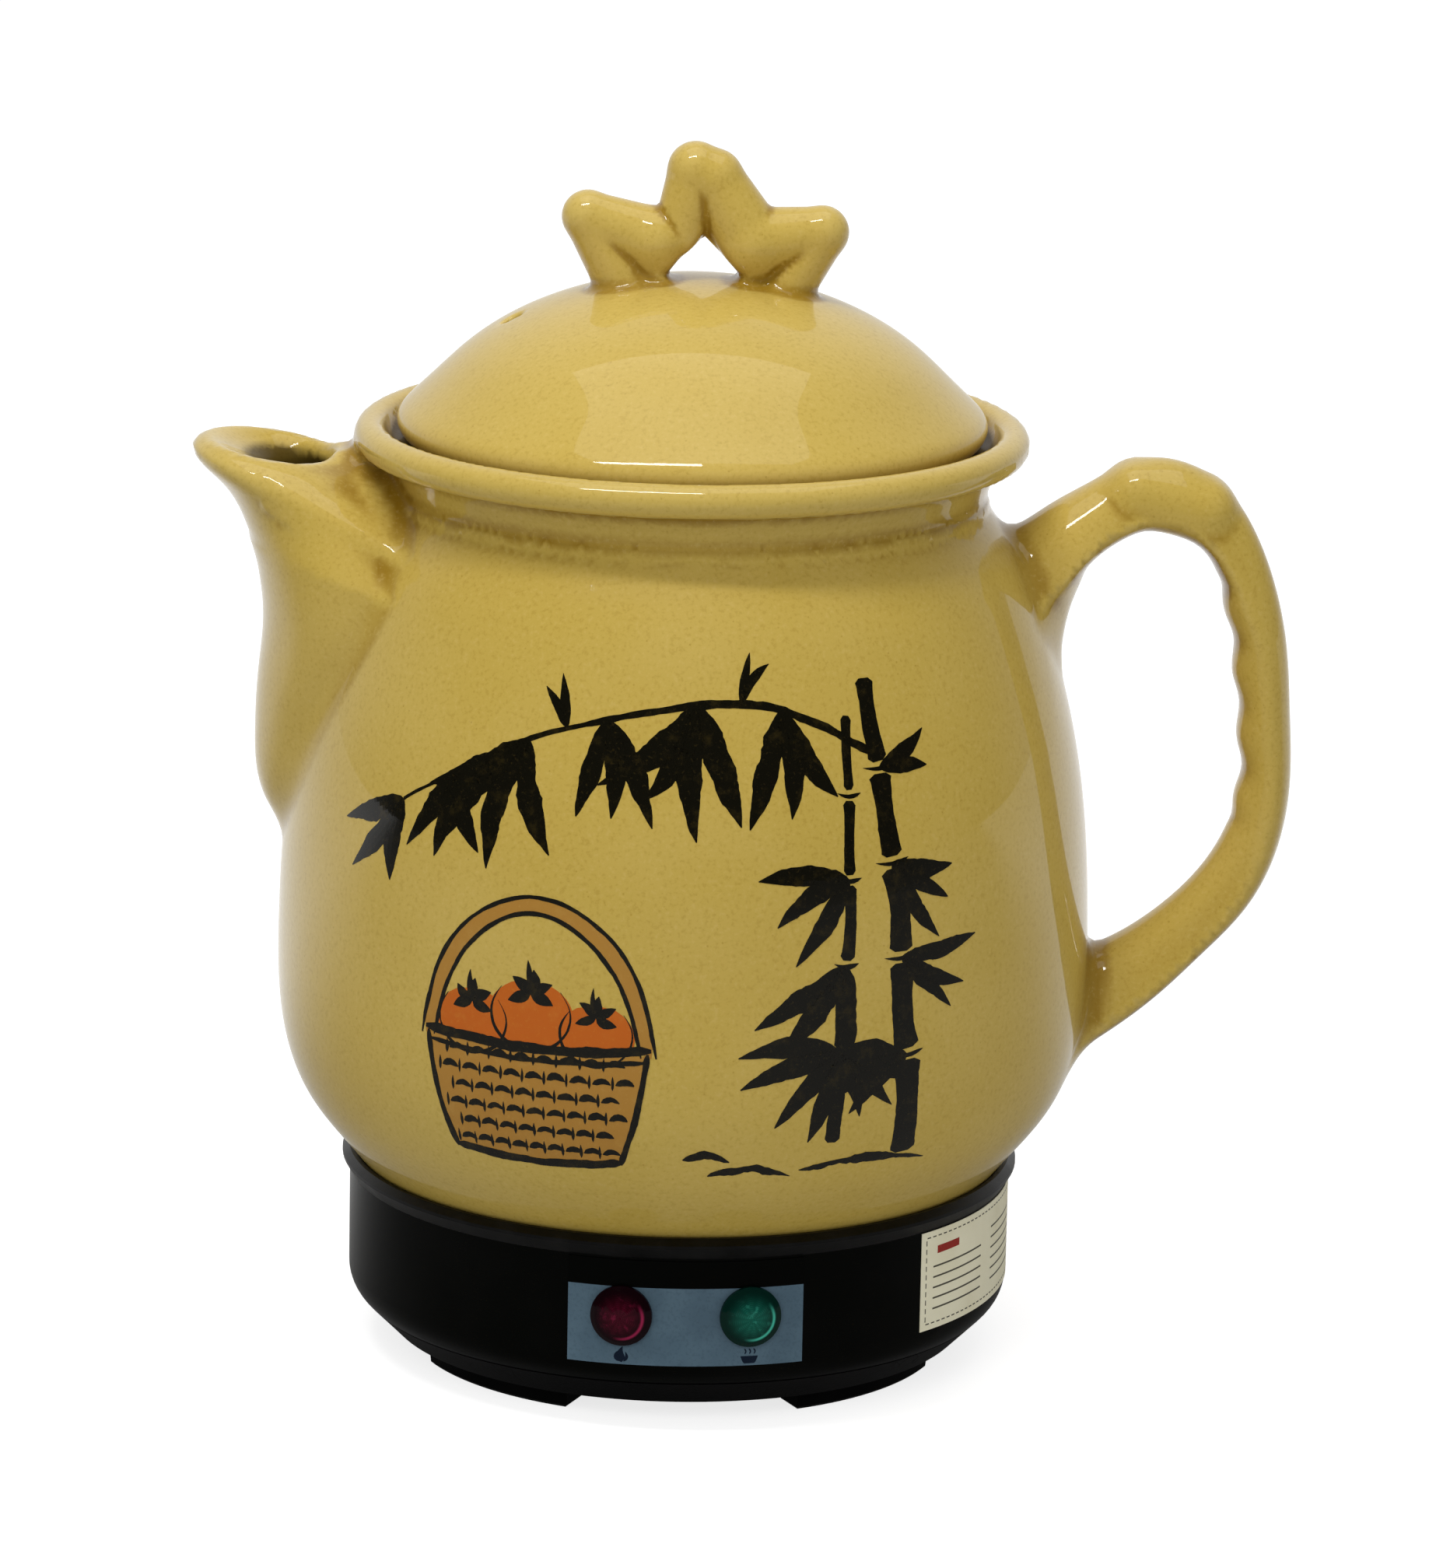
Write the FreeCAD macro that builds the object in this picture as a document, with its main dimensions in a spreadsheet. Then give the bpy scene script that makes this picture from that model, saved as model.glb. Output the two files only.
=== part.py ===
import FreeCAD, Part
import math
import os
import Sketcher
from FreeCAD import Matrix, Placement, Rotation, Vector

# Electric herb-decocting pot: a glazed ceramic jug with a lift-off lid, held on a black heating base.
# Origin: on the pot's axis, in the plane that the four feet stand on.  +Z up, spout to -X, handle to +X,
# control label to -Y, power inlet to +Y.  Millimetres and degrees.

# ------------------------------------------------------------------ driving dimensions

SIZES = (
    # moulded base
    ("base_radius", 80.0, "outer radius of the base housing"),
    ("base_wall", 2.6, "wall of the housing and of the bottom plate"),
    ("corner_height", 15.3, "height at which the straight wall would meet the 45 degree slope"),
    ("corner_round", 8.5, "round between wall and slope"),
    ("seam_height", 12.0, "joint between housing and bottom plate"),
    ("seam_gap", 0.4, "visible groove at that joint"),
    ("seam_step", 1.6, "depth of that groove"),
    ("housing_top", 43.5, "top face of the housing"),
    ("ledge_radius", 75.8, "inner edge of the housing's top ledge"),
    ("ledge_thickness", 2.5, "thickness of that ledge"),
    ("plate_underside", 5.2, "underside of the bottom plate"),
    ("lip_height", 3.0, "upstand of the bottom plate inside the housing"),
    ("lip_clearance", 0.2, "gap between upstand and housing"),
    ("lip_width", 2.0, "thickness of the upstand"),
    ("foot_radius", 65.5, "outer radius of the arc feet at the floor"),
    ("foot_width", 10.0, "radial width of the arc feet"),
    ("foot_draft", 1.0, "spread of the feet's outer face up to the plate"),
    ("foot_span", 41.0, "angle that one foot covers"),
    ("foot_chamfer", 0.8, "chamfer round each foot's sole"),
    ("foot_count", 4, "feet, posts and base screws"),
    ("foot_angle", 45.0, "angle of the first foot, post and screw from +X"),
    ("vent_count", 12, "slots in the bottom plate"),
    ("vent_start", 20.0, "inner end of a slot"),
    ("vent_end", 44.0, "outer end of a slot"),
    ("vent_width", 3.0, "width of a slot"),
    # fixing of the pot to the base
    ("screw_circle", 60.5, "radius on which the base screws stand"),
    ("post_radius", 4.2, "radius of the screw posts"),
    ("post_top", 28.5, "top of the posts, where they meet the captive nuts"),
    ("screw_radius", 1.95, "shank radius of the base screws"),
    ("screw_clearance", 0.3, "gap round the shank in the post"),
    ("thread_clearance", 0.05, "gap between a shank and its nut"),
    ("head_radius", 3.5, "head radius of the base screws"),
    ("head_height", 2.6, "head height of the base screws"),
    ("head_seat", 8.0, "height of the seat under the screw heads"),
    ("head_clearance", 0.5, "gap round the head in its counterbore"),
    ("socket_radius", 1.5, "driver socket of a screw"),
    ("socket_depth", 1.4, "depth of that socket"),
    ("screw_tip_gap", 0.8, "room left above the screw's tip"),
    ("nut_radius", 3.9, "outer radius of the captive nuts"),
    ("ring_top", 34.0, "top face of the steel support ring"),
    ("ring_thickness", 1.5, "its thickness"),
    ("ring_inner", 54.0, "its inner radius"),
    ("ring_outer", 67.5, "its outer radius"),
    ("stud_count", 3, "anchor studs cemented into the pot's foot"),
    ("stud_circle", 63.0, "radius on which they stand"),
    ("stud_radius", 1.95, "radius of a stud"),
    ("stud_cement", 0.05, "cement film round a stud"),
    ("stud_depth", 6.0, "depth of a stud in the foot"),
    ("stud_end", 25.5, "height of a stud's free end"),
    ("washer_radius", 4.2, "outer radius of a spring washer"),
    ("washer_thickness", 1.0, "its thickness"),
    ("anchor_nut_radius", 3.9, "outer radius of an anchor nut"),
    ("anchor_nut_height", 3.2, "height of an anchor nut"),
    # heater stack
    ("heater_radius", 57.3, "radius of the cast heater plate"),
    ("heater_thickness", 3.7, "its thickness"),
    ("element_ring", 40.0, "ring radius of the tubular element"),
    ("element_tube", 3.3, "tube radius of the element"),
    ("element_sweep", 330.0, "angle that the element covers"),
    ("pin_radius", 1.2, "radius of the element's cold pins"),
    ("pin_end", 21.5, "height of the pins' free ends"),
    ("shield_radius", 49.2, "outer radius of the heat shield pan"),
    ("shield_flange", 56.3, "outer radius of its flange"),
    ("shield_floor", 13.2, "underside of the pan"),
    ("shield_gauge", 0.8, "sheet thickness of the pan"),
    ("shield_slope", 3.0, "bevel round the pan's floor"),
    ("shield_hole", 4.0, "radius of the wire holes in the pan"),
    ("thermostat_offset", 16.0, "distance of each thermostat from the axis"),
    ("thermostat_cap", 8.0, "radius of a thermostat's metal cap"),
    ("thermostat_cap_height", 2.6, "height of that cap"),
    ("thermostat_flange", 12.5, "radius of a thermostat's flange"),
    ("thermostat_flange_height", 0.8, "its thickness"),
    ("thermostat_body", 7.4, "radius of the moulded body"),
    ("thermostat_body_height", 6.2, "height of that body"),
    ("tab_width", 6.3, "blade terminal width"),
    ("tab_thickness", 0.8, "blade terminal thickness"),
    ("tab_length", 7.0, "blade terminal length"),
    ("tab_spacing", 4.2, "distance of a blade from the thermostat's centre"),
    ("small_screw_reach", 9.9, "distance of the thermostat screws from its centre"),
    ("small_screw_radius", 1.4, "shank radius of the small screws"),
    ("small_head_radius", 2.4, "their head radius"),
    ("small_head_height", 1.8, "their head height"),
    ("small_screw_depth", 2.4, "thread depth in the heater plate"),
    ("fuse_offset", -23.0, "place of the thermal fuse along Y"),
    ("fuse_radius", 2.0, "radius of the thermal fuse"),
    ("fuse_length", 12.0, "its length"),
    ("fuse_lead", 4.0, "length of its lead at each end"),
    ("fuse_lead_radius", 0.6, "radius of its leads"),
    ("clip_gauge", 0.6, "sheet thickness of the fuse clip"),
    ("clip_width", 5.0, "width of the fuse clip"),
    ("clip_ear", 7.0, "length of the clip's ear"),
    # lamps, label and sticker
    ("lamp_angle", 10.8, "angle of each lamp from the front"),
    ("lamp_height", 29.5, "height of the lamps"),
    ("lamp_radius", 7.3, "radius of a lens flange"),
    ("lens_flange", 0.9, "thickness of the lens flange"),
    ("lens_dome", 2.4, "height of the lens dome above its flange"),
    ("barrel_radius", 5.6, "outer radius of a lens barrel"),
    ("barrel_clearance", 0.15, "gap round the barrel in the wall"),
    ("barrel_length", 11.4, "length of a lens barrel"),
    ("lens_wall", 1.1, "wall of the lens"),
    ("neon_radius", 2.4, "radius of a neon lamp"),
    ("neon_length", 9.6, "length of a neon lamp"),
    ("holder_depth", 3.5, "depth of a lamp holder in the barrel"),
    ("holder_clearance", 0.05, "gap round lamp and holder"),
    ("spring_nut_radius", 8.4, "outer radius of a push-on spring nut"),
    ("spring_nut_gauge", 0.6, "its thickness"),
    ("label_thickness", 0.25, "thickness of the control label"),
    ("label_bottom", 17.4, "lower edge of the label"),
    ("label_top", 43.0, "upper edge of the label"),
    ("label_span", 40.2, "angle that the label covers"),
    ("label_seat", 0.05, "adhesive line under label and lens"),
    ("sticker_thickness", 0.15, "thickness of the care sticker"),
    ("sticker_bottom", 18.8, "lower edge of the sticker"),
    ("sticker_top", 43.2, "upper edge of the sticker"),
    ("sticker_span", 43.4, "angle that the sticker covers"),
    ("sticker_angle", -23.7, "angle of its middle from +X"),
    # power inlet
    ("inlet_height", 22.8, "height of the inlet's centre"),
    ("inlet_proud", 1.0, "distance of the flat boss face outside the base radius"),
    ("inlet_boss_width", 52.0, "width of that boss"),
    ("inlet_boss_height", 21.6, "height of that boss"),
    ("inlet_boss_inset", 5.0, "depth of the boss's inner face behind the base radius"),
    ("inlet_flange_width", 48.0, "width of the inlet's flange"),
    ("inlet_flange_height", 21.0, "height of the inlet's flange"),
    ("inlet_flange_thickness", 2.2, "thickness of that flange"),
    ("inlet_body_width", 27.4, "width of the inlet's body"),
    ("inlet_body_height", 18.8, "height of the inlet's body"),
    ("inlet_body_inset", 17.0, "depth of the body's inner end behind the base radius"),
    ("inlet_clearance", 0.25, "gap round the body in the housing"),
    ("inlet_mouth_width", 24.2, "width of the plug opening"),
    ("inlet_mouth_height", 15.6, "height of the plug opening"),
    ("inlet_corner", 4.0, "bevel of its two upper corners"),
    ("inlet_floor_inset", 14.5, "depth of the plug opening's bottom behind the base radius"),
    ("blade_width", 4.0, "height of a contact blade"),
    ("blade_thickness", 2.0, "thickness of a contact blade"),
    ("blade_spread", 7.0, "distance of live and neutral from the centre"),
    ("blade_drop", 2.0, "live and neutral below, earth above the centre"),
    ("blade_front_inset", 0.5, "depth of live and neutral's outer end behind the base radius"),
    ("earth_proud", 1.5, "distance of the earth blade's outer end outside the base radius"),
    ("blade_back_inset", 23.5, "depth of all three blades' inner end behind the base radius"),
    ("blade_clearance", 0.05, "gap round a blade in the body"),
    ("inlet_screw_spread", 20.0, "distance of the inlet screws from the centre"),
    ("inlet_screw_depth", 4.6, "length of an inlet screw below the flange"),
    # terminal block and wires
    ("block_inner_inset", 24.0, "depth of the terminal block's inner face behind the base radius"),
    ("block_outer_inset", 13.0, "depth of the terminal block's outer face behind the base radius"),
    ("block_half_length", 13.0, "half its length"),
    ("block_height", 12.0, "its height"),
    ("block_pitch", 8.0, "distance between its screws"),
    ("wire_radius", 1.1, "outer radius of a wire"),
    ("wire_ring", 51.3, "radius along which wires run round the pan"),
    ("wire_lane", 3.0, "distance to the outer lane"),
    ("wire_bend", 2.4, "bend radius of the wires"),
    ("wire_joint", 0.05, "gap between a wire's end and its terminal"),
    # ceramic pot: height and radius of each station of its outer outline
    ("toe_height", 34.0, "sole of the pot's foot ring"),
    ("toe_radius", 67.6, "outer radius there"),
    ("hip_height", 48.0, "where the pot rises out of the base"),
    ("foot_joint", 53.5, "where the jug's thick foot ends and its wall starts"),
    ("hip_radius", 78.3, "radius there"),
    ("flank_height", 64.0, "end of the lower round"),
    ("flank_radius", 90.8, "radius there"),
    ("belly_height", 106.0, "widest place"),
    ("belly_radius", 97.7, "radius there"),
    ("chest_height", 146.0, "start of the taper"),
    ("chest_radius", 94.4, "radius there"),
    ("shoulder_height", 184.0, "top of the taper"),
    ("shoulder_radius", 84.4, "radius there"),
    ("collar_height", 200.0, "slope up to the neck"),
    ("collar_radius", 76.7, "radius there"),
    ("neck_height", 209.5, "groove under the rim"),
    ("neck_radius", 70.2, "radius there"),
    ("rim_height", 223.5, "centre of the rolled rim"),
    ("rim_radius", 76.4, "radius of the roll's centre"),
    ("rim_roll", 4.0, "radius of the roll"),
    ("pot_wall", 6.0, "wall of the pot"),
    ("pot_floor", 45.5, "inside bottom of the pot"),
    ("recess_radius", 58.0, "recess under the pot for the heater plate"),
    ("recess_gap", 0.1, "paste film between heater plate and pot"),
    ("throat_radius", 65.0, "opening inside the lid's seat"),
    # strainer between pot and spout
    ("strainer_hole", 2.4, "radius of a strainer hole"),
    ("strainer_bottom", 148.0, "height of the lowest row"),
    ("strainer_pitch", 8.0, "distance between holes"),
    ("strainer_rows", 5, "rows of holes"),
    # spout
    ("spout_wall", 4.4, "wall of the spout"),
    ("spout_lip", 220.6, "height of the spout's lip"),
    ("spout_reach", 118.3, "distance of the lip's tip from the axis"),
    ("spout_mouth_half", 22.4, "half width of the mouth, outside"),
    ("spout_channel_floor", 142.0, "bottom of the spout's channel"),
    # handle
    ("handle_reach", 145.9, "distance of the handle's outermost point from the axis"),
    ("handle_half_width", 10.5, "half width of the grip"),
    # lid
    ("seat_height", 222.9, "ledge that carries the lid"),
    ("seat_gap", 0.1, "rest gap between lid and ledge"),
    ("lid_radius", 70.3, "outer radius of the lid's rounded edge"),
    ("lid_edge_height", 227.4, "height of that widest place"),
    ("lid_edge_round", 3.4, "half thickness of the edge"),
    ("flare_radius", 67.4, "lid outline where the edge begins"),
    ("flare_height", 232.0, "height there"),
    ("waist_radius", 61.6, "lid outline where dome and flare meet"),
    ("waist_height", 237.2, "height there"),
    ("brow_radius", 54.8, "lid outline half way up the dome"),
    ("brow_height", 244.4, "height there"),
    ("crown_radius", 35.4, "lid outline near its top"),
    ("crown_height", 255.4, "height there"),
    ("lid_top", 261.8, "top of the dome under the knob"),
    ("lid_wall", 5.2, "wall of the dome at its top"),
    ("hollow_base", 229.0, "height where the hollow of the dome begins"),
    ("skirt_radius", 63.8, "outer radius of the locating skirt"),
    ("skirt_wall", 4.8, "wall of the skirt"),
    ("skirt_drop", 9.0, "depth of the skirt below the seat"),
    ("vent_hole", 2.2, "radius of the steam hole"),
    ("vent_place", -43.0, "place of the steam hole along X"),
    ("knob_shift", 2.0, "offset of the knob towards the handle"),
    ("knob_top", 294.8, "top of the knob"),
    ("knob_tube", 6.0, "half thickness of the knob's bar at its crown"),
    ("knob_depth", 7.6, "half depth of the knob's bar there"),
    ("knob_web", 4.2, "half depth of the webs between its bars"),
    # sealing ring
    ("seal_gap", 0.3, "gap between rubber and glaze"),
    ("seal_lip_radius", 81.8, "outer radius of the seal's lip"),
    ("seal_lip_height", 47.2, "height of that lip"),
    ("seal_top", 48.6, "top of the seal, against the pot"),
    ("seal_lip_edge", 0.8, "thickness of the lip's edge"),
)

# Places that follow from the sizes: the inlet, its blades and the terminal block stay with the base's wall.
PLACES = (
    ("inlet_face", "=base_radius + inlet_proud", "distance of the flat boss face from the axis"),
    ("inlet_boss_back", "=base_radius - inlet_boss_inset", "inner face of that boss"),
    ("inlet_body_end", "=base_radius - inlet_body_inset", "inner end of the body"),
    ("inlet_floor", "=base_radius - inlet_floor_inset", "bottom of the plug opening"),
    ("blade_front", "=base_radius - blade_front_inset", "outer end of live and neutral"),
    ("earth_front", "=base_radius + earth_proud", "outer end of the earth blade"),
    ("blade_back", "=base_radius - blade_back_inset", "inner end of all three blades"),
    ("block_inner", "=base_radius - block_inner_inset", "inner face of the terminal block"),
    ("block_outer", "=base_radius - block_outer_inset", "outer face of the terminal block"),
)

doc = FreeCAD.newDocument("herb_pot")
sheet = doc.addObject("Spreadsheet::Sheet", "Sizes")
for row, (alias, number, meaning) in enumerate(SIZES + PLACES, start=1):
    sheet.set(f"A{row}", meaning)
    sheet.set(f"B{row}", str(number))
    sheet.setAlias(f"B{row}", alias)
doc.recompute()

X_AXIS = Vector(1, 0, 0)
Y_AXIS = Vector(0, 1, 0)
Z_AXIS = Vector(0, 0, 1)
FULL_TURN = 360
OVAL_POINTS = 16
nodes = []


def size(text):
    """Value of an expression in the sheet's names, such as "base_radius - base_wall"."""
    return float(sheet.evalExpression(text))


def bound(text):
    """The same expression as other objects must write it, with the sheet's name before each alias."""
    aliases = {alias for alias, _, _ in SIZES + PLACES}
    words = []
    word = ""
    for letter in text + " ":
        if letter.isalnum() or letter == "_":
            word += letter
            continue
        words.append(f"Sizes.{word}" if word in aliases else word)
        words.append(letter)
        word = ""
    return "".join(words).strip()


# ------------------------------------------------------------------ PartDesign helpers


def new_body(name):
    """An empty body that becomes the node called name."""
    body = doc.addObject("PartDesign::Body", name)
    body.Label = name
    nodes.append(body)
    return body


def origin_part(body, role):
    """The body's own origin plane or axis with that role."""
    return next(item for item in body.Origin.OriginFeatures if item.Role == role)


def new_sketch(body, name, role, lift="0", turn="0", shift="0"):
    """A sketch on an origin plane, moved along the plane's up (shift) and normal (lift), turned about up."""
    sketch = body.newObject("Sketcher::SketchObject", name)
    sketch.AttachmentSupport = (origin_part(body, role), [""])
    sketch.MapMode = "FlatFace"
    sketch.AttachmentOffset = Placement(Vector(), Rotation(Y_AXIS, size(turn)))
    if turn != "0":
        sketch.setExpression("AttachmentOffset.Rotation.Angle", bound(turn))
    if lift != "0":
        sketch.setExpression("AttachmentOffset.Base.z", bound(lift))
    if shift != "0":
        sketch.setExpression("AttachmentOffset.Base.y", bound(shift))
    return sketch


def hold(sketch, kind, places, text):
    """Add a dimension and bind it to an expression in the sheet's names."""
    index = sketch.addConstraint(Sketcher.Constraint(kind, *places, size(text)))
    sketch.setExpression(f"Constraints[{index}]", bound(text))


def tangent_arc(before, start, end, radius):
    """The sketch arc from start to end that goes on from the line before, and whether it turns left."""
    way_in = (start - before).normalize()
    left = Vector(-way_in.y, way_in.x, 0)
    turns_left = left.dot(end - start) > 0
    centre = start + left * (radius if turns_left else -radius)
    first, last = (start, end) if turns_left else (end, start)
    angles = [math.atan2(spot.y - centre.y, spot.x - centre.x) for spot in (first, last)]
    return Part.ArcOfCircle(Part.Circle(centre, Z_AXIS, radius), *angles), turns_left


def polygon(sketch, corners):
    """A closed outline of (across, up) expressions; a third one is the radius of an arc to the next corner."""
    spots = [Vector(size(corner[0]), size(corner[1]), 0) for corner in corners]
    first = sketch.GeometryCount
    count = len(corners)
    ends = []
    for index, corner in enumerate(corners):
        start, end = spots[index], spots[(index + 1) % count]
        item, forward = Part.LineSegment(start, end), True
        if len(corner) > 2:
            item, forward = tangent_arc(spots[index - 1], start, end, size(corner[2]))
        sketch.addGeometry(item, False)
        ends.append((1, 2) if forward else (2, 1))
    for index in range(count):
        after = (index + 1) % count
        places = (first + index, ends[index][1], first + after, ends[after][0])
        sketch.addConstraint(Sketcher.Constraint("Coincident", *places))
    for index, corner in enumerate(corners):
        hold(sketch, "DistanceX", (-1, 1, first + index, ends[index][0]), corner[0])
        hold(sketch, "DistanceY", (-1, 1, first + index, ends[index][0]), corner[1])
        if len(corner) > 2:
            hold(sketch, "Radius", (first + index,), corner[2])


def rectangle(sketch, left, right, low, high):
    """A rectangle between four expressions."""
    polygon(sketch, ((left, low), (right, low), (right, high), (left, high)))


def circle(sketch, across, up, radius):
    """A circle with its centre and radius held."""
    centre = Vector(size(across), size(up), 0)
    index = sketch.addGeometry(Part.Circle(centre, Z_AXIS, size(radius)), False)
    hold(sketch, "DistanceX", (-1, 1, index, 3), across)
    hold(sketch, "DistanceY", (-1, 1, index, 3), up)
    hold(sketch, "Radius", (index,), radius)


def feature(body, kind, name, sketch):
    """A PartDesign feature on a sketch."""
    item = body.newObject(f"PartDesign::{kind}", name)
    item.Profile = sketch
    sketch.Visibility = False
    return item


def revolve(body, name, sketch, angle=None, axis="V_Axis", kind="Revolution"):
    """Turn a sketch about one of its own axes, right round or evenly to both sides through an angle."""
    item = feature(body, kind, name, sketch)
    item.ReferenceAxis = (sketch, [axis])
    item.Angle = FULL_TURN
    if angle:
        item.Midplane = True
        item.setExpression("Angle", bound(angle))
    return item


def pad(body, name, sketch, length, reverse=False):
    """Raise a sketch along its normal, or against it."""
    item = feature(body, "Pad", name, sketch)
    item.setExpression("Length", bound(length))
    item.Reversed = reverse
    return item


def pocket(body, name, sketch, length, reverse=False):
    """Cut a sketch into the solid against its normal, or along it, and see that it does cut."""
    doc.recompute()
    before = body.Shape.Volume
    item = feature(body, "Pocket", name, sketch)
    item.setExpression("Length", bound(length))
    item.Reversed = reverse
    doc.recompute()
    if not body.Shape.Volume < before:
        raise ValueError(f"{name} cuts nothing")
    return item


def ring_of(body, name, items, count):
    """Repeat features evenly round the body's vertical axis."""
    item = body.newObject("PartDesign::PolarPattern", name)
    item.Originals = items
    item.Axis = (origin_part(body, "Z_Axis"), [""])
    item.Angle = FULL_TURN
    item.setExpression("Occurrences", bound(count))
    body.Tip = item
    return item


def mirror_of(body, name, items, role):
    """Repeat features on the other side of an origin plane."""
    item = body.newObject("PartDesign::Mirrored", name)
    item.Originals = items
    item.MirrorPlane = (origin_part(body, role), [""])
    body.Tip = item
    return item


def dress(body, kind, name, wanted, key, amount):
    """Fillet or chamfer the edges of the body's last feature that the wanted test picks."""
    doc.recompute()
    base = body.Tip
    picked = [f"Edge{index}" for index, edge in enumerate(base.Shape.Edges, start=1) if wanted(edge)]
    if not picked:
        raise ValueError(f"{name} finds no edge")
    item = body.newObject(f"PartDesign::{kind}", name)
    item.Base = (base, picked)
    item.setExpression(key, bound(amount))
    return item


def near(value, target, slack=0.01):
    """Is a measured value the wanted one?"""
    return abs(value - target) < slack


def turned(name, corners, **where):
    """A body turned about the vertical axis from an outline of (radius, height) expressions."""
    body = new_body(name)
    sketch = new_sketch(body, f"{name}_outline", "XZ_Plane", **where)
    polygon(sketch, corners)
    revolve(body, f"{name}_turned", sketch)
    return body


# ------------------------------------------------------------------ free-form helpers


def node_from(name, shape):
    """A node whose shape is made with Part's own functions."""
    item = doc.addObject("Part::Feature", name)
    item.Label = name
    item.Shape = shape
    item.Placement = Placement()
    nodes.append(item)
    return item


def at(radius, angle, height):
    """The point at that radius and angle (degrees from +X) and height."""
    turn = math.radians(angle)
    return Vector(radius * math.cos(turn), radius * math.sin(turn), height)


def line(start, end):
    """A straight edge."""
    return Part.LineSegment(start, end).toShape()


def through(points, start_way=None, end_way=None):
    """A smooth edge through points, with its end directions if given."""
    curve = Part.BSplineCurve()
    if start_way and end_way:
        curve.interpolate(Points=points, InitialTangent=start_way, FinalTangent=end_way)
    else:
        curve.interpolate(Points=points)
    return curve.toShape()


def spun(edges):
    """The solid swept by a closed outline in the XZ plane turned right round the Z axis."""
    face = Part.Face(Part.Wire(edges))
    return face.revolve(Vector(), Z_AXIS, FULL_TURN)


def biggest(shape):
    """The largest solid of a cut shape, without the chips that the cut leaves."""
    return max(shape.Solids, key=lambda solid: solid.Volume)


def oval(centre, half_across, half_up):
    """An elliptical wire given by its two half-axis vectors, with the same knots for every oval."""
    turns = [2 * math.pi * index / OVAL_POINTS for index in range(OVAL_POINTS + 1)]
    points = [centre + half_across * math.cos(turn) + half_up * math.sin(turn) for turn in turns[:-1]]
    curve = Part.BSplineCurve()
    curve.interpolate(Points=points, Parameters=turns, PeriodicFlag=True)
    return Part.Wire(curve.toShape())


def tube(points, radius, bend):
    """A round tube along straight runs joined by tangent arcs."""
    edges = []
    start = points[0]
    for corner, after in zip(points[1:-1], points[2:]):
        way_in = (corner - start).normalize()
        way_out = (after - corner).normalize()
        half_turn = way_in.getAngle(way_out) / 2
        setback = bend * math.tan(half_turn)
        arc_start = corner - way_in * setback
        arc_end = corner + way_out * setback
        inward = (way_out - way_in).normalize()
        arc_middle = corner + inward * (bend / math.cos(half_turn) - bend)
        edges.append(line(start, arc_start))
        edges.append(Part.Arc(arc_start, arc_middle, arc_end).toShape())
        start = arc_end
    edges.append(line(start, points[-1]))
    path = Part.Wire(edges)
    section = Part.Wire(Part.makeCircle(radius, points[0], (points[1] - points[0]).normalize()))
    return path.makePipeShell([section], True, False)


def limb(start, end, start_radius, end_radius):
    """A tapered bar between two points, rounded at its far end."""
    if near(start_radius, end_radius):
        bar = Part.makeCylinder(start_radius, (end - start).Length, start, end - start)
    else:
        bar = Part.makeCone(start_radius, end_radius, (end - start).Length, start, end - start)
    return bar.fuse(Part.makeSphere(end_radius, end))


# ------------------------------------------------------------------ moulded base

ROUND_SHARE = "tan(22.5 deg)"
SLANT = "cos(45 deg)"
CORNER_START = f"corner_height - corner_round * {ROUND_SHARE} * {SLANT}"
INNER_CORNER = f"corner_height + base_wall * {ROUND_SHARE}"
INNER_ROUND = "(corner_round - base_wall)"
SEAM_RADIUS = "base_radius - corner_height + seam_height"
SEAM_INNER = f"base_radius - base_wall - ({INNER_CORNER}) + seam_height"
LIP_OUTER = f"{SEAM_INNER} - lip_clearance"
PLATE_TOP = "plate_underside + base_wall"


def lamp_hole(body, name, side):
    """Cut one radial lamp hole from the axis outwards; side is -1 at the left, 1 at the right."""
    sketch = new_sketch(body, f"{name}_circle", "XZ_Plane", turn=f"{side} * lamp_angle")
    circle(sketch, "0", "lamp_height", "barrel_radius + barrel_clearance")
    pocket(body, name, sketch, "base_radius + base_wall", reverse=True)


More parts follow.
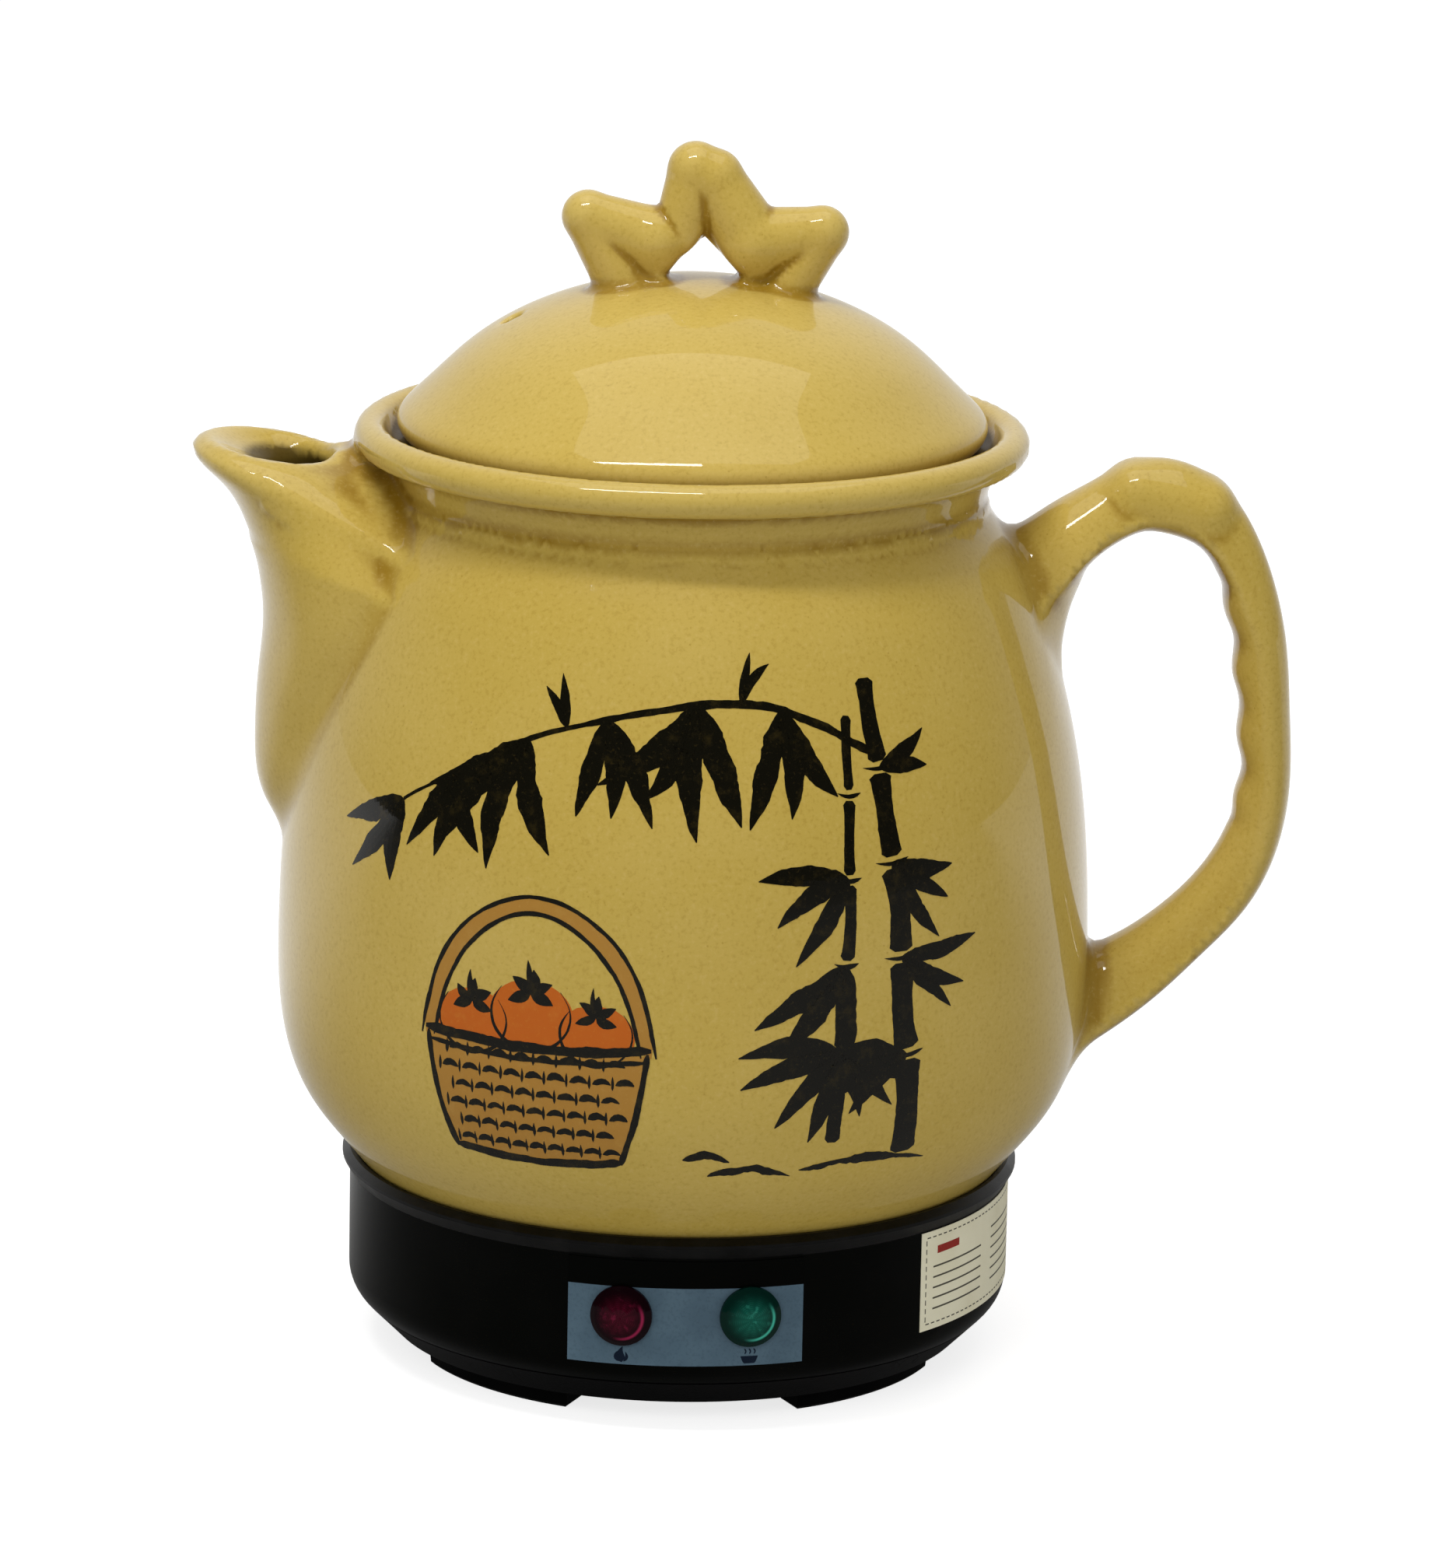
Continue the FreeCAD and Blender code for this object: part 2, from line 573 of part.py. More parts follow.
def make_base_housing():
    """Round black shell with a sloped lower edge, two lamp holes and a flat boss for the inlet."""
    wall = "base_radius - base_wall"
    inner_reach = f"{INNER_ROUND} * {ROUND_SHARE}"
    body = turned("base_housing", (
        (SEAM_RADIUS, "seam_height"),
        (f"base_radius - corner_round * {ROUND_SHARE} * {SLANT}", CORNER_START, "corner_round"),
        ("base_radius", f"corner_height + corner_round * {ROUND_SHARE}"),
        ("base_radius", "housing_top"),
        ("ledge_radius", "housing_top"),
        ("ledge_radius", "housing_top - ledge_thickness"),
        (wall, "housing_top - ledge_thickness"),
        (wall, f"{INNER_CORNER} + {inner_reach}", INNER_ROUND),
        (f"{wall} - {inner_reach} * {SLANT}", f"{INNER_CORNER} - {inner_reach} * {SLANT}"),
        (SEAM_INNER, "seam_height"),
    ))
    boss = new_sketch(body, "boss_outline", "XZ_Plane", lift="-inlet_boss_back")
    low = "inlet_height - inlet_boss_height / 2"
    high = "inlet_height + inlet_boss_height / 2"
    rectangle(boss, "-inlet_boss_width / 2", "inlet_boss_width / 2", low, high)
    pad(body, "inlet_boss", boss, "inlet_face - inlet_boss_back", reverse=True)
    for side, name in ((-1, "red_lamp_hole"), (1, "green_lamp_hole")):
        lamp_hole(body, name, side)
    cut = new_sketch(body, "inlet_cut_outline", "XZ_Plane", lift="-inlet_body_end")
    half = "inlet_body_width / 2 + inlet_clearance"
    rise = "inlet_body_height / 2 + inlet_clearance"
    rectangle(cut, f"-({half})", half, f"inlet_height - ({rise})", f"inlet_height + {rise}")
    pocket(body, "inlet_cut", cut, "inlet_face", reverse=False)
    holes = new_sketch(body, "inlet_screw_circles", "XZ_Plane", lift="-inlet_face")
    for side in ("-", ""):
        circle(holes, f"{side}inlet_screw_spread", "inlet_height", "small_screw_radius + thread_clearance")
    pocket(body, "inlet_screw_holes", holes, "inlet_screw_depth + screw_tip_gap", reverse=True)


def make_base_plate():
    """Bottom cover with its upstand, four arc feet, four screw posts and a ring of vents."""
    body = turned("base_plate", (
        ("0", "plate_underside"),
        ("base_radius - corner_height + plate_underside", "plate_underside"),
        (f"{SEAM_RADIUS} - seam_gap", "seam_height - seam_gap"),
        (f"{SEAM_RADIUS} - seam_step", "seam_height - seam_gap"),
        (f"{SEAM_RADIUS} - seam_step", "seam_height"),
        (LIP_OUTER, "seam_height"),
        (LIP_OUTER, "seam_height + lip_height"),
        (f"{LIP_OUTER} - lip_width", "seam_height + lip_height"),
        (f"{LIP_OUTER} - lip_width", PLATE_TOP),
        ("0", PLATE_TOP),
    ))
    foot = new_sketch(body, "foot_outline", "XZ_Plane", turn="foot_angle")
    polygon(foot, (
        ("foot_radius - foot_width", "0"),
        ("foot_radius", "0"),
        ("foot_radius + foot_draft", PLATE_TOP),
        ("foot_radius - foot_width", PLATE_TOP),
    ))
    first_foot = revolve(body, "foot", foot, angle="foot_span")
    ring_of(body, "feet", [first_foot], "foot_count")
    dress(body, "Chamfer", "sole_edges", lambda edge: near(edge.BoundBox.ZMax, 0), "Size", "foot_chamfer")
    post = new_sketch(body, "post_circle", "XY_Plane", lift=PLATE_TOP)
    spot = ("screw_circle * cos(foot_angle * 1 deg)", "screw_circle * sin(foot_angle * 1 deg)")
    circle(post, *spot, "post_radius")
    first_post = pad(body, "post", post, f"post_top - ({PLATE_TOP})")
    ring_of(body, "posts", [first_post], "foot_count")
    bore = new_sketch(body, "bore_circle", "XY_Plane")
    circle(bore, *spot, "screw_radius + screw_clearance")
    first_bore = pocket(body, "bore", bore, "post_top + seam_gap", reverse=True)
    ring_of(body, "bores", [first_bore], "foot_count")
    seat = new_sketch(body, "seat_circle", "XY_Plane")
    circle(seat, *spot, "head_radius + head_clearance")
    first_seat = pocket(body, "seat", seat, "head_seat", reverse=True)
    ring_of(body, "seats", [first_seat], "foot_count")
    slot = new_sketch(body, "vent_outline", "XY_Plane")
    rectangle(slot, "vent_start", "vent_end", "-vent_width / 2", "vent_width / 2")
    first_slot = pocket(body, "vent", slot, PLATE_TOP, reverse=True)
    ring_of(body, "vents", [first_slot], "vent_count")
    notch = new_sketch(body, "inlet_notch_outline", "XZ_Plane")
    half = "inlet_boss_width / 2 + inlet_clearance"
    rectangle(notch, f"-({half})", half, "seam_height", "seam_height + lip_height * 2")
    pocket(body, "inlet_notch", notch, "base_radius", reverse=False)


def make_seal_ring():
    """Flared rubber ring between housing and pot, cut to the pot's own curve."""
    top = size("housing_top")
    outline = (
        Vector(size("ledge_radius - ledge_thickness"), 0, top),
        Vector(size("base_radius"), 0, top),
        Vector(size("seal_lip_radius"), 0, size("seal_lip_height - seal_lip_edge")),
        Vector(size("seal_lip_radius"), 0, size("seal_lip_height")),
        Vector(size("seal_lip_radius - seal_lip_edge * 2"), 0, size("seal_top")),
        Vector(size("ledge_radius - ledge_thickness"), 0, size("seal_top")),
    )
    edges = [line(start, end) for start, end in zip(outline, outline[1:] + outline[:1])]
    ring = spun(edges)
    node_from("seal_ring", ring.cut(pot_outside(size("seal_gap"))))


# ------------------------------------------------------------------ fixings

RING_UNDER = "ring_top - ring_thickness"


def make_base_screws():
    """Four screws that pull the bottom plate up to the support ring."""
    tip = f"{RING_UNDER} - screw_tip_gap"
    head = "head_seat - head_height"
    body = new_body("base_screws")
    sketch = new_sketch(body, "screw_outline", "XZ_Plane")
    sketch.AttachmentOffset = Placement(
        Rotation(Y_AXIS, size("foot_angle")).multVec(Vector(size("screw_circle"), 0, 0)),
        Rotation(Y_AXIS, size("foot_angle")),
    )
    sketch.setExpression("AttachmentOffset.Base.x", bound("screw_circle * cos(foot_angle * 1 deg)"))
    sketch.setExpression("AttachmentOffset.Base.z", bound("-screw_circle * sin(foot_angle * 1 deg)"))
    polygon(sketch, (
        ("0", f"{head} + socket_depth"),
        ("socket_radius", f"{head} + socket_depth"),
        ("socket_radius", head),
        ("head_radius", head),
        ("head_radius", "head_seat"),
        ("screw_radius", "head_seat"),
        ("screw_radius", tip),
        ("0", tip),
    ))
    ring_of(body, "screw_ring", [revolve(body, "screw", sketch)], "foot_count")


def ring_of_bushes(name, place, angle, count, inner, outer, low, high):
    """A node of equal round nuts or washers that stand on a circle."""
    body = new_body(name)
    sketch = new_sketch(body, f"{name}_circles", "XY_Plane", lift=low)
    spot = (f"{place} * cos({angle} * 1 deg)", f"{place} * sin({angle} * 1 deg)")
    if inner:
        circle(sketch, *spot, inner)
    circle(sketch, *spot, outer)
    ring_of(body, f"{name}_ring", [pad(body, f"{name}_one", sketch, f"({high}) - ({low})")], count)


def make_support_ring():
    """Flat steel ring that carries the pot's foot and the heater plate."""
    body = turned("support_ring", (
        ("ring_inner", RING_UNDER),
        ("ring_outer", RING_UNDER),
        ("ring_outer", "ring_top"),
        ("ring_inner", "ring_top"),
    ))
    for name, place, angle, count, radius in (
        ("screw_hole", "screw_circle", "foot_angle", "foot_count", "screw_radius + screw_clearance"),
        ("stud_hole", "stud_circle", "0", "stud_count", "stud_radius + screw_clearance"),
    ):
        sketch = new_sketch(body, f"{name}_circle", "XY_Plane", lift=RING_UNDER)
        circle(sketch, f"{place} * cos({angle} * 1 deg)", f"{place} * sin({angle} * 1 deg)", radius)
        first = pocket(body, name, sketch, "ring_thickness", reverse=True)
        ring_of(body, f"{name}s", [first], count)


def make_fixings():
    """Captive nuts on the ring, and the studs, washers and nuts that anchor the pot to it."""
    ring_of_bushes("captive_nuts", "screw_circle", "foot_angle", "foot_count",
                   "screw_radius + thread_clearance", "nut_radius", "post_top", RING_UNDER)
    ring_of_bushes("anchor_studs", "stud_circle", "0", "stud_count",
                   None, "stud_radius", "stud_end", "ring_top + stud_depth")
    washer_low = f"{RING_UNDER} - washer_thickness"
    ring_of_bushes("anchor_washers", "stud_circle", "0", "stud_count",
                   "stud_radius + thread_clearance * 3", "washer_radius", washer_low, RING_UNDER)
    ring_of_bushes("anchor_nuts", "stud_circle", "0", "stud_count",
                   "stud_radius + thread_clearance", "anchor_nut_radius",
                   f"{washer_low} - anchor_nut_height", washer_low)


# ------------------------------------------------------------------ heater stack


def element_end(sign):
    """Expressions for the place of one end of the tubular element, which opens towards +Y."""
    half_gap = f"(90 + {sign} * (180 - element_sweep / 2)) * 1 deg"
    return f"element_ring * cos({half_gap})", f"element_ring * sin({half_gap})"


def make_heater_plate():
    """Cast aluminium disc pressed to the pot's underside, with blind holes for the small screws."""
    body = turned("heater_plate", (
        ("0", "ring_top"),
        ("heater_radius", "ring_top"),
        ("heater_radius", "ring_top + heater_thickness"),
        ("0", "ring_top + heater_thickness"),
    ))
    sketch = new_sketch(body, "thermostat_screw_circles", "XY_Plane", lift="ring_top")
    for side in ("-", ""):
        for end in ("-", ""):
            circle(sketch, f"{side}thermostat_offset", f"{end}small_screw_reach",
                   "small_screw_radius + thread_clearance")
    circle(sketch, "clip_ear", "fuse_offset", "small_screw_radius + thread_clearance")
    pocket(body, "blind_holes", sketch, "small_screw_depth + screw_tip_gap * 0.5", reverse=True)


def make_heating_element():
    """Tubular element under the plate, open towards the inlet, with a cold pin at each end."""
    level = "ring_top - element_tube"
    coil = doc.addObject("Part::Torus", "element_coil")
    coil.setExpression("Radius1", bound("element_ring"))
    coil.setExpression("Radius2", bound("element_tube"))
    coil.setExpression("Angle3", bound("element_sweep"))
    coil.Placement = Placement(Vector(0, 0, 0), Rotation(Z_AXIS, size("90 + 180 - element_sweep / 2")))
    coil.setExpression("Placement.Base.z", bound(level))
    pieces = [coil]
    for sign, side in (("-", "right"), ("", "left")):
        across, along = element_end(f"{sign}1")
        end = doc.addObject("Part::Sphere", f"element_end_{side}")
        end.setExpression("Radius", bound("element_tube"))
        pin = doc.addObject("Part::Cylinder", f"element_pin_{side}")
        pin.setExpression("Radius", bound("pin_radius"))
        pin.setExpression("Height", bound(f"{level} - pin_end"))
        for item, height in ((end, level), (pin, "pin_end")):
            item.setExpression("Placement.Base.x", bound(across))
            item.setExpression("Placement.Base.y", bound(along))
            item.setExpression("Placement.Base.z", bound(height))
            pieces.append(item)
    fused = doc.addObject("Part::MultiFuse", "heating_element")
    fused.Label = "heating_element"
    fused.Shapes = pieces
    nodes.append(fused)


def make_heat_shield():
    """Pressed pan under the element, spot-welded to the support ring, with a hole for each lead."""
    inner = "shield_radius - shield_gauge"
    body = turned("heat_shield", (
        ("0", "shield_floor"),
        ("shield_radius - shield_slope", "shield_floor"),
        ("shield_radius", "shield_floor + shield_slope"),
        ("shield_radius", f"{RING_UNDER} - shield_gauge"),
        ("shield_flange", f"{RING_UNDER} - shield_gauge"),
        ("shield_flange", RING_UNDER),
        (inner, RING_UNDER),
        (inner, "shield_floor + shield_slope + shield_gauge * tan(22.5 deg)"),
        (f"{inner} - shield_slope", "shield_floor + shield_gauge"),
        ("0", "shield_floor + shield_gauge"),
    ))
    sketch = new_sketch(body, "lead_hole_circles", "XY_Plane", lift="shield_floor")
    for sign in ("-1", "1"):
        circle(sketch, *element_end(sign), "shield_hole")
    pocket(body, "lead_holes", sketch, "shield_slope", reverse=True)


def make_thermostat(name, side):
    """Bimetal disc thermostat: metal cap, flange with two screw holes, moulded body and two blades."""
    cap_low = "ring_top - thermostat_cap_height"
    flange_low = f"{cap_low} - thermostat_flange_height"
    body_low = f"{flange_low} - thermostat_body_height"
    body = new_body(name)
    sketch = new_sketch(body, f"{name}_outline", "XZ_Plane")
    sketch.setExpression("AttachmentOffset.Base.x", bound(f"{side} * thermostat_offset"))
    polygon(sketch, (
        ("0", "ring_top"),
        ("thermostat_cap", "ring_top"),
        ("thermostat_cap", cap_low),
        ("thermostat_flange", cap_low),
        ("thermostat_flange", flange_low),
        ("thermostat_body", flange_low),
        ("thermostat_body", body_low),
        ("0", body_low),
    ))
    revolve(body, f"{name}_turned", sketch)
    blades = new_sketch(body, f"{name}_blades_outline", "XY_Plane", lift=f"{body_low} - tab_length")
    for sign in ("-", "+"):
        middle = f"{side} * thermostat_offset {sign} tab_spacing"
        rectangle(blades, f"{middle} - tab_thickness / 2", f"{middle} + tab_thickness / 2",
                  "-tab_width / 2", "tab_width / 2")
    pad(body, f"{name}_blades", blades, "tab_length + tab_thickness")
    holes = new_sketch(body, f"{name}_holes_circles", "XY_Plane", lift=flange_low)
    for sign in ("-", ""):
        circle(holes, f"{side} * thermostat_offset", f"{sign}small_screw_reach",
               "small_screw_radius + thread_clearance * 2")
    pocket(body, f"{name}_holes", holes, "thermostat_flange_height", reverse=True)


def make_small_screws():
    """The four screws that hold the thermostats, and the one of the fuse clip, in nodes of their own."""
    flange_low = "ring_top - thermostat_cap_height - thermostat_flange_height"
    tip = "ring_top + small_screw_depth"
    body = new_body("thermostat_screws")
    heads = new_sketch(body, "heads_circles", "XY_Plane", lift=f"{flange_low} - small_head_height")
    shanks = new_sketch(body, "shanks_circles", "XY_Plane", lift=flange_low)
    for side in ("-", ""):
        for end in ("-", ""):
            spot = (f"{side}thermostat_offset", f"{end}small_screw_reach")
            circle(heads, *spot, "small_head_radius")
            circle(shanks, *spot, "small_screw_radius")
    pad(body, "heads", heads, "small_head_height")
    pad(body, "shanks", shanks, f"{tip} - ({flange_low})")
    clip_low = "ring_top - clip_gauge"
    body = new_body("fuse_clip_screw")
    head = new_sketch(body, "clip_head_circle", "XY_Plane", lift=f"{clip_low} - small_head_height")
    circle(head, "clip_ear", "fuse_offset", "small_head_radius")
    pad(body, "clip_head", head, "small_head_height")
    shank = new_sketch(body, "clip_shank_circle", "XY_Plane", lift=clip_low)
    circle(shank, "clip_ear", "fuse_offset", "small_screw_radius")
    pad(body, "clip_shank", shank, f"{tip} - ({clip_low})")


def make_thermal_fuse():
    """Axial thermal fuse along Y under the plate, and the sheet clip that holds it up."""
    gap = "holder_clearance"
    body = new_body("thermal_fuse")
    barrel = new_sketch(body, "fuse_circle", "XZ_Plane", lift="-fuse_offset - fuse_length / 2")
    level = f"ring_top - fuse_radius - {gap}"
    circle(barrel, "0", level, "fuse_radius")
    pad(body, "fuse_barrel", barrel, "fuse_length")
    lead = new_sketch(body, "fuse_lead_circle", "XZ_Plane", lift="-fuse_offset - fuse_length / 2 - fuse_lead")
    circle(lead, "0", level, "fuse_lead_radius")
    pad(body, "fuse_leads", lead, "fuse_length + fuse_lead * 2")
    body = new_body("fuse_clip")
    loop = new_sketch(body, "clip_outline", "XZ_Plane", lift="-fuse_offset - clip_width / 2")
    outer = f"fuse_radius + {gap} + clip_gauge"
    inner = f"fuse_radius + {gap}"
    low = f"ring_top - fuse_radius * 2 - {gap} * 2"
    polygon(loop, (
        (f"-({outer})", "ring_top"),
        (f"-({outer})", f"{low} - clip_gauge"),
        (outer, f"{low} - clip_gauge"),
        (outer, "ring_top - clip_gauge"),
        ("clip_ear + small_head_radius", "ring_top - clip_gauge"),
        ("clip_ear + small_head_radius", "ring_top"),
        (inner, "ring_top"),
        (inner, low),
        (f"-({inner})", low),
        (f"-({inner})", "ring_top"),
    ))
    pad(body, "clip_sheet", loop, "clip_width")
    hole = new_sketch(body, "clip_hole_circle", "XY_Plane", lift="ring_top - clip_gauge")
    circle(hole, "clip_ear", "fuse_offset", "small_screw_radius + thread_clearance * 2")
    pocket(body, "clip_hole", hole, "clip_gauge", reverse=True)


# ------------------------------------------------------------------ lamps, label and sticker

LENS_SEAT = "base_radius + label_thickness + label_seat * 2"


def lamp_sketch(body, name, side):
    """A sketch whose horizontal axis is one lamp's axis, with outward distances counted negative."""
    return new_sketch(body, name, "YZ_Plane", turn=f"{side} * lamp_angle", shift="lamp_height")


def make_lamp_lens(name, side):
    """Moulded lens: domed front with a flange, and a hollow barrel through label and wall."""
    body = new_body(name)
    sketch = lamp_sketch(body, f"{name}_outline", side)
    shoulder = f"-({LENS_SEAT} + lens_flange)"
    front = f"-({LENS_SEAT} + lens_flange + lens_dome)"
    back = f"-({LENS_SEAT} - barrel_length)"
    polygon(sketch, (
        (front, "0"),
        (f"-({LENS_SEAT} + lens_flange + lens_dome * 0.93)", "lamp_radius * 0.3"),
        (f"-({LENS_SEAT} + lens_flange + lens_dome * 0.7)", "lamp_radius * 0.6"),
        (f"-({LENS_SEAT} + lens_flange + lens_dome * 0.35)", "lamp_radius * 0.85"),
        (shoulder, "lamp_radius"),
        (f"-({LENS_SEAT})", "lamp_radius"),
        (f"-({LENS_SEAT})", "barrel_radius"),
        (back, "barrel_radius"),
        (back, "barrel_radius - lens_wall"),
        (f"-({LENS_SEAT})", "barrel_radius - lens_wall"),
        (f"{front} + lens_wall * 2", "0"),
    ))
    revolve(body, f"{name}_turned", sketch, axis="H_Axis")


def make_lamp_set(name, corners):
    """The same turned piece behind both lenses, in one node."""
    body = new_body(name)
    sketch = lamp_sketch(body, f"{name}_outline", 1)
    polygon(sketch, corners)
    one = revolve(body, f"{name}_turned", sketch, axis="H_Axis")
    mirror_of(body, f"{name}_pair", [one], "YZ_Plane")


def make_lamps():
    """Lenses, neon lamps, their holders and the spring nuts behind the wall."""
    make_lamp_lens("red_lamp_lens", -1)
    make_lamp_lens("green_lamp_lens", 1)
    back = f"{LENS_SEAT} - barrel_length"
    make_lamp_set("neon_lamps", (
        (f"-({back})", "0"),
        (f"-({back})", "neon_radius"),
        (f"-({back} + neon_length)", "neon_radius"),
        (f"-({back} + neon_length)", "0"),
    ))
    make_lamp_set("lamp_holders", (
        (f"-({back})", "neon_radius + holder_clearance"),
        (f"-({back})", "barrel_radius - lens_wall - holder_clearance"),
        (f"-({back} + holder_depth)", "barrel_radius - lens_wall - holder_clearance"),
        (f"-({back} + holder_depth)", "neon_radius + holder_clearance"),
    ))
    wall = "base_radius - base_wall - spring_nut_gauge"
    make_lamp_set("lamp_spring_nuts", (
        (f"-({wall} - spring_nut_gauge)", "barrel_radius + holder_clearance"),
        (f"-({wall} - spring_nut_gauge)", "spring_nut_radius"),
        (f"-({wall})", "spring_nut_radius"),
        (f"-({wall})", "barrel_radius + holder_clearance"),
    ))


def make_film(name, role, turn, start, thickness, span, low, high):
    """A thin printed film wrapped on the housing's wall."""
    body = new_body(name)
    sketch = new_sketch(body, f"{name}_outline", role, turn=turn)
    sign = "-" if role == "YZ_Plane" else ""
    rectangle(sketch, f"{sign}({start} + {thickness})", f"{sign}({start})", low, high)
    revolve(body, f"{name}_turned", sketch, angle=span)
    return body


def make_films():
    """Control label on the front, with a hole for each lamp, and the care sticker beside it."""
    start = "base_radius + label_seat"
    body = make_film("control_label", "YZ_Plane", "0", start, "label_thickness",
                     "label_span", "label_bottom", "label_top")
    for side, name in ((-1, "red_label_hole"), (1, "green_label_hole")):
        lamp_hole(body, name, side)
    make_film("care_sticker", "XZ_Plane", "sticker_angle", start, "sticker_thickness",
              "sticker_span", "sticker_bottom", "sticker_top")


# ------------------------------------------------------------------ power inlet


def bevelled(sketch, width, height, corner, middle):
    """The three-pin plug outline: a rectangle with its two upper corners cut off."""
    polygon(sketch, (
        (f"-({width}) / 2", f"{middle} - ({height}) / 2"),
        (f"({width}) / 2", f"{middle} - ({height}) / 2"),
        (f"({width}) / 2", f"{middle} + ({height}) / 2 - {corner}"),
        (f"({width}) / 2 - {corner}", f"{middle} + ({height}) / 2"),
        (f"-({width}) / 2 + {corner}", f"{middle} + ({height}) / 2"),
        (f"-({width}) / 2", f"{middle} + ({height}) / 2 - {corner}"),
    ))


def make_inlet_socket():
    """Flanged socket in the rear boss, open to +Y for a detachable lead."""
    body = new_body("inlet_socket")
    flange = new_sketch(body, "flange_outline", "XZ_Plane", lift="-inlet_face")
    rectangle(flange, "-inlet_flange_width / 2", "inlet_flange_width / 2",
              "inlet_height - inlet_flange_height / 2", "inlet_height + inlet_flange_height / 2")
    pad(body, "flange", flange, "inlet_flange_thickness", reverse=True)
    shell = new_sketch(body, "shell_outline", "XZ_Plane", lift="-inlet_face")
    bevelled(shell, "inlet_body_width", "inlet_body_height", "inlet_corner", "inlet_height")
    pad(body, "shell", shell, "inlet_face - inlet_body_end")
    mouth = new_sketch(body, "mouth_outline", "XZ_Plane", lift="-inlet_floor")
    bevelled(mouth, "inlet_mouth_width", "inlet_mouth_height", "inlet_corner", "inlet_height")
    pocket(body, "mouth", mouth, "inlet_face", reverse=False)
    slots = new_sketch(body, "blade_slots_outline", "XZ_Plane", lift="-inlet_body_end")
    for across, up in (BLADES + EARTH_BLADE):
        blade_outline(slots, across, up, "blade_clearance")
    pocket(body, "blade_slots", slots, "inlet_floor - inlet_body_end", reverse=False)
    holes = new_sketch(body, "screw_holes_circles", "XZ_Plane", lift="-inlet_face")
    for side in ("-", ""):
        circle(holes, f"{side}inlet_screw_spread", "inlet_height", "small_screw_radius + screw_clearance")
    pocket(body, "screw_holes", holes, "inlet_flange_thickness", reverse=False)


BLADES = (("-blade_spread", "inlet_height - blade_drop"), ("blade_spread", "inlet_height - blade_drop"))
EARTH_BLADE = (("0", "inlet_height + blade_drop"),)


def blade_outline(sketch, across, up, margin):
    """The upright section of one contact blade, grown by a margin."""
    half_width = f"(blade_thickness / 2 + {margin})"
    half_height = f"(blade_width / 2 + {margin})"
    rectangle(sketch, f"{across} - {half_width}", f"{across} + {half_width}",
              f"{up} - {half_height}", f"{up} + {half_height}")


def make_inlet_contacts():
    """Live and neutral blades in one node, the longer earth blade in another."""
    for name, blades, front in (
        ("inlet_power_blades", BLADES, "blade_front"),
        ("inlet_earth_blade", EARTH_BLADE, "earth_front"),
    ):
        body = new_body(name)
        sketch = new_sketch(body, f"{name}_outline", "XZ_Plane", lift="-blade_back")
        for across, up in blades:
            blade_outline(sketch, across, up, "0")
        pad(body, f"{name}_bars", sketch, f"{front} - blade_back", reverse=True)


def make_inlet_screws():
    """Two screws that hold the inlet's flange to the boss."""
    body = new_body("inlet_screws")
    face = "inlet_face + inlet_flange_thickness"
    heads = new_sketch(body, "inlet_heads_circles", "XZ_Plane", lift=f"-({face})")
    shanks = new_sketch(body, "inlet_shanks_circles", "XZ_Plane", lift=f"-({face})")
    for side in ("-", ""):
        circle(heads, f"{side}inlet_screw_spread", "inlet_height", "small_head_radius")
        circle(shanks, f"{side}inlet_screw_spread", "inlet_height", "small_screw_radius")
    pad(body, "inlet_heads", heads, "small_head_height", reverse=True)
    pad(body, "inlet_shanks", shanks, "inlet_flange_thickness + inlet_screw_depth")


# ------------------------------------------------------------------ terminal block and wires


def make_terminal_block():
    """Three-way block on the bottom plate beside the pan, and its screws."""
    body = new_body("terminal_block")
    sketch = new_sketch(body, "block_outline", "XY_Plane", lift=PLATE_TOP)
    rectangle(sketch, "block_inner", "block_outer", "-block_half_length", "block_half_length")
    pad(body, "block", sketch, "block_height")
    wells = new_sketch(body, "wells_circles", "XY_Plane", lift=f"{PLATE_TOP} + block_height")
    middle = "(block_inner + block_outer) / 2"
    for place in ("-block_pitch", "0", "block_pitch"):
        circle(wells, middle, place, "small_head_radius + thread_clearance")
    pocket(body, "wells", wells, "block_height / 3")
    screws = new_body("terminal_screws")
    heads = new_sketch(screws, "terminal_circles", "XY_Plane", lift=f"{PLATE_TOP} + block_height * 2 / 3")
    for place in ("-block_pitch", "0", "block_pitch"):
        circle(heads, middle, place, "small_head_radius")
    pad(screws, "terminal_heads", heads, "small_head_height")


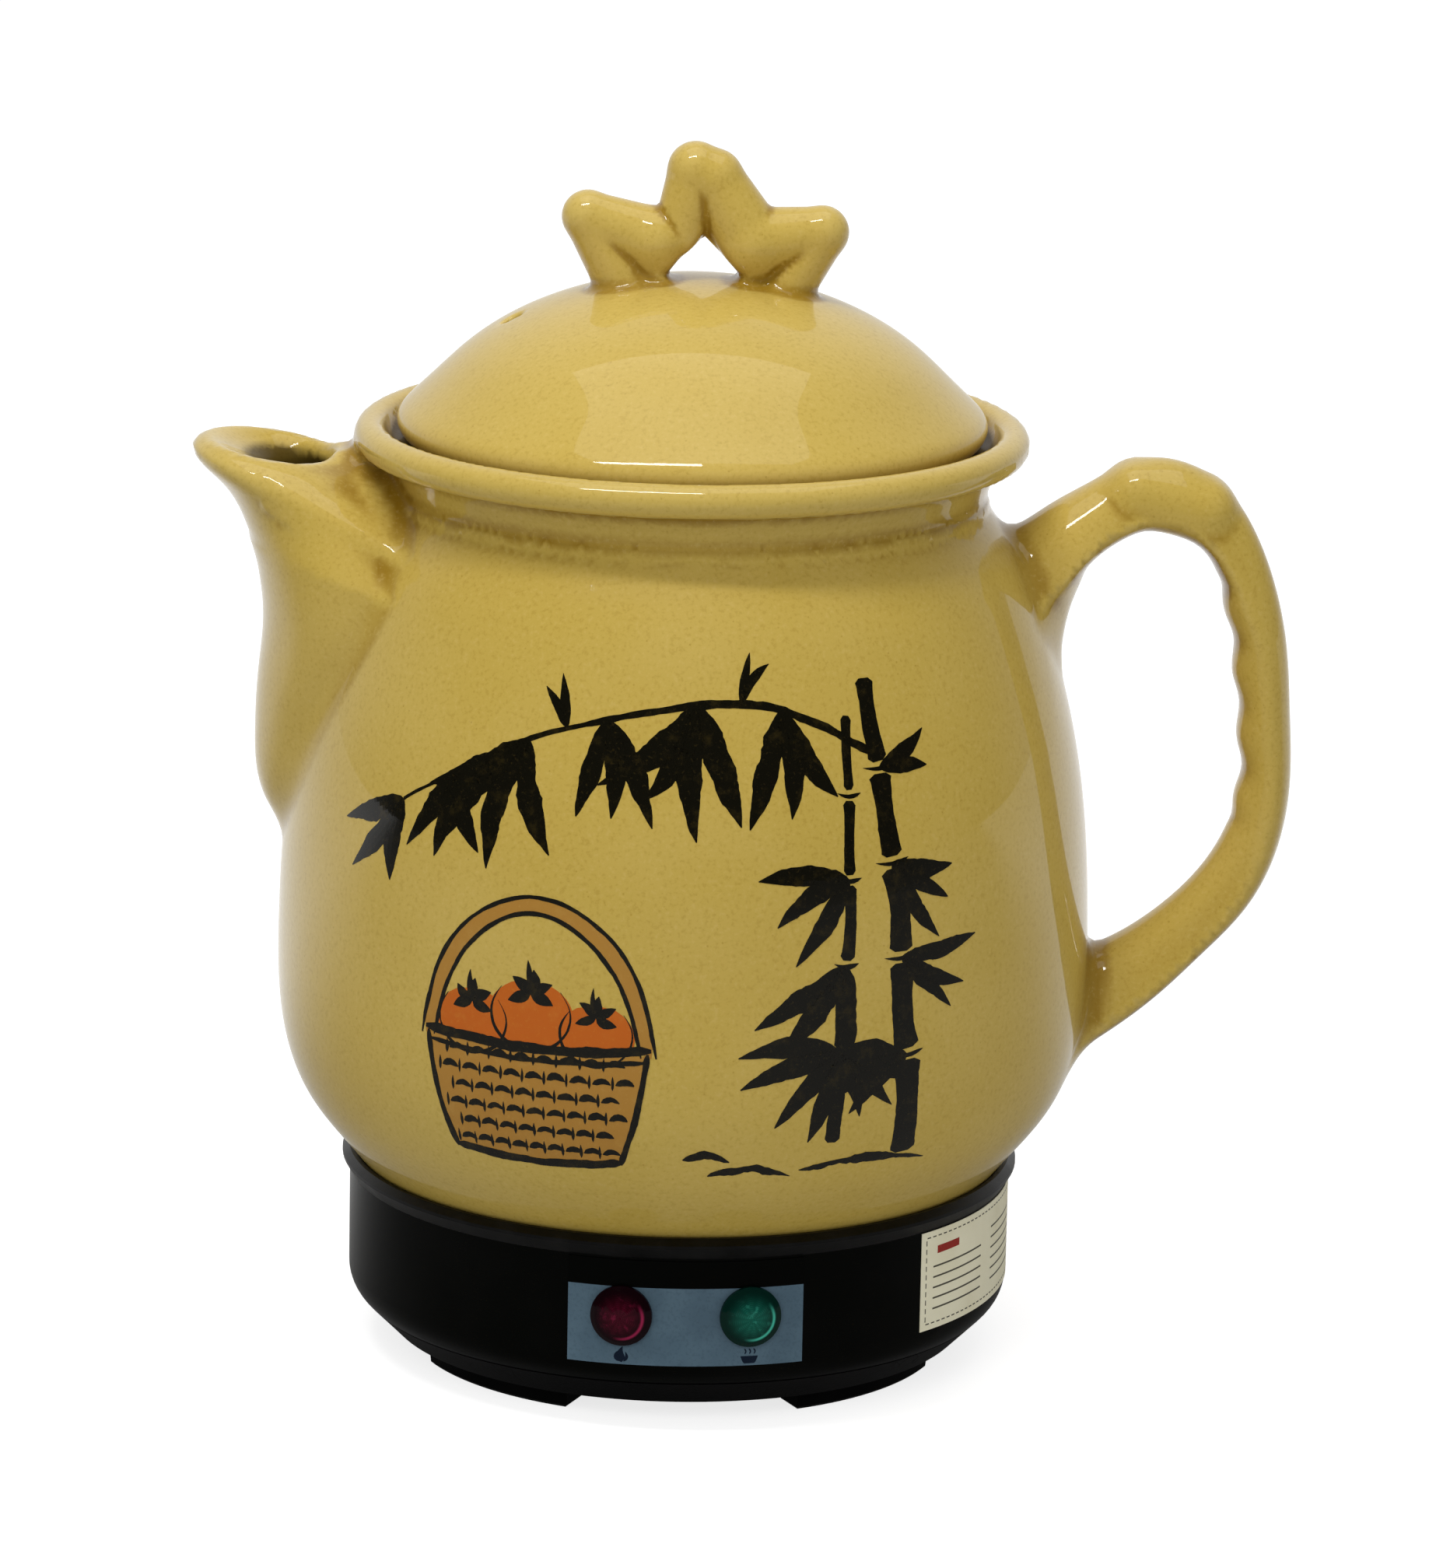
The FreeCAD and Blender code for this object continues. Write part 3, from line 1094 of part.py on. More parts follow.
def make_wires():
    """Insulated wires between inlet, terminal block, element and lamps, run clear of the hot pan."""
    joint = size("wire_joint")
    stub = size("wire_bend") * 1.2
    ring = size("wire_ring")
    low = size(f"{PLATE_TOP} + wire_radius * 2")
    high = low + size("wire_radius") * 4
    block_end = size("block_half_length") + joint
    block_mid = size("(block_inner + block_outer) / 2")
    blade_end = size("blade_back") - joint
    spread = size("blade_spread")
    power_level = size("inlet_height - blade_drop")
    outer = ring + size("wire_lane")
    blade = Vector(spread, blade_end, power_level)
    entry = Vector(block_mid, block_end, low)
    path = [blade, blade - Y_AXIS * stub, Vector(spread, blade_end - stub, low)]
    path += [at(outer, angle, low) for angle in (70, 56, 42, 28)]
    node_from("live_wire", wire(path + [entry + Y_AXIS * stub, entry]))
    blade = Vector(-spread, blade_end, power_level)
    entry = Vector(block_mid, block_end, high)
    path = [blade, blade - Y_AXIS * stub]
    path += [at(ring, angle, high) for angle in (94, 80, 67, 54, 41, 28)]
    node_from("neutral_wire", wire(path + [entry + Y_AXIS * stub, entry]))
    blade = Vector(0, blade_end, size("inlet_height + blade_drop"))
    under = size(f"{RING_UNDER} - wire_radius") - joint
    lug = at(size("stud_circle - washer_radius * 0.9"), 112, under)
    node_from("earth_wire", wire([blade, blade - Y_AXIS * stub, at(outer, 100, blade.z + stub), lug]))
    leads = []
    for sign, side in (("-1", 1), ("1", -1)):
        across, along = element_end(sign)
        pin = Vector(size(across), size(along), size("pin_end") - joint)
        entry = Vector(size("block_inner") - joint, side * size("block_pitch") / 2, low)
        path = [entry, Vector(pin.x, entry.y, low), Vector(pin.x, pin.y, low), pin]
        leads.append(wire(path))
    node_from("element_leads", Part.makeCompound(leads))
    leads = []
    lamp_end = size(f"{LENS_SEAT} - barrel_length") - joint
    lamp_level = size("lamp_height")
    for side, level, angles in ((1, low, (-30, -46, -62)), (-1, high, (-28, -44, -60, -76))):
        entry = Vector(block_mid, -block_end, level)
        lamp_way = -90 + side * size("lamp_angle")
        path = [entry, entry - Y_AXIS * stub]
        path += [at(outer, angle, level) for angle in angles]
        path += [at(lamp_end - stub, lamp_way, lamp_level), at(lamp_end, lamp_way, lamp_level)]
        leads.append(wire(path))
    node_from("lamp_leads", Part.makeCompound(leads))


def wire(path):
    """One insulated wire along a path of corners."""
    return tube(path, size("wire_radius"), size("wire_bend"))


# ------------------------------------------------------------------ ceramic pot

STATIONS = ("toe", "hip", "flank", "belly", "chest", "shoulder", "collar", "neck")


def station(name, inward=0.0, upward=0.0):
    """One station of the pot's outer outline, moved inwards or upwards."""
    return Vector(size(f"{name}_radius") - inward, 0, size(f"{name}_height") + upward)


def outer_curve(grow=0.0):
    """The pot's outer outline from its toe to its neck, grown outwards by a gap."""
    points = [station(name, -grow) for name in STATIONS]
    return through(points, X_AXIS + Z_AXIS, Z_AXIS)


def radius_at(curve, height):
    """Radius of an outline at a height."""
    low, high = curve.ParameterRange
    for _ in range(40):
        middle = (low + high) / 2
        if curve.valueAt(middle).z < height:
            low = middle
        else:
            high = middle
    return curve.valueAt(low).x


def pot_outside(grow=0.0):
    """The turned outer form of the pot without rim, spout or handle, grown by a gap."""
    toe = station("toe", -grow)
    neck = station("neck", -grow)
    axis_low = Vector(0, 0, toe.z)
    axis_high = Vector(0, 0, neck.z)
    return spun([line(axis_low, toe), outer_curve(grow), line(neck, axis_high), line(axis_high, axis_low)])


def rim_solid():
    """Neck flare and rolled rim above the neck station."""
    neck = station("neck")
    centre = Vector(size("rim_radius"), 0, size("rim_height"))
    roll = size("rim_roll")
    seat = size("seat_height")
    under = centre + Vector(-roll * math.sin(math.radians(30)), 0, -roll * math.cos(math.radians(30)))
    outer = centre + Vector(roll, 0, 0)
    top = centre + Vector(0, 0, roll)
    inner = centre + Vector(-roll, 0, 0)
    ledge = Vector(inner.x, 0, seat)
    throat = Vector(size("throat_radius"), 0, seat)
    flare = (neck + under) * 0.5 + Vector(-0.9, 0, 0.6)
    axis_low = Vector(0, 0, neck.z)
    axis_high = Vector(0, 0, seat)
    below = centre + Vector(roll * math.sin(math.radians(25)), 0, -roll * math.cos(math.radians(25)))
    outer_top = centre + Vector(roll, 0, roll).normalize() * roll
    inner_top = centre + Vector(-roll, 0, roll).normalize() * roll
    edges = [
        line(axis_low, neck),
        through([neck, flare, under], Vector(0, 0, 1), Vector(1, 0, 0.577)),
        Part.Arc(under, below, outer).toShape(),
        Part.Arc(outer, outer_top, top).toShape(),
        Part.Arc(top, inner_top, inner).toShape(),
        line(inner, ledge),
        line(ledge, throat),
        line(throat, axis_high),
        line(axis_high, axis_low),
    ]
    return spun(edges)


def pot_inside():
    """The hollow of the pot, up through its throat."""
    wall = size("pot_wall")
    floor = size("pot_floor")
    base = Vector(size("toe_radius") - wall * 2, 0, floor)
    neck = station("neck", wall)
    throat = Vector(size("throat_radius"), 0, size("seat_height"))
    above = Vector(0, 0, throat.z)
    points = [base, station("hip", wall, wall * 0.55)]
    points += [station(name, wall) for name in STATIONS[2:]]
    edges = [
        line(Vector(0, 0, floor), base),
        through(points),
        line(neck, throat),
        line(throat, above),
        line(above, Vector(0, 0, floor)),
    ]
    return spun(edges)


# Sections of the spout: height below the lip, centre inwards from the reach, half length, half width, and the
# slope of the section towards the pot.  The last rows lean outwards and narrow to the mouth, which leaves a
# sloped shoulder down to the neck.
SPOUT_ROWS = (
    (95.6, 42.0, 18.0, 9.0, 0.0),
    (83.6, 41.0, 25.0, 21.0, 0.0),
    (69.6, 39.5, 25.0, 27.5, 0.0),
    (51.6, 39.0, 23.7, 33.5, 0.0),
    (35.6, 42.0, 25.9, 38.0, 0.0),
    (20.6, 45.0, 32.6, 38.0, 0.02),
    (9.0, 30.5, 26.8, 29.0, 0.08),
    (1.6, 19.2, 19.0, 22.4, 0.16),
    (0.0, 18.9, 17.2, 20.4, 0.16),
)


def spout_sections(wall):
    """Ovals up the spout; a wall above zero gives those of its channel."""
    lip = size("spout_lip")
    reach = size("spout_reach")
    widen = size("spout_mouth_half") - SPOUT_ROWS[-2][3]
    wires = []
    for drop, inward, half_length, half_width, slope in SPOUT_ROWS:
        if wall and drop == 0:
            half_length, half_width = SPOUT_ROWS[-2][2:4]
        centre = Vector(inward - reach, 0, lip - drop)
        along = Vector(1, 0, -slope) * (half_length - wall)
        wires.append(oval(centre, along, Y_AXIS * (half_width + widen - wall)))
    return wires


def spout_solid():
    """The outer form of the spout."""
    return Part.makeLoft(spout_sections(0), True, False)


def spout_channel():
    """The hollow of the spout, from its floor up through the mouth, outside the pot's own wall."""
    channel = Part.makeLoft(spout_sections(size("spout_wall")), True, False)
    floor = size("spout_channel_floor")
    reach = size("spout_reach") * 2
    below = Part.makeBox(reach, reach, floor, Vector(-reach, -reach / 2, 0))
    return channel.cut(below).cut(pot_outside())


def strainer_holes():
    """Staggered holes through the pot's wall behind the spout's channel."""
    outline = outer_curve()
    pitch = size("strainer_pitch")
    wall = size("pot_wall")
    holes = []
    for row in range(int(size("strainer_rows"))):
        height = size("strainer_bottom") + row * pitch
        start = radius_at(outline, height) - wall * 1.5
        offsets = (-1, 0, 1) if row % 2 == 0 else (-0.5, 0.5)
        for offset in offsets:
            spot = Vector(-start, offset * pitch, height)
            holes.append(Part.makeCylinder(size("strainer_hole"), wall * 2, spot, -X_AXIS))
    return Part.makeCompound(holes)


# Centre line of the handle in the XZ plane: inward from the reach, height, direction in degrees from +X,
# half thickness, half width beyond the grip's own.
HANDLE_ROWS = (
    (68.0, 186.0, 32, 11.0, 2.0),
    (56.0, 200.5, 38, 8.2, 1.0),
    (46.0, 207.3, 26, 7.5, 0.5),
    (35.5, 211.6, 4, 8.5, 1.0),
    (24.5, 208.4, -32, 8.0, 0.5),
    (16.2, 199.5, -56, 6.3, 0.0),
    (11.6, 188.5, -74, 6.2, 0.0),
    (8.6, 175.0, -82, 6.9, 0.0),
    (6.9, 158.0, -88, 6.4, 0.0),
    (6.2, 141.0, -95, 6.0, 0.0),
    (8.6, 127.5, -107, 6.6, 0.0),
    (15.0, 114.8, -125, 7.2, 0.0),
    (25.0, 104.0, -136, 7.4, 0.5),
    (37.5, 93.8, -144, 8.6, 1.0),
    (57.0, 83.2, -152, 11.2, 2.5),
)


def handle_solid():
    """Loop handle, lofted through ovals square to its centre line."""
    reach = size("handle_reach")
    grip = size("handle_half_width")
    wires = []
    for inward, height, way, half_thickness, extra in HANDLE_ROWS:
        turn = math.radians(way)
        across = Vector(-math.sin(turn), 0, math.cos(turn))
        centre = Vector(reach - inward, 0, height)
        wires.append(oval(centre, across * half_thickness, Y_AXIS * (grip + extra)))
    return Part.makeLoft(wires, True, False)


def foot_recesses():
    """The round recess for the heater plate and the sockets of the anchor studs, in the jug's foot."""
    foot = size("toe_height")
    cuts = [Part.makeCylinder(size("recess_radius"), size("heater_thickness + recess_gap"), Z_AXIS * foot)]
    for index in range(int(size("stud_count"))):
        spot = at(size("stud_circle"), FULL_TURN / size("stud_count") * index, foot)
        cuts.append(Part.makeCylinder(size("stud_radius + stud_cement"), size("stud_depth + stud_cement"), spot))
    return cuts


def slice_between(shape, low, high):
    """The part of a turned shape between two heights."""
    reach = size("belly_radius") * 4
    return shape.common(Part.makeBox(reach, reach, high - low, Vector(-reach / 2, -reach / 2, low)))


def make_ceramic_jug():
    """Turned jug, as its thick foot, its wall with the strainer holes, and its neck with the rolled rim."""
    outside = pot_outside().fuse(rim_solid())
    hollow = [pot_inside(), strainer_holes()] + foot_recesses()
    jug = outside.cut(hollow).removeSplitter()
    foot_joint = size("foot_joint")
    neck_joint = size("collar_height")
    node_from("ceramic_foot", slice_between(jug, 0, foot_joint))
    node_from("ceramic_wall", slice_between(jug, foot_joint, neck_joint))
    node_from("ceramic_rim", slice_between(jug, neck_joint, size("lid_top")))


def make_ceramic_spout():
    """Beak spout, luted on over the strainer holes."""
    spout = spout_solid().cut([pot_outside(), rim_solid(), spout_channel()])
    node_from("ceramic_spout", biggest(spout))


def make_ceramic_handle():
    """Loop handle, luted on at both ends."""
    node_from("ceramic_handle", biggest(handle_solid().cut([pot_outside(), rim_solid()])))


# ------------------------------------------------------------------ ceramic lid


LID_STATIONS = ("crown", "brow", "waist", "flare")


def lid_outside():
    """The lid's outer form, solid to its axis: dome, flared edge and locating skirt."""
    seat = size("seat_height + seat_gap")
    top = Vector(0, 0, size("lid_top"))
    edge = Vector(size("lid_radius"), 0, size("lid_edge_height"))
    under = Vector(edge.x - size("lid_edge_round"), 0, seat)
    skirt_high = Vector(size("skirt_radius"), 0, seat)
    skirt_low = skirt_high - Z_AXIS * size("skirt_drop")
    axis_low = Vector(0, 0, skirt_low.z)
    points = [top] + [station(name) for name in LID_STATIONS] + [edge]
    return spun([
        line(axis_low, skirt_low),
        line(skirt_low, skirt_high),
        line(skirt_high, under),
        through([under, edge], X_AXIS, Z_AXIS),
        through(points, X_AXIS, -Z_AXIS),
        line(top, axis_low),
    ])


def lid_hollow():
    """The room inside skirt and dome."""
    inner = size("skirt_radius - skirt_wall")
    low = Vector(0, 0, size("seat_height - skirt_drop"))
    base = size("hollow_base")
    rise = size("lid_top - lid_wall") - base
    turns = [math.radians(angle) for angle in (0, 22, 45, 68, 90)]
    points = [Vector(inner * math.cos(turn), 0, base + rise * math.sin(turn)) for turn in turns]
    return spun([
        line(low, low + X_AXIS * inner),
        line(low + X_AXIS * inner, points[0]),
        through(points, Z_AXIS, -X_AXIS),
        line(points[-1], low),
    ])


# Joints of the knob's bar: place along X from its middle, height below its top, thickness against the crown's.
KNOB_SPOTS = {
    "left_foot": (-20.9, 39.6, 0.84),
    "left_heel": (-14.6, 38.6, 0.86),
    "left_elbow": (-28.2, 17.5, 0.92),
    "left_dip": (-9.8, 24.2, 0.98),
    "crown_left": (-2.0, 6.0, 0.98),
    "crown_right": (1.6, 7.4, 1.06),
    "right_dip": (10.9, 23.6, 1.1),
    "right_elbow": (28.5, 21.0, 0.92),
    "right_foot": (20.8, 39.6, 0.84),
    "right_heel": (13.6, 38.6, 0.86),
}
KNOB_BARS = (
    ("left_foot", "left_elbow"),
    ("left_elbow", "left_dip"),
    ("left_dip", "crown_left"),
    ("crown_left", "crown_right"),
    ("crown_right", "right_dip"),
    ("right_dip", "right_elbow"),
    ("right_elbow", "right_foot"),
    ("left_heel", "left_dip"),
    ("right_heel", "right_dip"),
)
KNOB_WEBS = (
    ("left_foot", "left_elbow", "left_dip", "left_heel"),
    ("right_foot", "right_elbow", "right_dip", "right_heel"),
    ("left_heel", "left_dip", "crown_left", "crown_right", "right_dip", "right_heel"),
)


def knob_solid():
    """Zigzag handhold: one bent bar with three elbows, standing on two feet, webbed where it folds."""
    shift = size("knob_shift")
    top = size("knob_top")
    radius = size("knob_tube")
    web = size("knob_web * knob_tube / knob_depth")
    spots = {name: Vector(shift + along, 0, top - drop) for name, (along, drop, _) in KNOB_SPOTS.items()}
    pieces = []
    for start, end in KNOB_BARS:
        pieces.append(limb(spots[start], spots[end], radius * KNOB_SPOTS[start][2], radius * KNOB_SPOTS[end][2]))
    for names in KNOB_WEBS:
        corners = [spots[name] - Y_AXIS * web for name in names]
        sheet_face = Part.Face(Part.makePolygon(corners + corners[:1]))
        pieces.append(sheet_face.extrude(Y_AXIS * web * 2))
    gap = knob_gap(spots, radius)
    deepen = Matrix()
    deepen.scale(1, size("knob_depth / knob_tube"), 1)
    return pieces[0].fuse(pieces[1:]).cut(gap).removeSplitter().transformGeometry(deepen)


def knob_gap(spots, radius):
    """The opening under the crown, between the two folds of the bar."""
    middle = (spots["left_dip"] + spots["right_dip"]) * 0.5
    feet = (spots["left_heel"] + spots["right_heel"]) * 0.5
    half_foot = (spots["right_heel"] - spots["left_heel"]).Length / 2 - radius * 0.9
    peak = middle + Z_AXIS * radius * 0.15
    knee = Vector(feet.x, 0, (peak.z + feet.z) / 2)
    corners = [peak, knee + X_AXIS * half_foot, feet + X_AXIS * half_foot]
    corners += [feet - X_AXIS * half_foot, knee - X_AXIS * half_foot, peak]
    return Part.Face(Part.makePolygon(corners)).extrude(Y_AXIS * radius * 4).translated(-Y_AXIS * radius * 2)


def make_ceramic_lid():
    """Domed lid with its handhold and steam hole, fired in one piece."""
    place = Vector(size("vent_place"), 0, size("hollow_base"))
    steam = Part.makeCylinder(size("vent_hole"), size("knob_top - hollow_base"), place)
    outside = lid_outside().fuse(knob_solid())
    node_from("ceramic_lid", outside.cut([lid_hollow(), steam]).removeSplitter())


# ------------------------------------------------------------------ build, check and write

make_base_housing()
make_base_plate()
make_seal_ring()
make_base_screws()
make_support_ring()
make_fixings()
make_heater_plate()
make_heating_element()
make_heat_shield()
make_thermostat("boil_thermostat", -1)
make_thermostat("keep_warm_thermostat", 1)
make_small_screws()
make_thermal_fuse()
make_lamps()
make_films()
make_inlet_socket()
make_inlet_contacts()
make_inlet_screws()
make_terminal_block()
make_wires()
make_ceramic_jug()
make_ceramic_spout()
make_ceramic_handle()
make_ceramic_lid()
doc.recompute()

faults = [item.Name for item in doc.Objects if {"Invalid", "Error"} & set(item.State)]
faults += [node.Label for node in nodes if node.Shape.isNull() or not node.Shape.isValid()]
if faults:
    raise ValueError(f"these objects failed: {faults}")

os.makedirs("parts", exist_ok=True)
for node in nodes:
    node.Shape.exportStep(os.path.join("parts", f"{node.Label}.step"))
    print(f"{node.Label}: {len(node.Shape.Solids)} solids, {node.Shape.Volume:.0f} mm3")
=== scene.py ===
import logging
import math
from dataclasses import dataclass, field
from enum import Enum
from functools import cache
from itertools import product
from typing import Any, Callable, Protocol, Sequence

import bpy
import numpy as np
from mathutils import Matrix, Vector


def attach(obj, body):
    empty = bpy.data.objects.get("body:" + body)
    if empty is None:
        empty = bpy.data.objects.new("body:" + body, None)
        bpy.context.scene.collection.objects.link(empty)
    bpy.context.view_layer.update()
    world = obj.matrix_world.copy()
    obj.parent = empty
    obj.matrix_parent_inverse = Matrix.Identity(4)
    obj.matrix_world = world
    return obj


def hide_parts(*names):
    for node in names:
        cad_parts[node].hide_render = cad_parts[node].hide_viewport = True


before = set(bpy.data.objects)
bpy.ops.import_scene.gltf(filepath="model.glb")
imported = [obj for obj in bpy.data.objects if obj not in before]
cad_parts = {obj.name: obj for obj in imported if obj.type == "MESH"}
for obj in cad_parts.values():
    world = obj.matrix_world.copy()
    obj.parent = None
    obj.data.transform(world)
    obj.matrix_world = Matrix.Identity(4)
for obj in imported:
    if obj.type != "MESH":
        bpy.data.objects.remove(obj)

log = logging.getLogger("herb_pot")

MM = 0.001
POT_BODY = "pot_and_base"
LID_BODY = "lid"

Colour = tuple[float, float, float, float]
Pair = tuple[float, float]
Spot = tuple[float, float, float]
Rows = tuple[tuple[float, ...], ...]


def tone(red: int, green: int, blue: int) -> Colour:
    """Linear colour of a display colour.

    Args:
        red: red share, 0 to 255.
        green: green share, 0 to 255.
        blue: blue share, 0 to 255.

    Returns:
        The colour as shaders take it, with full alpha.
    """
    shares = [part / 255 for part in (red, green, blue)]
    linear = [((part + 0.055) / 1.055) ** 2.4 if part > 0.04045 else part / 12.92 for part in shares]
    return (*linear, 1.0)


# ---------------------------------------------------------------- node trees


class Amount:
    """A number on a node's output that Python sums can use."""

    def __init__(self, graph: "Graph", socket: bpy.types.NodeSocket) -> None:
        """Keep the tree and the socket."""
        self.graph = graph
        self.socket = socket

    def __add__(self, other: "Amount | float") -> "Amount":
        """Sum."""
        return self.graph.math("ADD", self, other)

    def __radd__(self, other: float) -> "Amount":
        """Sum with the number first."""
        return self.graph.math("ADD", other, self)

    def __sub__(self, other: "Amount | float") -> "Amount":
        """Difference."""
        return self.graph.math("SUBTRACT", self, other)

    def __rsub__(self, other: float) -> "Amount":
        """Difference with the number first."""
        return self.graph.math("SUBTRACT", other, self)

    def __mul__(self, other: "Amount | float") -> "Amount":
        """Product."""
        return self.graph.math("MULTIPLY", self, other)

    def __rmul__(self, other: float) -> "Amount":
        """Product with the number first."""
        return self.graph.math("MULTIPLY", other, self)

    def __pow__(self, other: "Amount | float") -> "Amount":
        """Power."""
        return self.graph.math("POWER", self, other)

    def __rpow__(self, other: float) -> "Amount":
        """Power of a number."""
        return self.graph.math("POWER", other, self)

    def __gt__(self, other: "Amount | float") -> "Amount":
        """One where this is the greater, else zero."""
        return self.graph.math("GREATER_THAN", self, other)

    def __lt__(self, other: "Amount | float") -> "Amount":
        """One where this is the smaller, else zero; Python asks for it when the number comes first."""
        return self.graph.math("LESS_THAN", self, other)

    def wave(self) -> "Amount":
        """Its sine."""
        return self.graph.math("SINE", self)

    def cosine(self) -> "Amount":
        """Its cosine."""
        return self.graph.math("COSINE", self)

    def size(self) -> "Amount":
        """Its absolute value."""
        return self.graph.math("ABSOLUTE", self)

    def most(self, other: "Amount | float") -> "Amount":
        """The greater of the two."""
        return self.graph.math("MAXIMUM", self, other)

    def eased(self, low: float, high: float) -> "Amount":
        """A smooth step from 0 at low to 1 at high."""
        return self.graph.eased(self, low, high)


class Graph:
    """A node tree that is written one node at a time."""

    def __init__(self, tree: bpy.types.NodeTree, prefix: str) -> None:
        """Keep the tree and the prefix of its node types."""
        self.tree = tree
        self.prefix = prefix

    def node(
        self, kind: str, settings: dict[str, Any] | None = None, values: dict[Any, Any] | None = None
    ) -> bpy.types.Node:
        """Add a node.

        Args:
            kind: node type without its prefix; one that starts with a colon is used whole.
            settings: properties, set before the values.
            values: numbers, colours or links by socket name or index.

        Returns:
            The node.
        """
        made = self.tree.nodes.new(kind[1:] if kind.startswith(":") else self.prefix + kind)
        for key, value in (settings or {}).items():
            setattr(made, key, value)
        for key, value in (values or {}).items():
            link = value.socket if isinstance(value, Amount) else value
            if isinstance(link, bpy.types.NodeSocket):
                self.tree.links.new(link, made.inputs[key])
            else:
                made.inputs[key].default_value = link
        return made

    def math(self, operation: str, *parts: "Amount | float") -> Amount:
        """Add a Math node and give its result."""
        made = self.node(":ShaderNodeMath", {"operation": operation}, dict(enumerate(parts)))
        return Amount(self, made.outputs[0])

    def eased(self, part: Amount, low: float, high: float) -> Amount:
        """A smooth step of a value.

        Args:
            part: the value.
            low: where the step starts, at 0.
            high: where it ends, at 1.

        Returns:
            The step.
        """
        settings = {"interpolation_type": "SMOOTHSTEP"}
        values = {"Value": part, "From Min": low, "From Max": high}
        return Amount(self, self.node(":ShaderNodeMapRange", settings, values).outputs[0])


class Recipe(Graph):
    """The node tree of one finish."""

    def __init__(self, name: str) -> None:
        """Start an empty material.

        Args:
            name: the material's name.
        """
        self.material = bpy.data.materials.new(name)
        self.material.use_nodes = True
        super().__init__(self.material.node_tree, "ShaderNode")
        self.tree.nodes.clear()
        self.place = self.node("TexCoord").outputs["Object"]

    def axes(self) -> tuple[Amount, Amount, Amount]:
        """The place on the object along X, Y and Z, in metres."""
        parts = self.node("SeparateXYZ", values={0: self.place}).outputs
        return Amount(self, parts[0]), Amount(self, parts[1]), Amount(self, parts[2])

    def attribute(self, name: str) -> Amount:
        """A number stored on the mesh."""
        return Amount(self, self.node("Attribute", {"attribute_name": name}).outputs["Fac"])

    def stretched(self, along: Spot) -> bpy.types.NodeSocket:
        """The place with each axis multiplied."""
        return self.node("Mapping", values={"Vector": self.place, "Scale": along}).outputs[0]

    def noise(
        self, grain: float, detail: float = 2.0, rough: float = 0.5,
        where: "bpy.types.NodeSocket | None" = None,
    ) -> Amount:
        """Soft noise.

        Args:
            grain: size of its patches, in metres.
            detail: octaves.
            rough: share of the finer octaves.
            where: place to read it at, the object's own if left out.

        Returns:
            A value round one half.
        """
        values = {"Vector": where or self.place, "Scale": 1 / grain, "Detail": detail, "Roughness": rough}
        return Amount(self, self.node("TexNoise", values=values).outputs[0])

    def cells(self, grain: float, feature: str = "F1") -> Amount:
        """Distance to the nearest of many scattered points, in cells of that size in metres."""
        values = {"Vector": self.place, "Scale": 1 / grain}
        return Amount(self, self.node("TexVoronoi", {"feature": feature}, values).outputs["Distance"])

    def mixed(
        self, share: "Amount | float", low: "Colour | bpy.types.NodeSocket",
        high: "Colour | bpy.types.NodeSocket", way: str = "MIX",
    ) -> bpy.types.NodeSocket:
        """A colour between two."""
        settings = {"data_type": "RGBA", "blend_type": way}
        return self.node("Mix", settings, {0: share, 6: low, 7: high}).outputs[2]

    def relief(
        self, height: Amount, depth: float, under: "bpy.types.NodeSocket | None" = None
    ) -> bpy.types.NodeSocket:
        """A normal for a relief.

        Args:
            height: the relief, between 0 and 1.
            depth: what 1 stands for, in metres.
            under: normal that it lies on, the surface's own if left out.

        Returns:
            The normal.
        """
        values = {"Height": height, "Distance": depth, "Strength": 1.0}
        if under is not None:
            values["Normal"] = under
        return self.node("Bump", values=values).outputs[0]

    def finish(self, **values: Any) -> bpy.types.Material:
        """Close the recipe with a Principled shader.

        Args:
            values: socket values, with underscores for spaces in the sockets' names.

        Returns:
            The material.
        """
        named = {key.replace("_", " "): value for key, value in values.items()}
        shader = self.node("BsdfPrincipled", values=named)
        self.node("OutputMaterial", values={"Surface": shader.outputs[0]})
        return self.material


# ---------------------------------------------------------------- finishes


class Finish(Protocol):
    """What every finish has."""

    name: str

    def make(self) -> bpy.types.Material:
        """Make its material."""


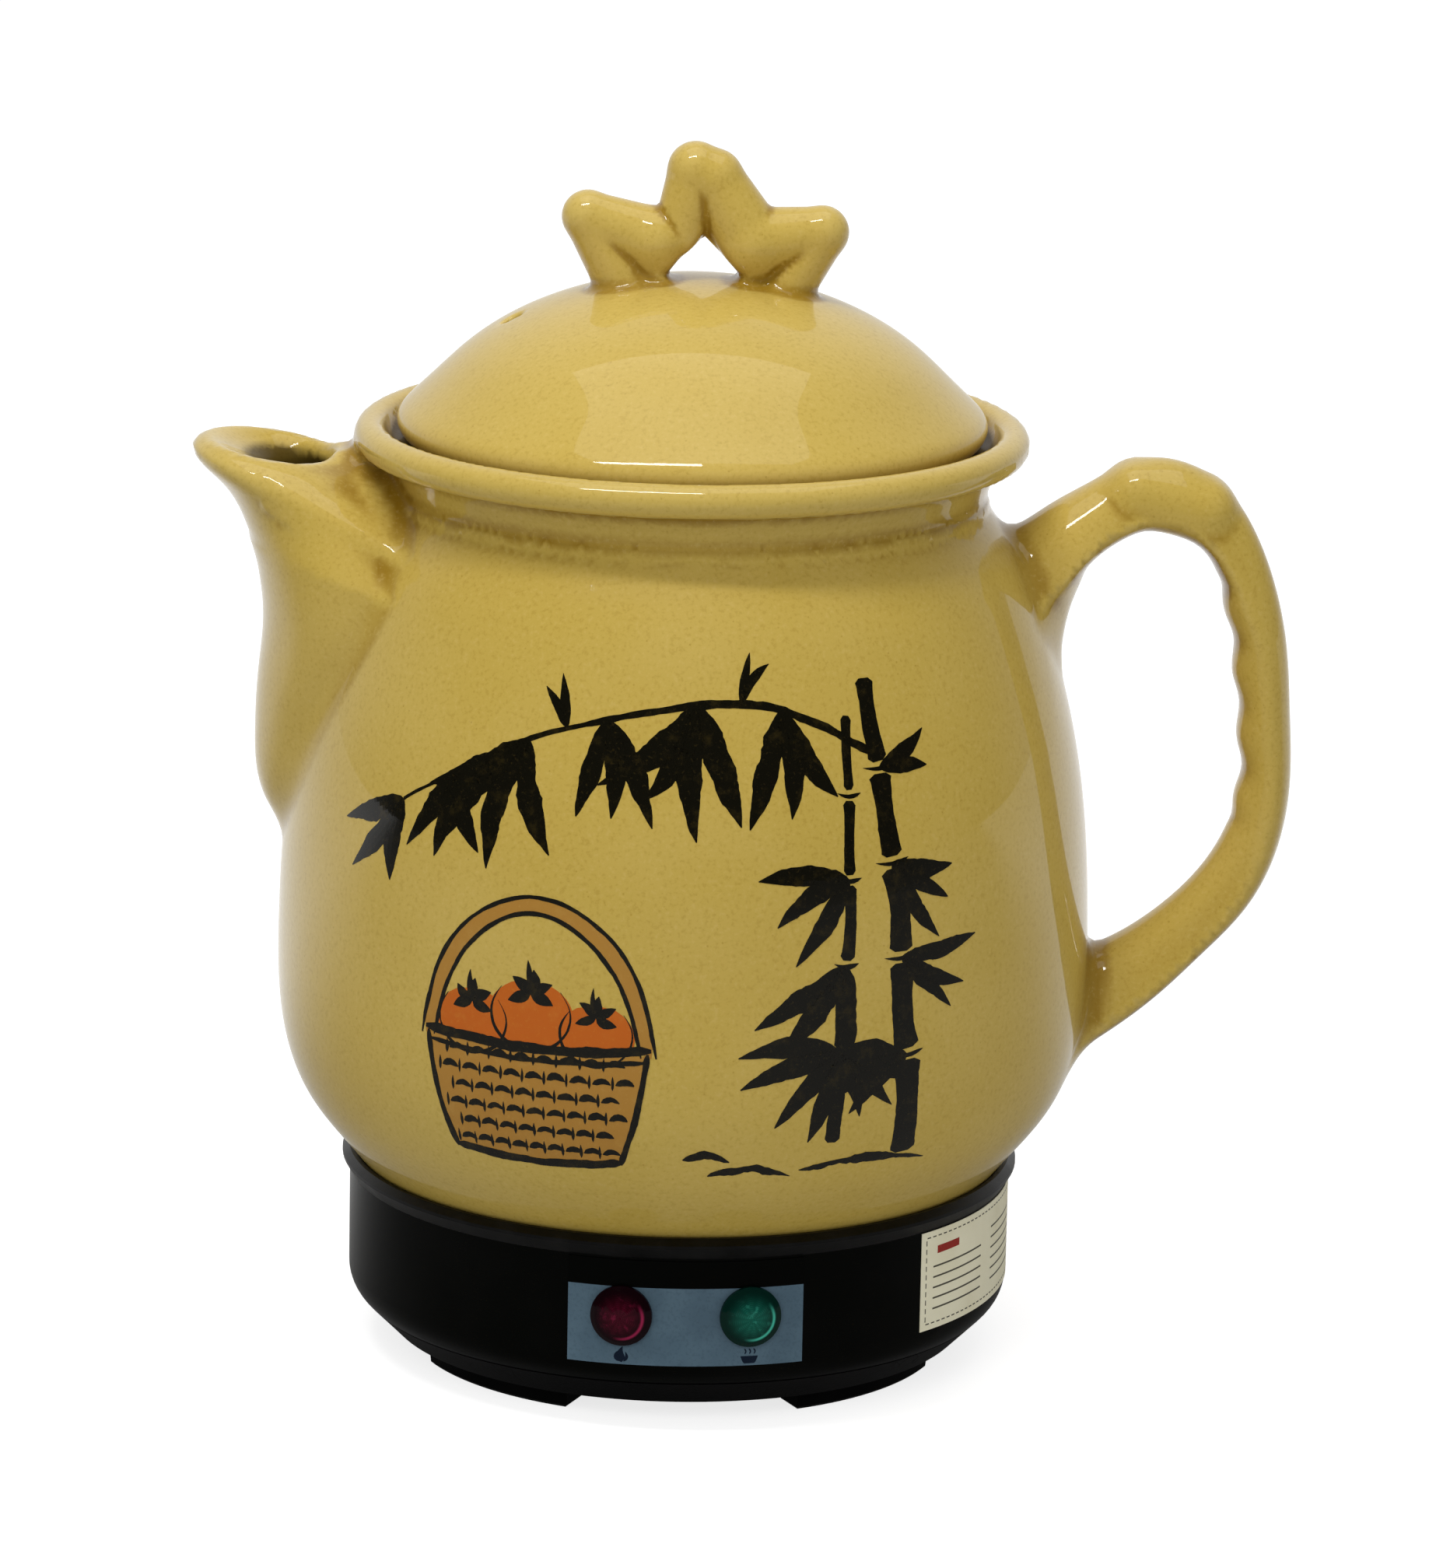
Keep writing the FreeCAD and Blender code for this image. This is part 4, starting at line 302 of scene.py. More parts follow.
@dataclass(frozen=True)
class Glaze:
    """Clear honey glaze, deeper where it pools and paler where it runs thin, with painted shade down the
    spout and under the lid's edge.
    """

    name: str
    plain: Colour
    pooled: Colour
    thin: Colour
    # colour of the painted shade in deep recesses
    dark_patch: Colour = tone(56, 40, 8)
    cloud_size: float = 0.045
    grain_size: float = 0.0011
    speck_size: float = 0.0026
    peel_size: float = 0.009
    peel_depth: float = 0.00005
    grain_depth: float = 0.000012
    coat: float = 0.7

    def make(self) -> bpy.types.Material:
        """Mix the glaze.

        Returns:
            The material.
        """
        mix = Recipe(self.name)
        fold = mix.attribute("fold")
        edge = mix.attribute("edge")
        hidden = mix.attribute("hidden")
        cloud = mix.noise(self.cloud_size, 3.0)
        grain = mix.noise(self.grain_size, 2.0, 0.6)
        speck = mix.cells(self.speck_size).eased(0.13, 0.05) * mix.noise(0.006, 1.0).eased(0.42, 0.62)
        colour = mix.mixed(fold * (0.75 + 0.4 * cloud), self.plain, self.pooled)
        colour = mix.mixed(edge * 0.55, colour, self.thin)
        colour = mix.mixed(cloud.eased(0.35, 0.7) * 0.16, colour, self.thin)
        colour = mix.mixed(grain.eased(0.5, 0.72) * 0.20, colour, self.pooled)
        colour = mix.mixed(grain.eased(0.45, 0.28) * 0.18, colour, self.thin)
        colour = mix.mixed(speck * 0.35, colour, self.pooled)
        # painted shade: the recess mask darkens the glaze towards the shade colour
        colour = mix.mixed(hidden * (0.8 + 0.2 * cloud), colour, self.dark_patch)
        rough = 0.30 + 0.10 * grain
        peel = mix.relief(mix.noise(self.peel_size, 2.0), self.peel_depth)
        skin = mix.relief(grain, self.grain_depth, peel)
        # the painted shade also takes most of the coat away, so the shaded recesses reflect less
        return mix.finish(
            Base_Color=colour, Roughness=rough, Normal=skin, Specular_IOR_Level=0.05,
            Coat_Weight=self.coat - 0.6 * hidden, Coat_Roughness=0.03, Coat_IOR=1.5,
        )


@dataclass(frozen=True)
class Ink:
    """Fired ink under the glaze, a little uneven as a brush leaves it."""

    name: str
    plain: Colour
    worn: Colour
    coat: float = 0.7

    def make(self) -> bpy.types.Material:
        """Mix the ink.

        Returns:
            The material.
        """
        mix = Recipe(self.name)
        wash = mix.noise(0.004, 4.0, 0.65)
        grain = mix.noise(0.0008, 2.0)
        colour = mix.mixed(wash.eased(0.5, 0.8) * 0.4, self.plain, self.worn)
        colour = mix.mixed(grain.eased(0.6, 0.75) * 0.3, colour, self.worn)
        return mix.finish(
            Base_Color=colour, Roughness=0.28 + 0.1 * grain, Normal=mix.relief(grain, 0.00001),
            Specular_IOR_Level=0.05, Coat_Weight=self.coat, Coat_Roughness=0.03, Coat_IOR=1.5,
        )


@dataclass(frozen=True)
class Moulding:
    """Moulded plastic with a fine spark texture and light scuffs."""

    name: str
    plain: Colour
    scuffed: Colour
    rough: float
    grain: float = 0.0006
    depth: float = 0.00002
    gloss: float = 0.35

    def make(self) -> bpy.types.Material:
        """Mix the plastic.

        Returns:
            The material.
        """
        mix = Recipe(self.name)
        spark = mix.noise(self.grain, 3.0, 0.6)
        cloud = mix.noise(0.03, 3.0)
        low = mix.axes()[2].eased(0.017, 0.006)
        scuff = mix.cells(0.004, "DISTANCE_TO_EDGE").eased(0.05, 0.0) * mix.noise(0.012, 2.0).eased(0.55, 0.7)
        wear = scuff * (0.15 + 0.85 * low)
        colour = mix.mixed(cloud.eased(0.4, 0.75) * 0.5, self.plain, self.scuffed)
        colour = mix.mixed(wear * 0.8, colour, self.scuffed)
        return mix.finish(
            Base_Color=colour, Roughness=self.rough + 0.08 * cloud + 0.2 * wear,
            Normal=mix.relief(spark, self.depth), Specular_IOR_Level=self.gloss,
        )


@dataclass(frozen=True)
class Rubber:
    """Black moulded rubber with a faint bloom."""

    name: str

    def make(self) -> bpy.types.Material:
        """Mix the rubber.

        Returns:
            The material.
        """
        mix = Recipe(self.name)
        bloom = mix.noise(0.008, 4.0, 0.6)
        fine = mix.noise(0.0005, 2.0)
        colour = mix.mixed(bloom.eased(0.4, 0.8), tone(9, 9, 8), tone(22, 21, 20))
        return mix.finish(
            Base_Color=colour, Roughness=0.30 + 0.2 * bloom, Normal=mix.relief(fine, 0.00002),
            Specular_IOR_Level=0.2,
        )


@dataclass(frozen=True)
class PrintedFilm:
    """Printed film: a black strip over a slate field."""

    name: str
    strip_from: float

    def make(self) -> bpy.types.Material:
        """Print the film.

        Returns:
            The material.
        """
        mix = Recipe(self.name)
        height = mix.axes()[2]
        strip = height > self.strip_from
        cloud = mix.noise(0.01, 3.0)
        dots = mix.noise(0.0007, 1.0)
        slate = mix.mixed(cloud.eased(0.35, 0.7), tone(82, 104, 119), tone(90, 113, 128))
        slate = mix.mixed(dots.eased(0.5, 0.7) * 0.25, slate, tone(66, 84, 96))
        colour = mix.mixed(strip, slate, tone(3, 4, 2))
        return mix.finish(
            Base_Color=colour, Roughness=0.38 + 0.1 * dots, Normal=mix.relief(dots, 0.00001),
            Specular_IOR_Level=0.06,
        )


@dataclass(frozen=True)
class Paper:
    """Cream label paper with a faint fibre."""

    name: str
    plain: Colour
    aged: Colour

    def make(self) -> bpy.types.Material:
        """Make the paper.

        Returns:
            The material.
        """
        mix = Recipe(self.name)
        fibre = mix.noise(0.0006, 3.0, 0.7, mix.stretched((1.0, 1.0, 2.5)))
        dark_patch = mix.noise(0.018, 3.0)
        colour = mix.mixed(dark_patch.eased(0.4, 0.75) * 0.7, self.plain, self.aged)
        colour = mix.mixed(fibre.eased(0.55, 0.75) * 0.3, colour, self.aged)
        return mix.finish(
            Base_Color=colour, Roughness=0.72 + 0.15 * fibre, Normal=mix.relief(fibre, 0.00003),
            Specular_IOR_Level=0.25,
        )


@dataclass(frozen=True)
class LensPlastic:
    """Tinted lens, deepest at its rim, with the rings of its mould showing through, and painted light: a
    lighter middle, glints on the rings, a painted highlight along one side of its wall and a painted glow.
    """

    name: str
    centre: Vector
    deep: Colour
    middle: Colour
    bright: Colour
    glow: float
    ring_step: float = 0.00045
    heart_radius: float = 0.0064
    wall_radius: float = 0.0053
    facets: float = 12.0

    def make(self) -> bpy.types.Material:
        """Mix the lens.

        Returns:
            The material.
        """
        mix = Recipe(self.name)
        across, along, up = mix.axes()
        turn = math.atan2(self.centre.y, self.centre.x)
        side = (across - self.centre.x) * -math.sin(turn) + (along - self.centre.y) * math.cos(turn)
        rise = up - self.centre.z
        ring = (side * side + rise * rise) ** 0.5
        angle = mix.math("ARCTAN2", rise, side)
        rings = (ring * (2 * math.pi / self.ring_step)).wave() * 0.5 + 0.5
        facets = (angle * self.facets).wave() * 0.5 + 0.5
        # heart: the lighter middle, painted light shining through the tint
        heart = ring.eased(self.heart_radius, 0.0016)
        # wall: a painted highlight, a bright ring along the lens wall on one side only
        wall = (ring - self.wall_radius).size().eased(0.0006, 0.0) * (angle + 0.6).cosine().eased(0.2, 0.9)
        mottle = mix.noise(0.0016, 3.0, 0.6)
        colour = mix.mixed(heart * (0.65 + 0.5 * mottle), self.deep, self.middle)
        # painted glints on the mould's rings and facets and on the mottle
        sparkle = rings * facets * heart * 0.08 + mottle.eased(0.55, 0.7) * heart * 0.2
        colour = mix.mixed(sparkle, colour, self.bright)
        colour = mix.mixed(wall * 0.75, colour, self.bright)
        # painted glow: emission on the bright ring and the middle, standing in for light through the lens
        glow = mix.mixed(wall * 0.7 + heart * 0.25, (0.0, 0.0, 0.0, 1.0), self.bright)
        return mix.finish(
            Base_Color=colour, Roughness=0.16 + 0.06 * mottle,
            Normal=mix.relief(rings * 0.4 + mottle * 0.6, 0.00002), Emission_Color=glow,
            Emission_Strength=self.glow, Specular_IOR_Level=0.05, Coat_Weight=0.2, Coat_Roughness=0.04,
        )


@dataclass(frozen=True)
class Metal:
    """Metal with drawing marks along one axis, and a light bloom."""

    name: str
    plain: Colour
    dull: Colour
    rough: float
    marks: Spot = (1.0, 1.0, 12.0)
    grain: float = 0.0009

    def make(self) -> bpy.types.Material:
        """Work the metal.

        Returns:
            The material.
        """
        mix = Recipe(self.name)
        drawn = mix.noise(self.grain, 3.0, 0.6, mix.stretched(self.marks))
        bloom = mix.noise(0.007, 4.0, 0.6)
        colour = mix.mixed(bloom.eased(0.4, 0.75), self.plain, self.dull)
        return mix.finish(
            Base_Color=colour, Metallic=1.0, Roughness=self.rough + 0.15 * drawn + 0.1 * bloom,
            Normal=mix.relief(drawn, 0.00002),
        )


@dataclass(frozen=True)
class Sleeve:
    """Insulation of a wire, smooth or braided."""

    name: str
    plain: Colour
    braid: float = 0.0

    def make(self) -> bpy.types.Material:
        """Make the insulation.

        Returns:
            The material.
        """
        mix = Recipe(self.name)
        across, along, up = mix.axes()
        weave = ((across + up) * 5200.0).wave() * ((along - up) * 5200.0).wave() * 0.5 + 0.5
        soft = mix.noise(0.003, 3.0)
        dark = mix.mixed(0.5, self.plain, tone(20, 18, 16), "MULTIPLY")
        colour = mix.mixed(weave * self.braid * 0.5 + soft.eased(0.5, 0.8) * 0.3, self.plain, dark)
        return mix.finish(
            Base_Color=colour, Roughness=0.42 + 0.2 * soft,
            Normal=mix.relief(weave * self.braid + soft * 0.2, 0.00005), Specular_IOR_Level=0.4,
        )


@dataclass(frozen=True)
class Glass:
    """Clear lamp glass with a warm gas inside."""

    name: str

    def make(self) -> bpy.types.Material:
        """Blow the glass.

        Returns:
            The material.
        """
        mix = Recipe(self.name)
        smoke = mix.noise(0.002, 3.0)
        colour = mix.mixed(smoke.eased(0.4, 0.7), tone(246, 226, 205), tone(231, 190, 160))
        return mix.finish(
            Base_Color=colour, Roughness=0.04 + 0.05 * smoke, Transmission_Weight=0.8, IOR=1.48,
            Normal=mix.relief(smoke, 0.00001),
        )


class Brush(Enum):
    """The inks of the decoration and of the printed marks."""

    BLACK = Ink("black_ink", tone(15, 13, 4), tone(66, 54, 18))
    ORANGE = Ink("orange_ink", tone(196, 98, 18), tone(206, 130, 44))
    TAN = Ink("tan_ink", tone(176, 128, 52), tone(190, 150, 74))
    NAVY = Ink("navy_print", tone(22, 32, 48), tone(34, 46, 62), 0.0)
    RED = Ink("red_print", tone(158, 52, 44), tone(176, 84, 70), 0.0)
    GREY = Ink("grey_print", tone(86, 84, 72), tone(122, 119, 102), 0.0)


def zinc(name: str, rough: float, marks: Spot = (1.0, 1.0, 12.0)) -> Metal:
    """Zinc plate with its bloom."""
    return Metal(name, tone(186, 186, 178), tone(150, 149, 140), rough, marks)


GLAZE = Glaze("jug_glaze", tone(200, 171, 80), tone(148, 112, 16), tone(222, 197, 122))
LID_GLAZE = Glaze("lid_glaze", tone(203, 174, 84), tone(152, 116, 20), tone(224, 199, 124))

NODE_FINISHES: dict[str, Finish] = {
    "seal_ring": Rubber("seal_rubber"),
    "base_housing": Moulding(
        "housing_plastic", tone(4, 5, 3), tone(12, 12, 11), 0.20, 0.0005, 0.000012, 0.05),
    "base_plate": Moulding("plate_plastic", tone(6, 6, 6), tone(24, 23, 22), 0.36, 0.0007, 0.00004, 0.06),
    "control_label": PrintedFilm("label_film", 0.0364),
    "care_sticker": Paper("sticker_paper", tone(250, 245, 216), tone(238, 231, 198)),
    "neon_lamps": Glass("lamp_glass"),
    "lamp_holders": Moulding("holder_nylon", tone(210, 205, 190), tone(180, 172, 152), 0.45),
    "lamp_spring_nuts": Metal("spring_steel", tone(150, 152, 156), tone(118, 119, 122), 0.25),
    "base_screws": Metal("zinc_screws", tone(188, 188, 182), tone(150, 150, 140), 0.22, (6.0, 6.0, 1.0)),
    "captive_nuts": Metal("zinc_nuts", tone(184, 184, 178), tone(146, 146, 138), 0.24, (6.0, 6.0, 1.0)),
    "anchor_studs": Metal("zinc_studs", tone(180, 181, 176), tone(142, 142, 134), 0.24, (1.0, 1.0, 14.0)),
    "anchor_washers": Metal("spring_washers", tone(140, 142, 146), tone(104, 105, 108), 0.25),
    "anchor_nuts": zinc("anchor_nut_zinc", 0.22, (6.0, 6.0, 1.0)),
    "support_ring": Metal("ring_steel", tone(148, 150, 152), tone(116, 117, 118), 0.30, (9.0, 1.0, 1.0)),
    "heater_plate": Metal(
        "cast_aluminium", tone(196, 197, 198), tone(150, 150, 150), 0.42, (1.0, 1.0, 1.0), 0.0014),
    "heating_element": Metal("element_sheath", tone(120, 112, 106), tone(80, 70, 72), 0.34),
    "heat_shield": Metal("shield_sheet", tone(190, 192, 194), tone(160, 160, 160), 0.20, (10.0, 1.0, 1.0)),
    "boil_thermostat": Moulding("boil_thermostat_body", tone(74, 42, 26), tone(104, 70, 50), 0.40),
    "keep_warm_thermostat": Moulding("warm_thermostat_body", tone(70, 40, 26), tone(100, 68, 48), 0.42),
    "thermostat_screws": zinc("thermostat_screw_zinc", 0.24),
    "fuse_clip_screw": zinc("clip_screw_zinc", 0.24),
    "thermal_fuse": Metal("fuse_can", tone(204, 176, 110), tone(160, 132, 76), 0.22),
    "fuse_clip": Metal("clip_steel", tone(150, 152, 156), tone(116, 117, 120), 0.26),
    "inlet_socket": Moulding(
        "inlet_moulding", tone(13, 13, 13), tone(38, 37, 36), 0.46, 0.0006, 0.00003, 0.3),
    "inlet_power_blades": Metal("blade_brass", tone(214, 198, 146), tone(176, 156, 104), 0.18),
    "inlet_earth_blade": Metal("earth_brass", tone(214, 198, 146), tone(176, 156, 104), 0.18),
    "inlet_screws": zinc("inlet_screw_zinc", 0.22),
    "terminal_block": Moulding("block_nylon", tone(232, 229, 216), tone(206, 200, 182), 0.40),
    "terminal_screws": zinc("terminal_screw_zinc", 0.24),
    "live_wire": Sleeve("live_sleeve", tone(112, 66, 36)),
    "neutral_wire": Sleeve("neutral_sleeve", tone(44, 92, 160)),
    "earth_wire": Sleeve("earth_sleeve", tone(140, 176, 50)),
    "element_leads": Sleeve("element_braid", tone(228, 222, 206), 1.0),
    "lamp_leads": Sleeve("lamp_braid", tone(226, 220, 204), 1.0),
}

# side of the middle, colours at rim, middle and highlights, and glow
LENS_TINTS = {
    "red_lamp_lens": (-1, (tone(18, 1, 6), tone(54, 3, 18), tone(170, 40, 84)), 0.03),
    "green_lamp_lens": (1, (tone(2, 36, 29), tone(7, 76, 62), tone(80, 206, 178)), 0.08),
}


@dataclass
class Base:
    """Housing with everything in it and on it, whose forms are the CAD nodes."""

    lens_radius: float = 0.083
    lens_height: float = 0.0295
    lens_angle: float = 10.8

    def finishes(self) -> dict[str, Finish]:
        """The finish of each node, the two lenses last.

        Returns:
            Finishes by node name.
        """
        chosen = dict(NODE_FINISHES)
        for name, (side, colours, glow) in LENS_TINTS.items():
            angle = math.radians(-90 + side * self.lens_angle)
            across, back = self.lens_radius * math.cos(angle), self.lens_radius * math.sin(angle)
            centre = Vector((across, back, self.lens_height))
            chosen[name] = LensPlastic(f"{name}_plastic", centre, *colours, glow)
        return chosen

    def dress(self) -> None:
        """Give every carried-over node its finish."""
        for name, finish in self.finishes().items():
            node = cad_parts[name]
            material = finish.make()
            if not node.material_slots:
                node.data.materials.append(material)
            for slot in node.material_slots:
                slot.material = material
            log.info("node %s wears %s", name, finish.name)


# ---------------------------------------------------------------- forms as distance fields, in millimetres

Field = np.ndarray
Width = Callable[[Field], Field]


def joined(first: Field, second: Field, blend: float) -> Field:
    """Two forms as one, with a fillet in the crease between them."""
    near = np.maximum(blend - np.abs(first - second), 0.0)
    return np.minimum(first, second) - near * near / (4 * blend)


def cut_back(form: Field, tool: Field, blend: float) -> Field:
    """A form with another cut out of it, and the cut's edge rounded."""
    return -joined(-form, tool, blend)


def eased(value: Field, low: float, high: float) -> Field:
    """A smooth step from 0 at low to 1 at high."""
    share = np.clip((value - low) / (high - low), 0.0, 1.0)
    return share * share * (3 - 2 * share)


class Curve:
    """A smooth curve through points, as an elastic batten lies."""

    def __init__(
        self, points: Sequence[Sequence[float]], start: Sequence[float] | None = None,
        end: Sequence[float] | None = None, knots: Sequence[float] | None = None,
    ) -> None:
        """Solve the batten.

        Args:
            points: the points it goes through.
            start: direction at its first point, left free if None.
            end: direction at its last point, left free if None.
            knots: parameters of the points, the distance along the chords if None.
        """
        values = np.array(points, float)
        if knots is None:
            chords = np.linalg.norm(np.diff(values, axis=0), axis=1)
            knots = np.concatenate([[0.0], np.cumsum(chords)])
        self.knots = np.array(knots, float)
        self.values = values
        step = np.diff(self.knots)[:, None]
        rise = np.diff(values, axis=0) / step
        count = len(values)
        matrix = np.zeros((count, count))
        known = np.zeros_like(values)
        for index in range(1, count - 1):
            matrix[index, index - 1] = step[index, 0]
            matrix[index, index] = 2 * (step[index, 0] + step[index - 1, 0])
            matrix[index, index + 1] = step[index - 1, 0]
            known[index] = 3 * (step[index] * rise[index - 1] + step[index - 1] * rise[index])
        for row, other, slope, way in ((0, 1, rise[0], start), (-1, -2, rise[-1], end)):
            matrix[row, row] = 1.0 if way is not None else 2.0
            matrix[row, other] = 0.0 if way is not None else 1.0
            known[row] = np.array(way, float) if way is not None else 3 * slope
        self.slopes = np.linalg.solve(matrix, known)

    def at(self, place: Field) -> Field:
        """Points of the curve at an array of parameters.

        Args:
            place: the parameters.

        Returns:
            The points, a row for each parameter.
        """
        place = np.clip(np.asarray(place, float), self.knots[0], self.knots[-1])
        index = np.clip(np.searchsorted(self.knots, place, side="right") - 1, 0, len(self.knots) - 2)
        width = (self.knots[index + 1] - self.knots[index])[..., None]
        share = (place - self.knots[index])[..., None] / width
        start, end = self.values[index], self.values[index + 1]
        way_in, way_out = self.slopes[index] * width, self.slopes[index + 1] * width
        square, cube = share**2, share**3
        return (
            start * (2 * cube - 3 * square + 1) + way_in * (cube - 2 * square + share)
            + end * (3 * square - 2 * cube) + way_out * (cube - square)
        )

    def sampled(self, count: int) -> Field:
        """That many points, evenly along the parameter."""
        return self.at(np.linspace(self.knots[0], self.knots[-1], count))


def arc(centre: tuple[float, float], radius: float, start: float, end: float, count: int = 10) -> Field:
    """Points of an arc between two angles in degrees."""
    angles = np.radians(np.linspace(start, end, count))
    return np.array(centre) + radius * np.stack([np.cos(angles), np.sin(angles)], axis=1)


def outline_distance(outline: Field, across: Field, up: Field) -> Field:
    """Signed distance to a closed outline, negative inside.

    Args:
        outline: its corners, in order.
        across: first coordinate of the places.
        up: second coordinate of the places.

    Returns:
        The distances.
    """
    across, up = np.broadcast_arrays(across, up)
    nearest = np.full(across.shape, 1e9)
    inside = np.zeros(across.shape, bool)
    for (x0, y0), (x1, y1) in zip(outline, np.roll(outline, -1, axis=0)):
        run, rise = x1 - x0, y1 - y0
        length = run * run + rise * rise
        if length < 1e-12:
            continue
        share = np.clip(((across - x0) * run + (up - y0) * rise) / length, 0.0, 1.0)
        nearest = np.minimum(nearest, (across - x0 - share * run) ** 2 + (up - y0 - share * rise) ** 2)
        if y0 != y1:
            crosses = (up < y0) != (up < y1)
            inside ^= crosses & (across < x0 + (up - y0) * run / rise)
    return np.sqrt(nearest) * np.where(inside, -1.0, 1.0)


class TurnedField:
    """Distance to a turned form, kept as a table over radius and height."""

    STEP = 0.4
    LONG_LIST = 400000

    def __init__(
        self, outlines: Sequence[Field], blend: float, low: float, high: float, reach: float
    ) -> None:
        """Fill the table.

        Args:
            outlines: closed outlines that are joined.
            blend: size of the fillets between them.
            low: lowest height of the table.
            high: highest height.
            reach: largest radius.
        """
        self.low = low
        self.radii = np.arange(0.0, reach + self.STEP, self.STEP)
        self.heights = np.arange(low, high + self.STEP, self.STEP)
        parts = [outline_distance(line, self.radii[:, None], self.heights[None, :]) for line in outlines]
        table = parts[0]
        for part in parts[1:]:
            table = joined(table, part, blend)
        self.table = table

    def read(self, radius: Field, height: Field) -> Field:
        """Distances at places; cubic for short lists, linear for whole grids.

        Args:
            radius: the places' distances from the axis.
            height: their heights.

        Returns:
            The distances.
        """
        across = np.clip(radius / self.STEP, 1.0, len(self.radii) - 3.001)
        up = np.clip((height - self.low) / self.STEP, 1.0, len(self.heights) - 3.001)
        column, row = across.astype(int), up.astype(int)
        right, above = across - column, up - row
        if max(np.size(radius), np.size(height)) > self.LONG_LIST or np.ndim(radius) == 3:
            table = self.table
            low = table[column, row] * (1 - right) + table[column + 1, row] * right
            high = table[column, row + 1] * (1 - right) + table[column + 1, row + 1] * right
            return low * (1 - above) + high * above
        total = 0.0
        for shift_across, share_across in zip(range(-1, 3), self.shares(right)):
            for shift_up, share_up in zip(range(-1, 3), self.shares(above)):
                total = total + self.table[column + shift_across, row + shift_up] * share_across * share_up
        return total

    @staticmethod
    def shares(share: Field) -> tuple[Field, Field, Field, Field]:
        """Weights of four neighbours in a smooth reading."""
        square, cube = share**2, share**3
        return (
            (-cube + 2 * square - share) / 2, (3 * cube - 5 * square + 2) / 2,
            (-3 * cube + 4 * square + share) / 2, (cube - square) / 2,
        )


class Form:
    """A form given by a distance field; the kinds below say what it is."""

    low: tuple[float, float, float]
    high: tuple[float, float, float]

    def distance(self, x: Field, y: Field, z: Field) -> Field:
        """Distance to the surface, negative inside."""
        raise NotImplementedError

    def hidden(self, points: Field) -> Field:
        """Share of painted shade at points that lie in a deep, dark recess."""
        return np.zeros(len(points))

    def slope(self, points: Field, step: float) -> tuple[Field, Field, Field]:
        """Distance, gradient and bend of the field at points.

        Args:
            points: rows of X, Y and Z.
            step: spacing of the readings.

        Returns:
            The distances, the gradients, and the sum of the second differences, positive on ridges.
        """
        middle = self.distance(*points.T)
        ways = []
        bend = -6 * middle
        for axis in range(3):
            shift = np.zeros(3)
            shift[axis] = step
            ahead = self.distance(*(points + shift).T)
            behind = self.distance(*(points - shift).T)
            ways.append((ahead - behind) / (2 * step))
            bend = bend + ahead + behind
        return middle, np.stack(ways, axis=1), bend / step**2


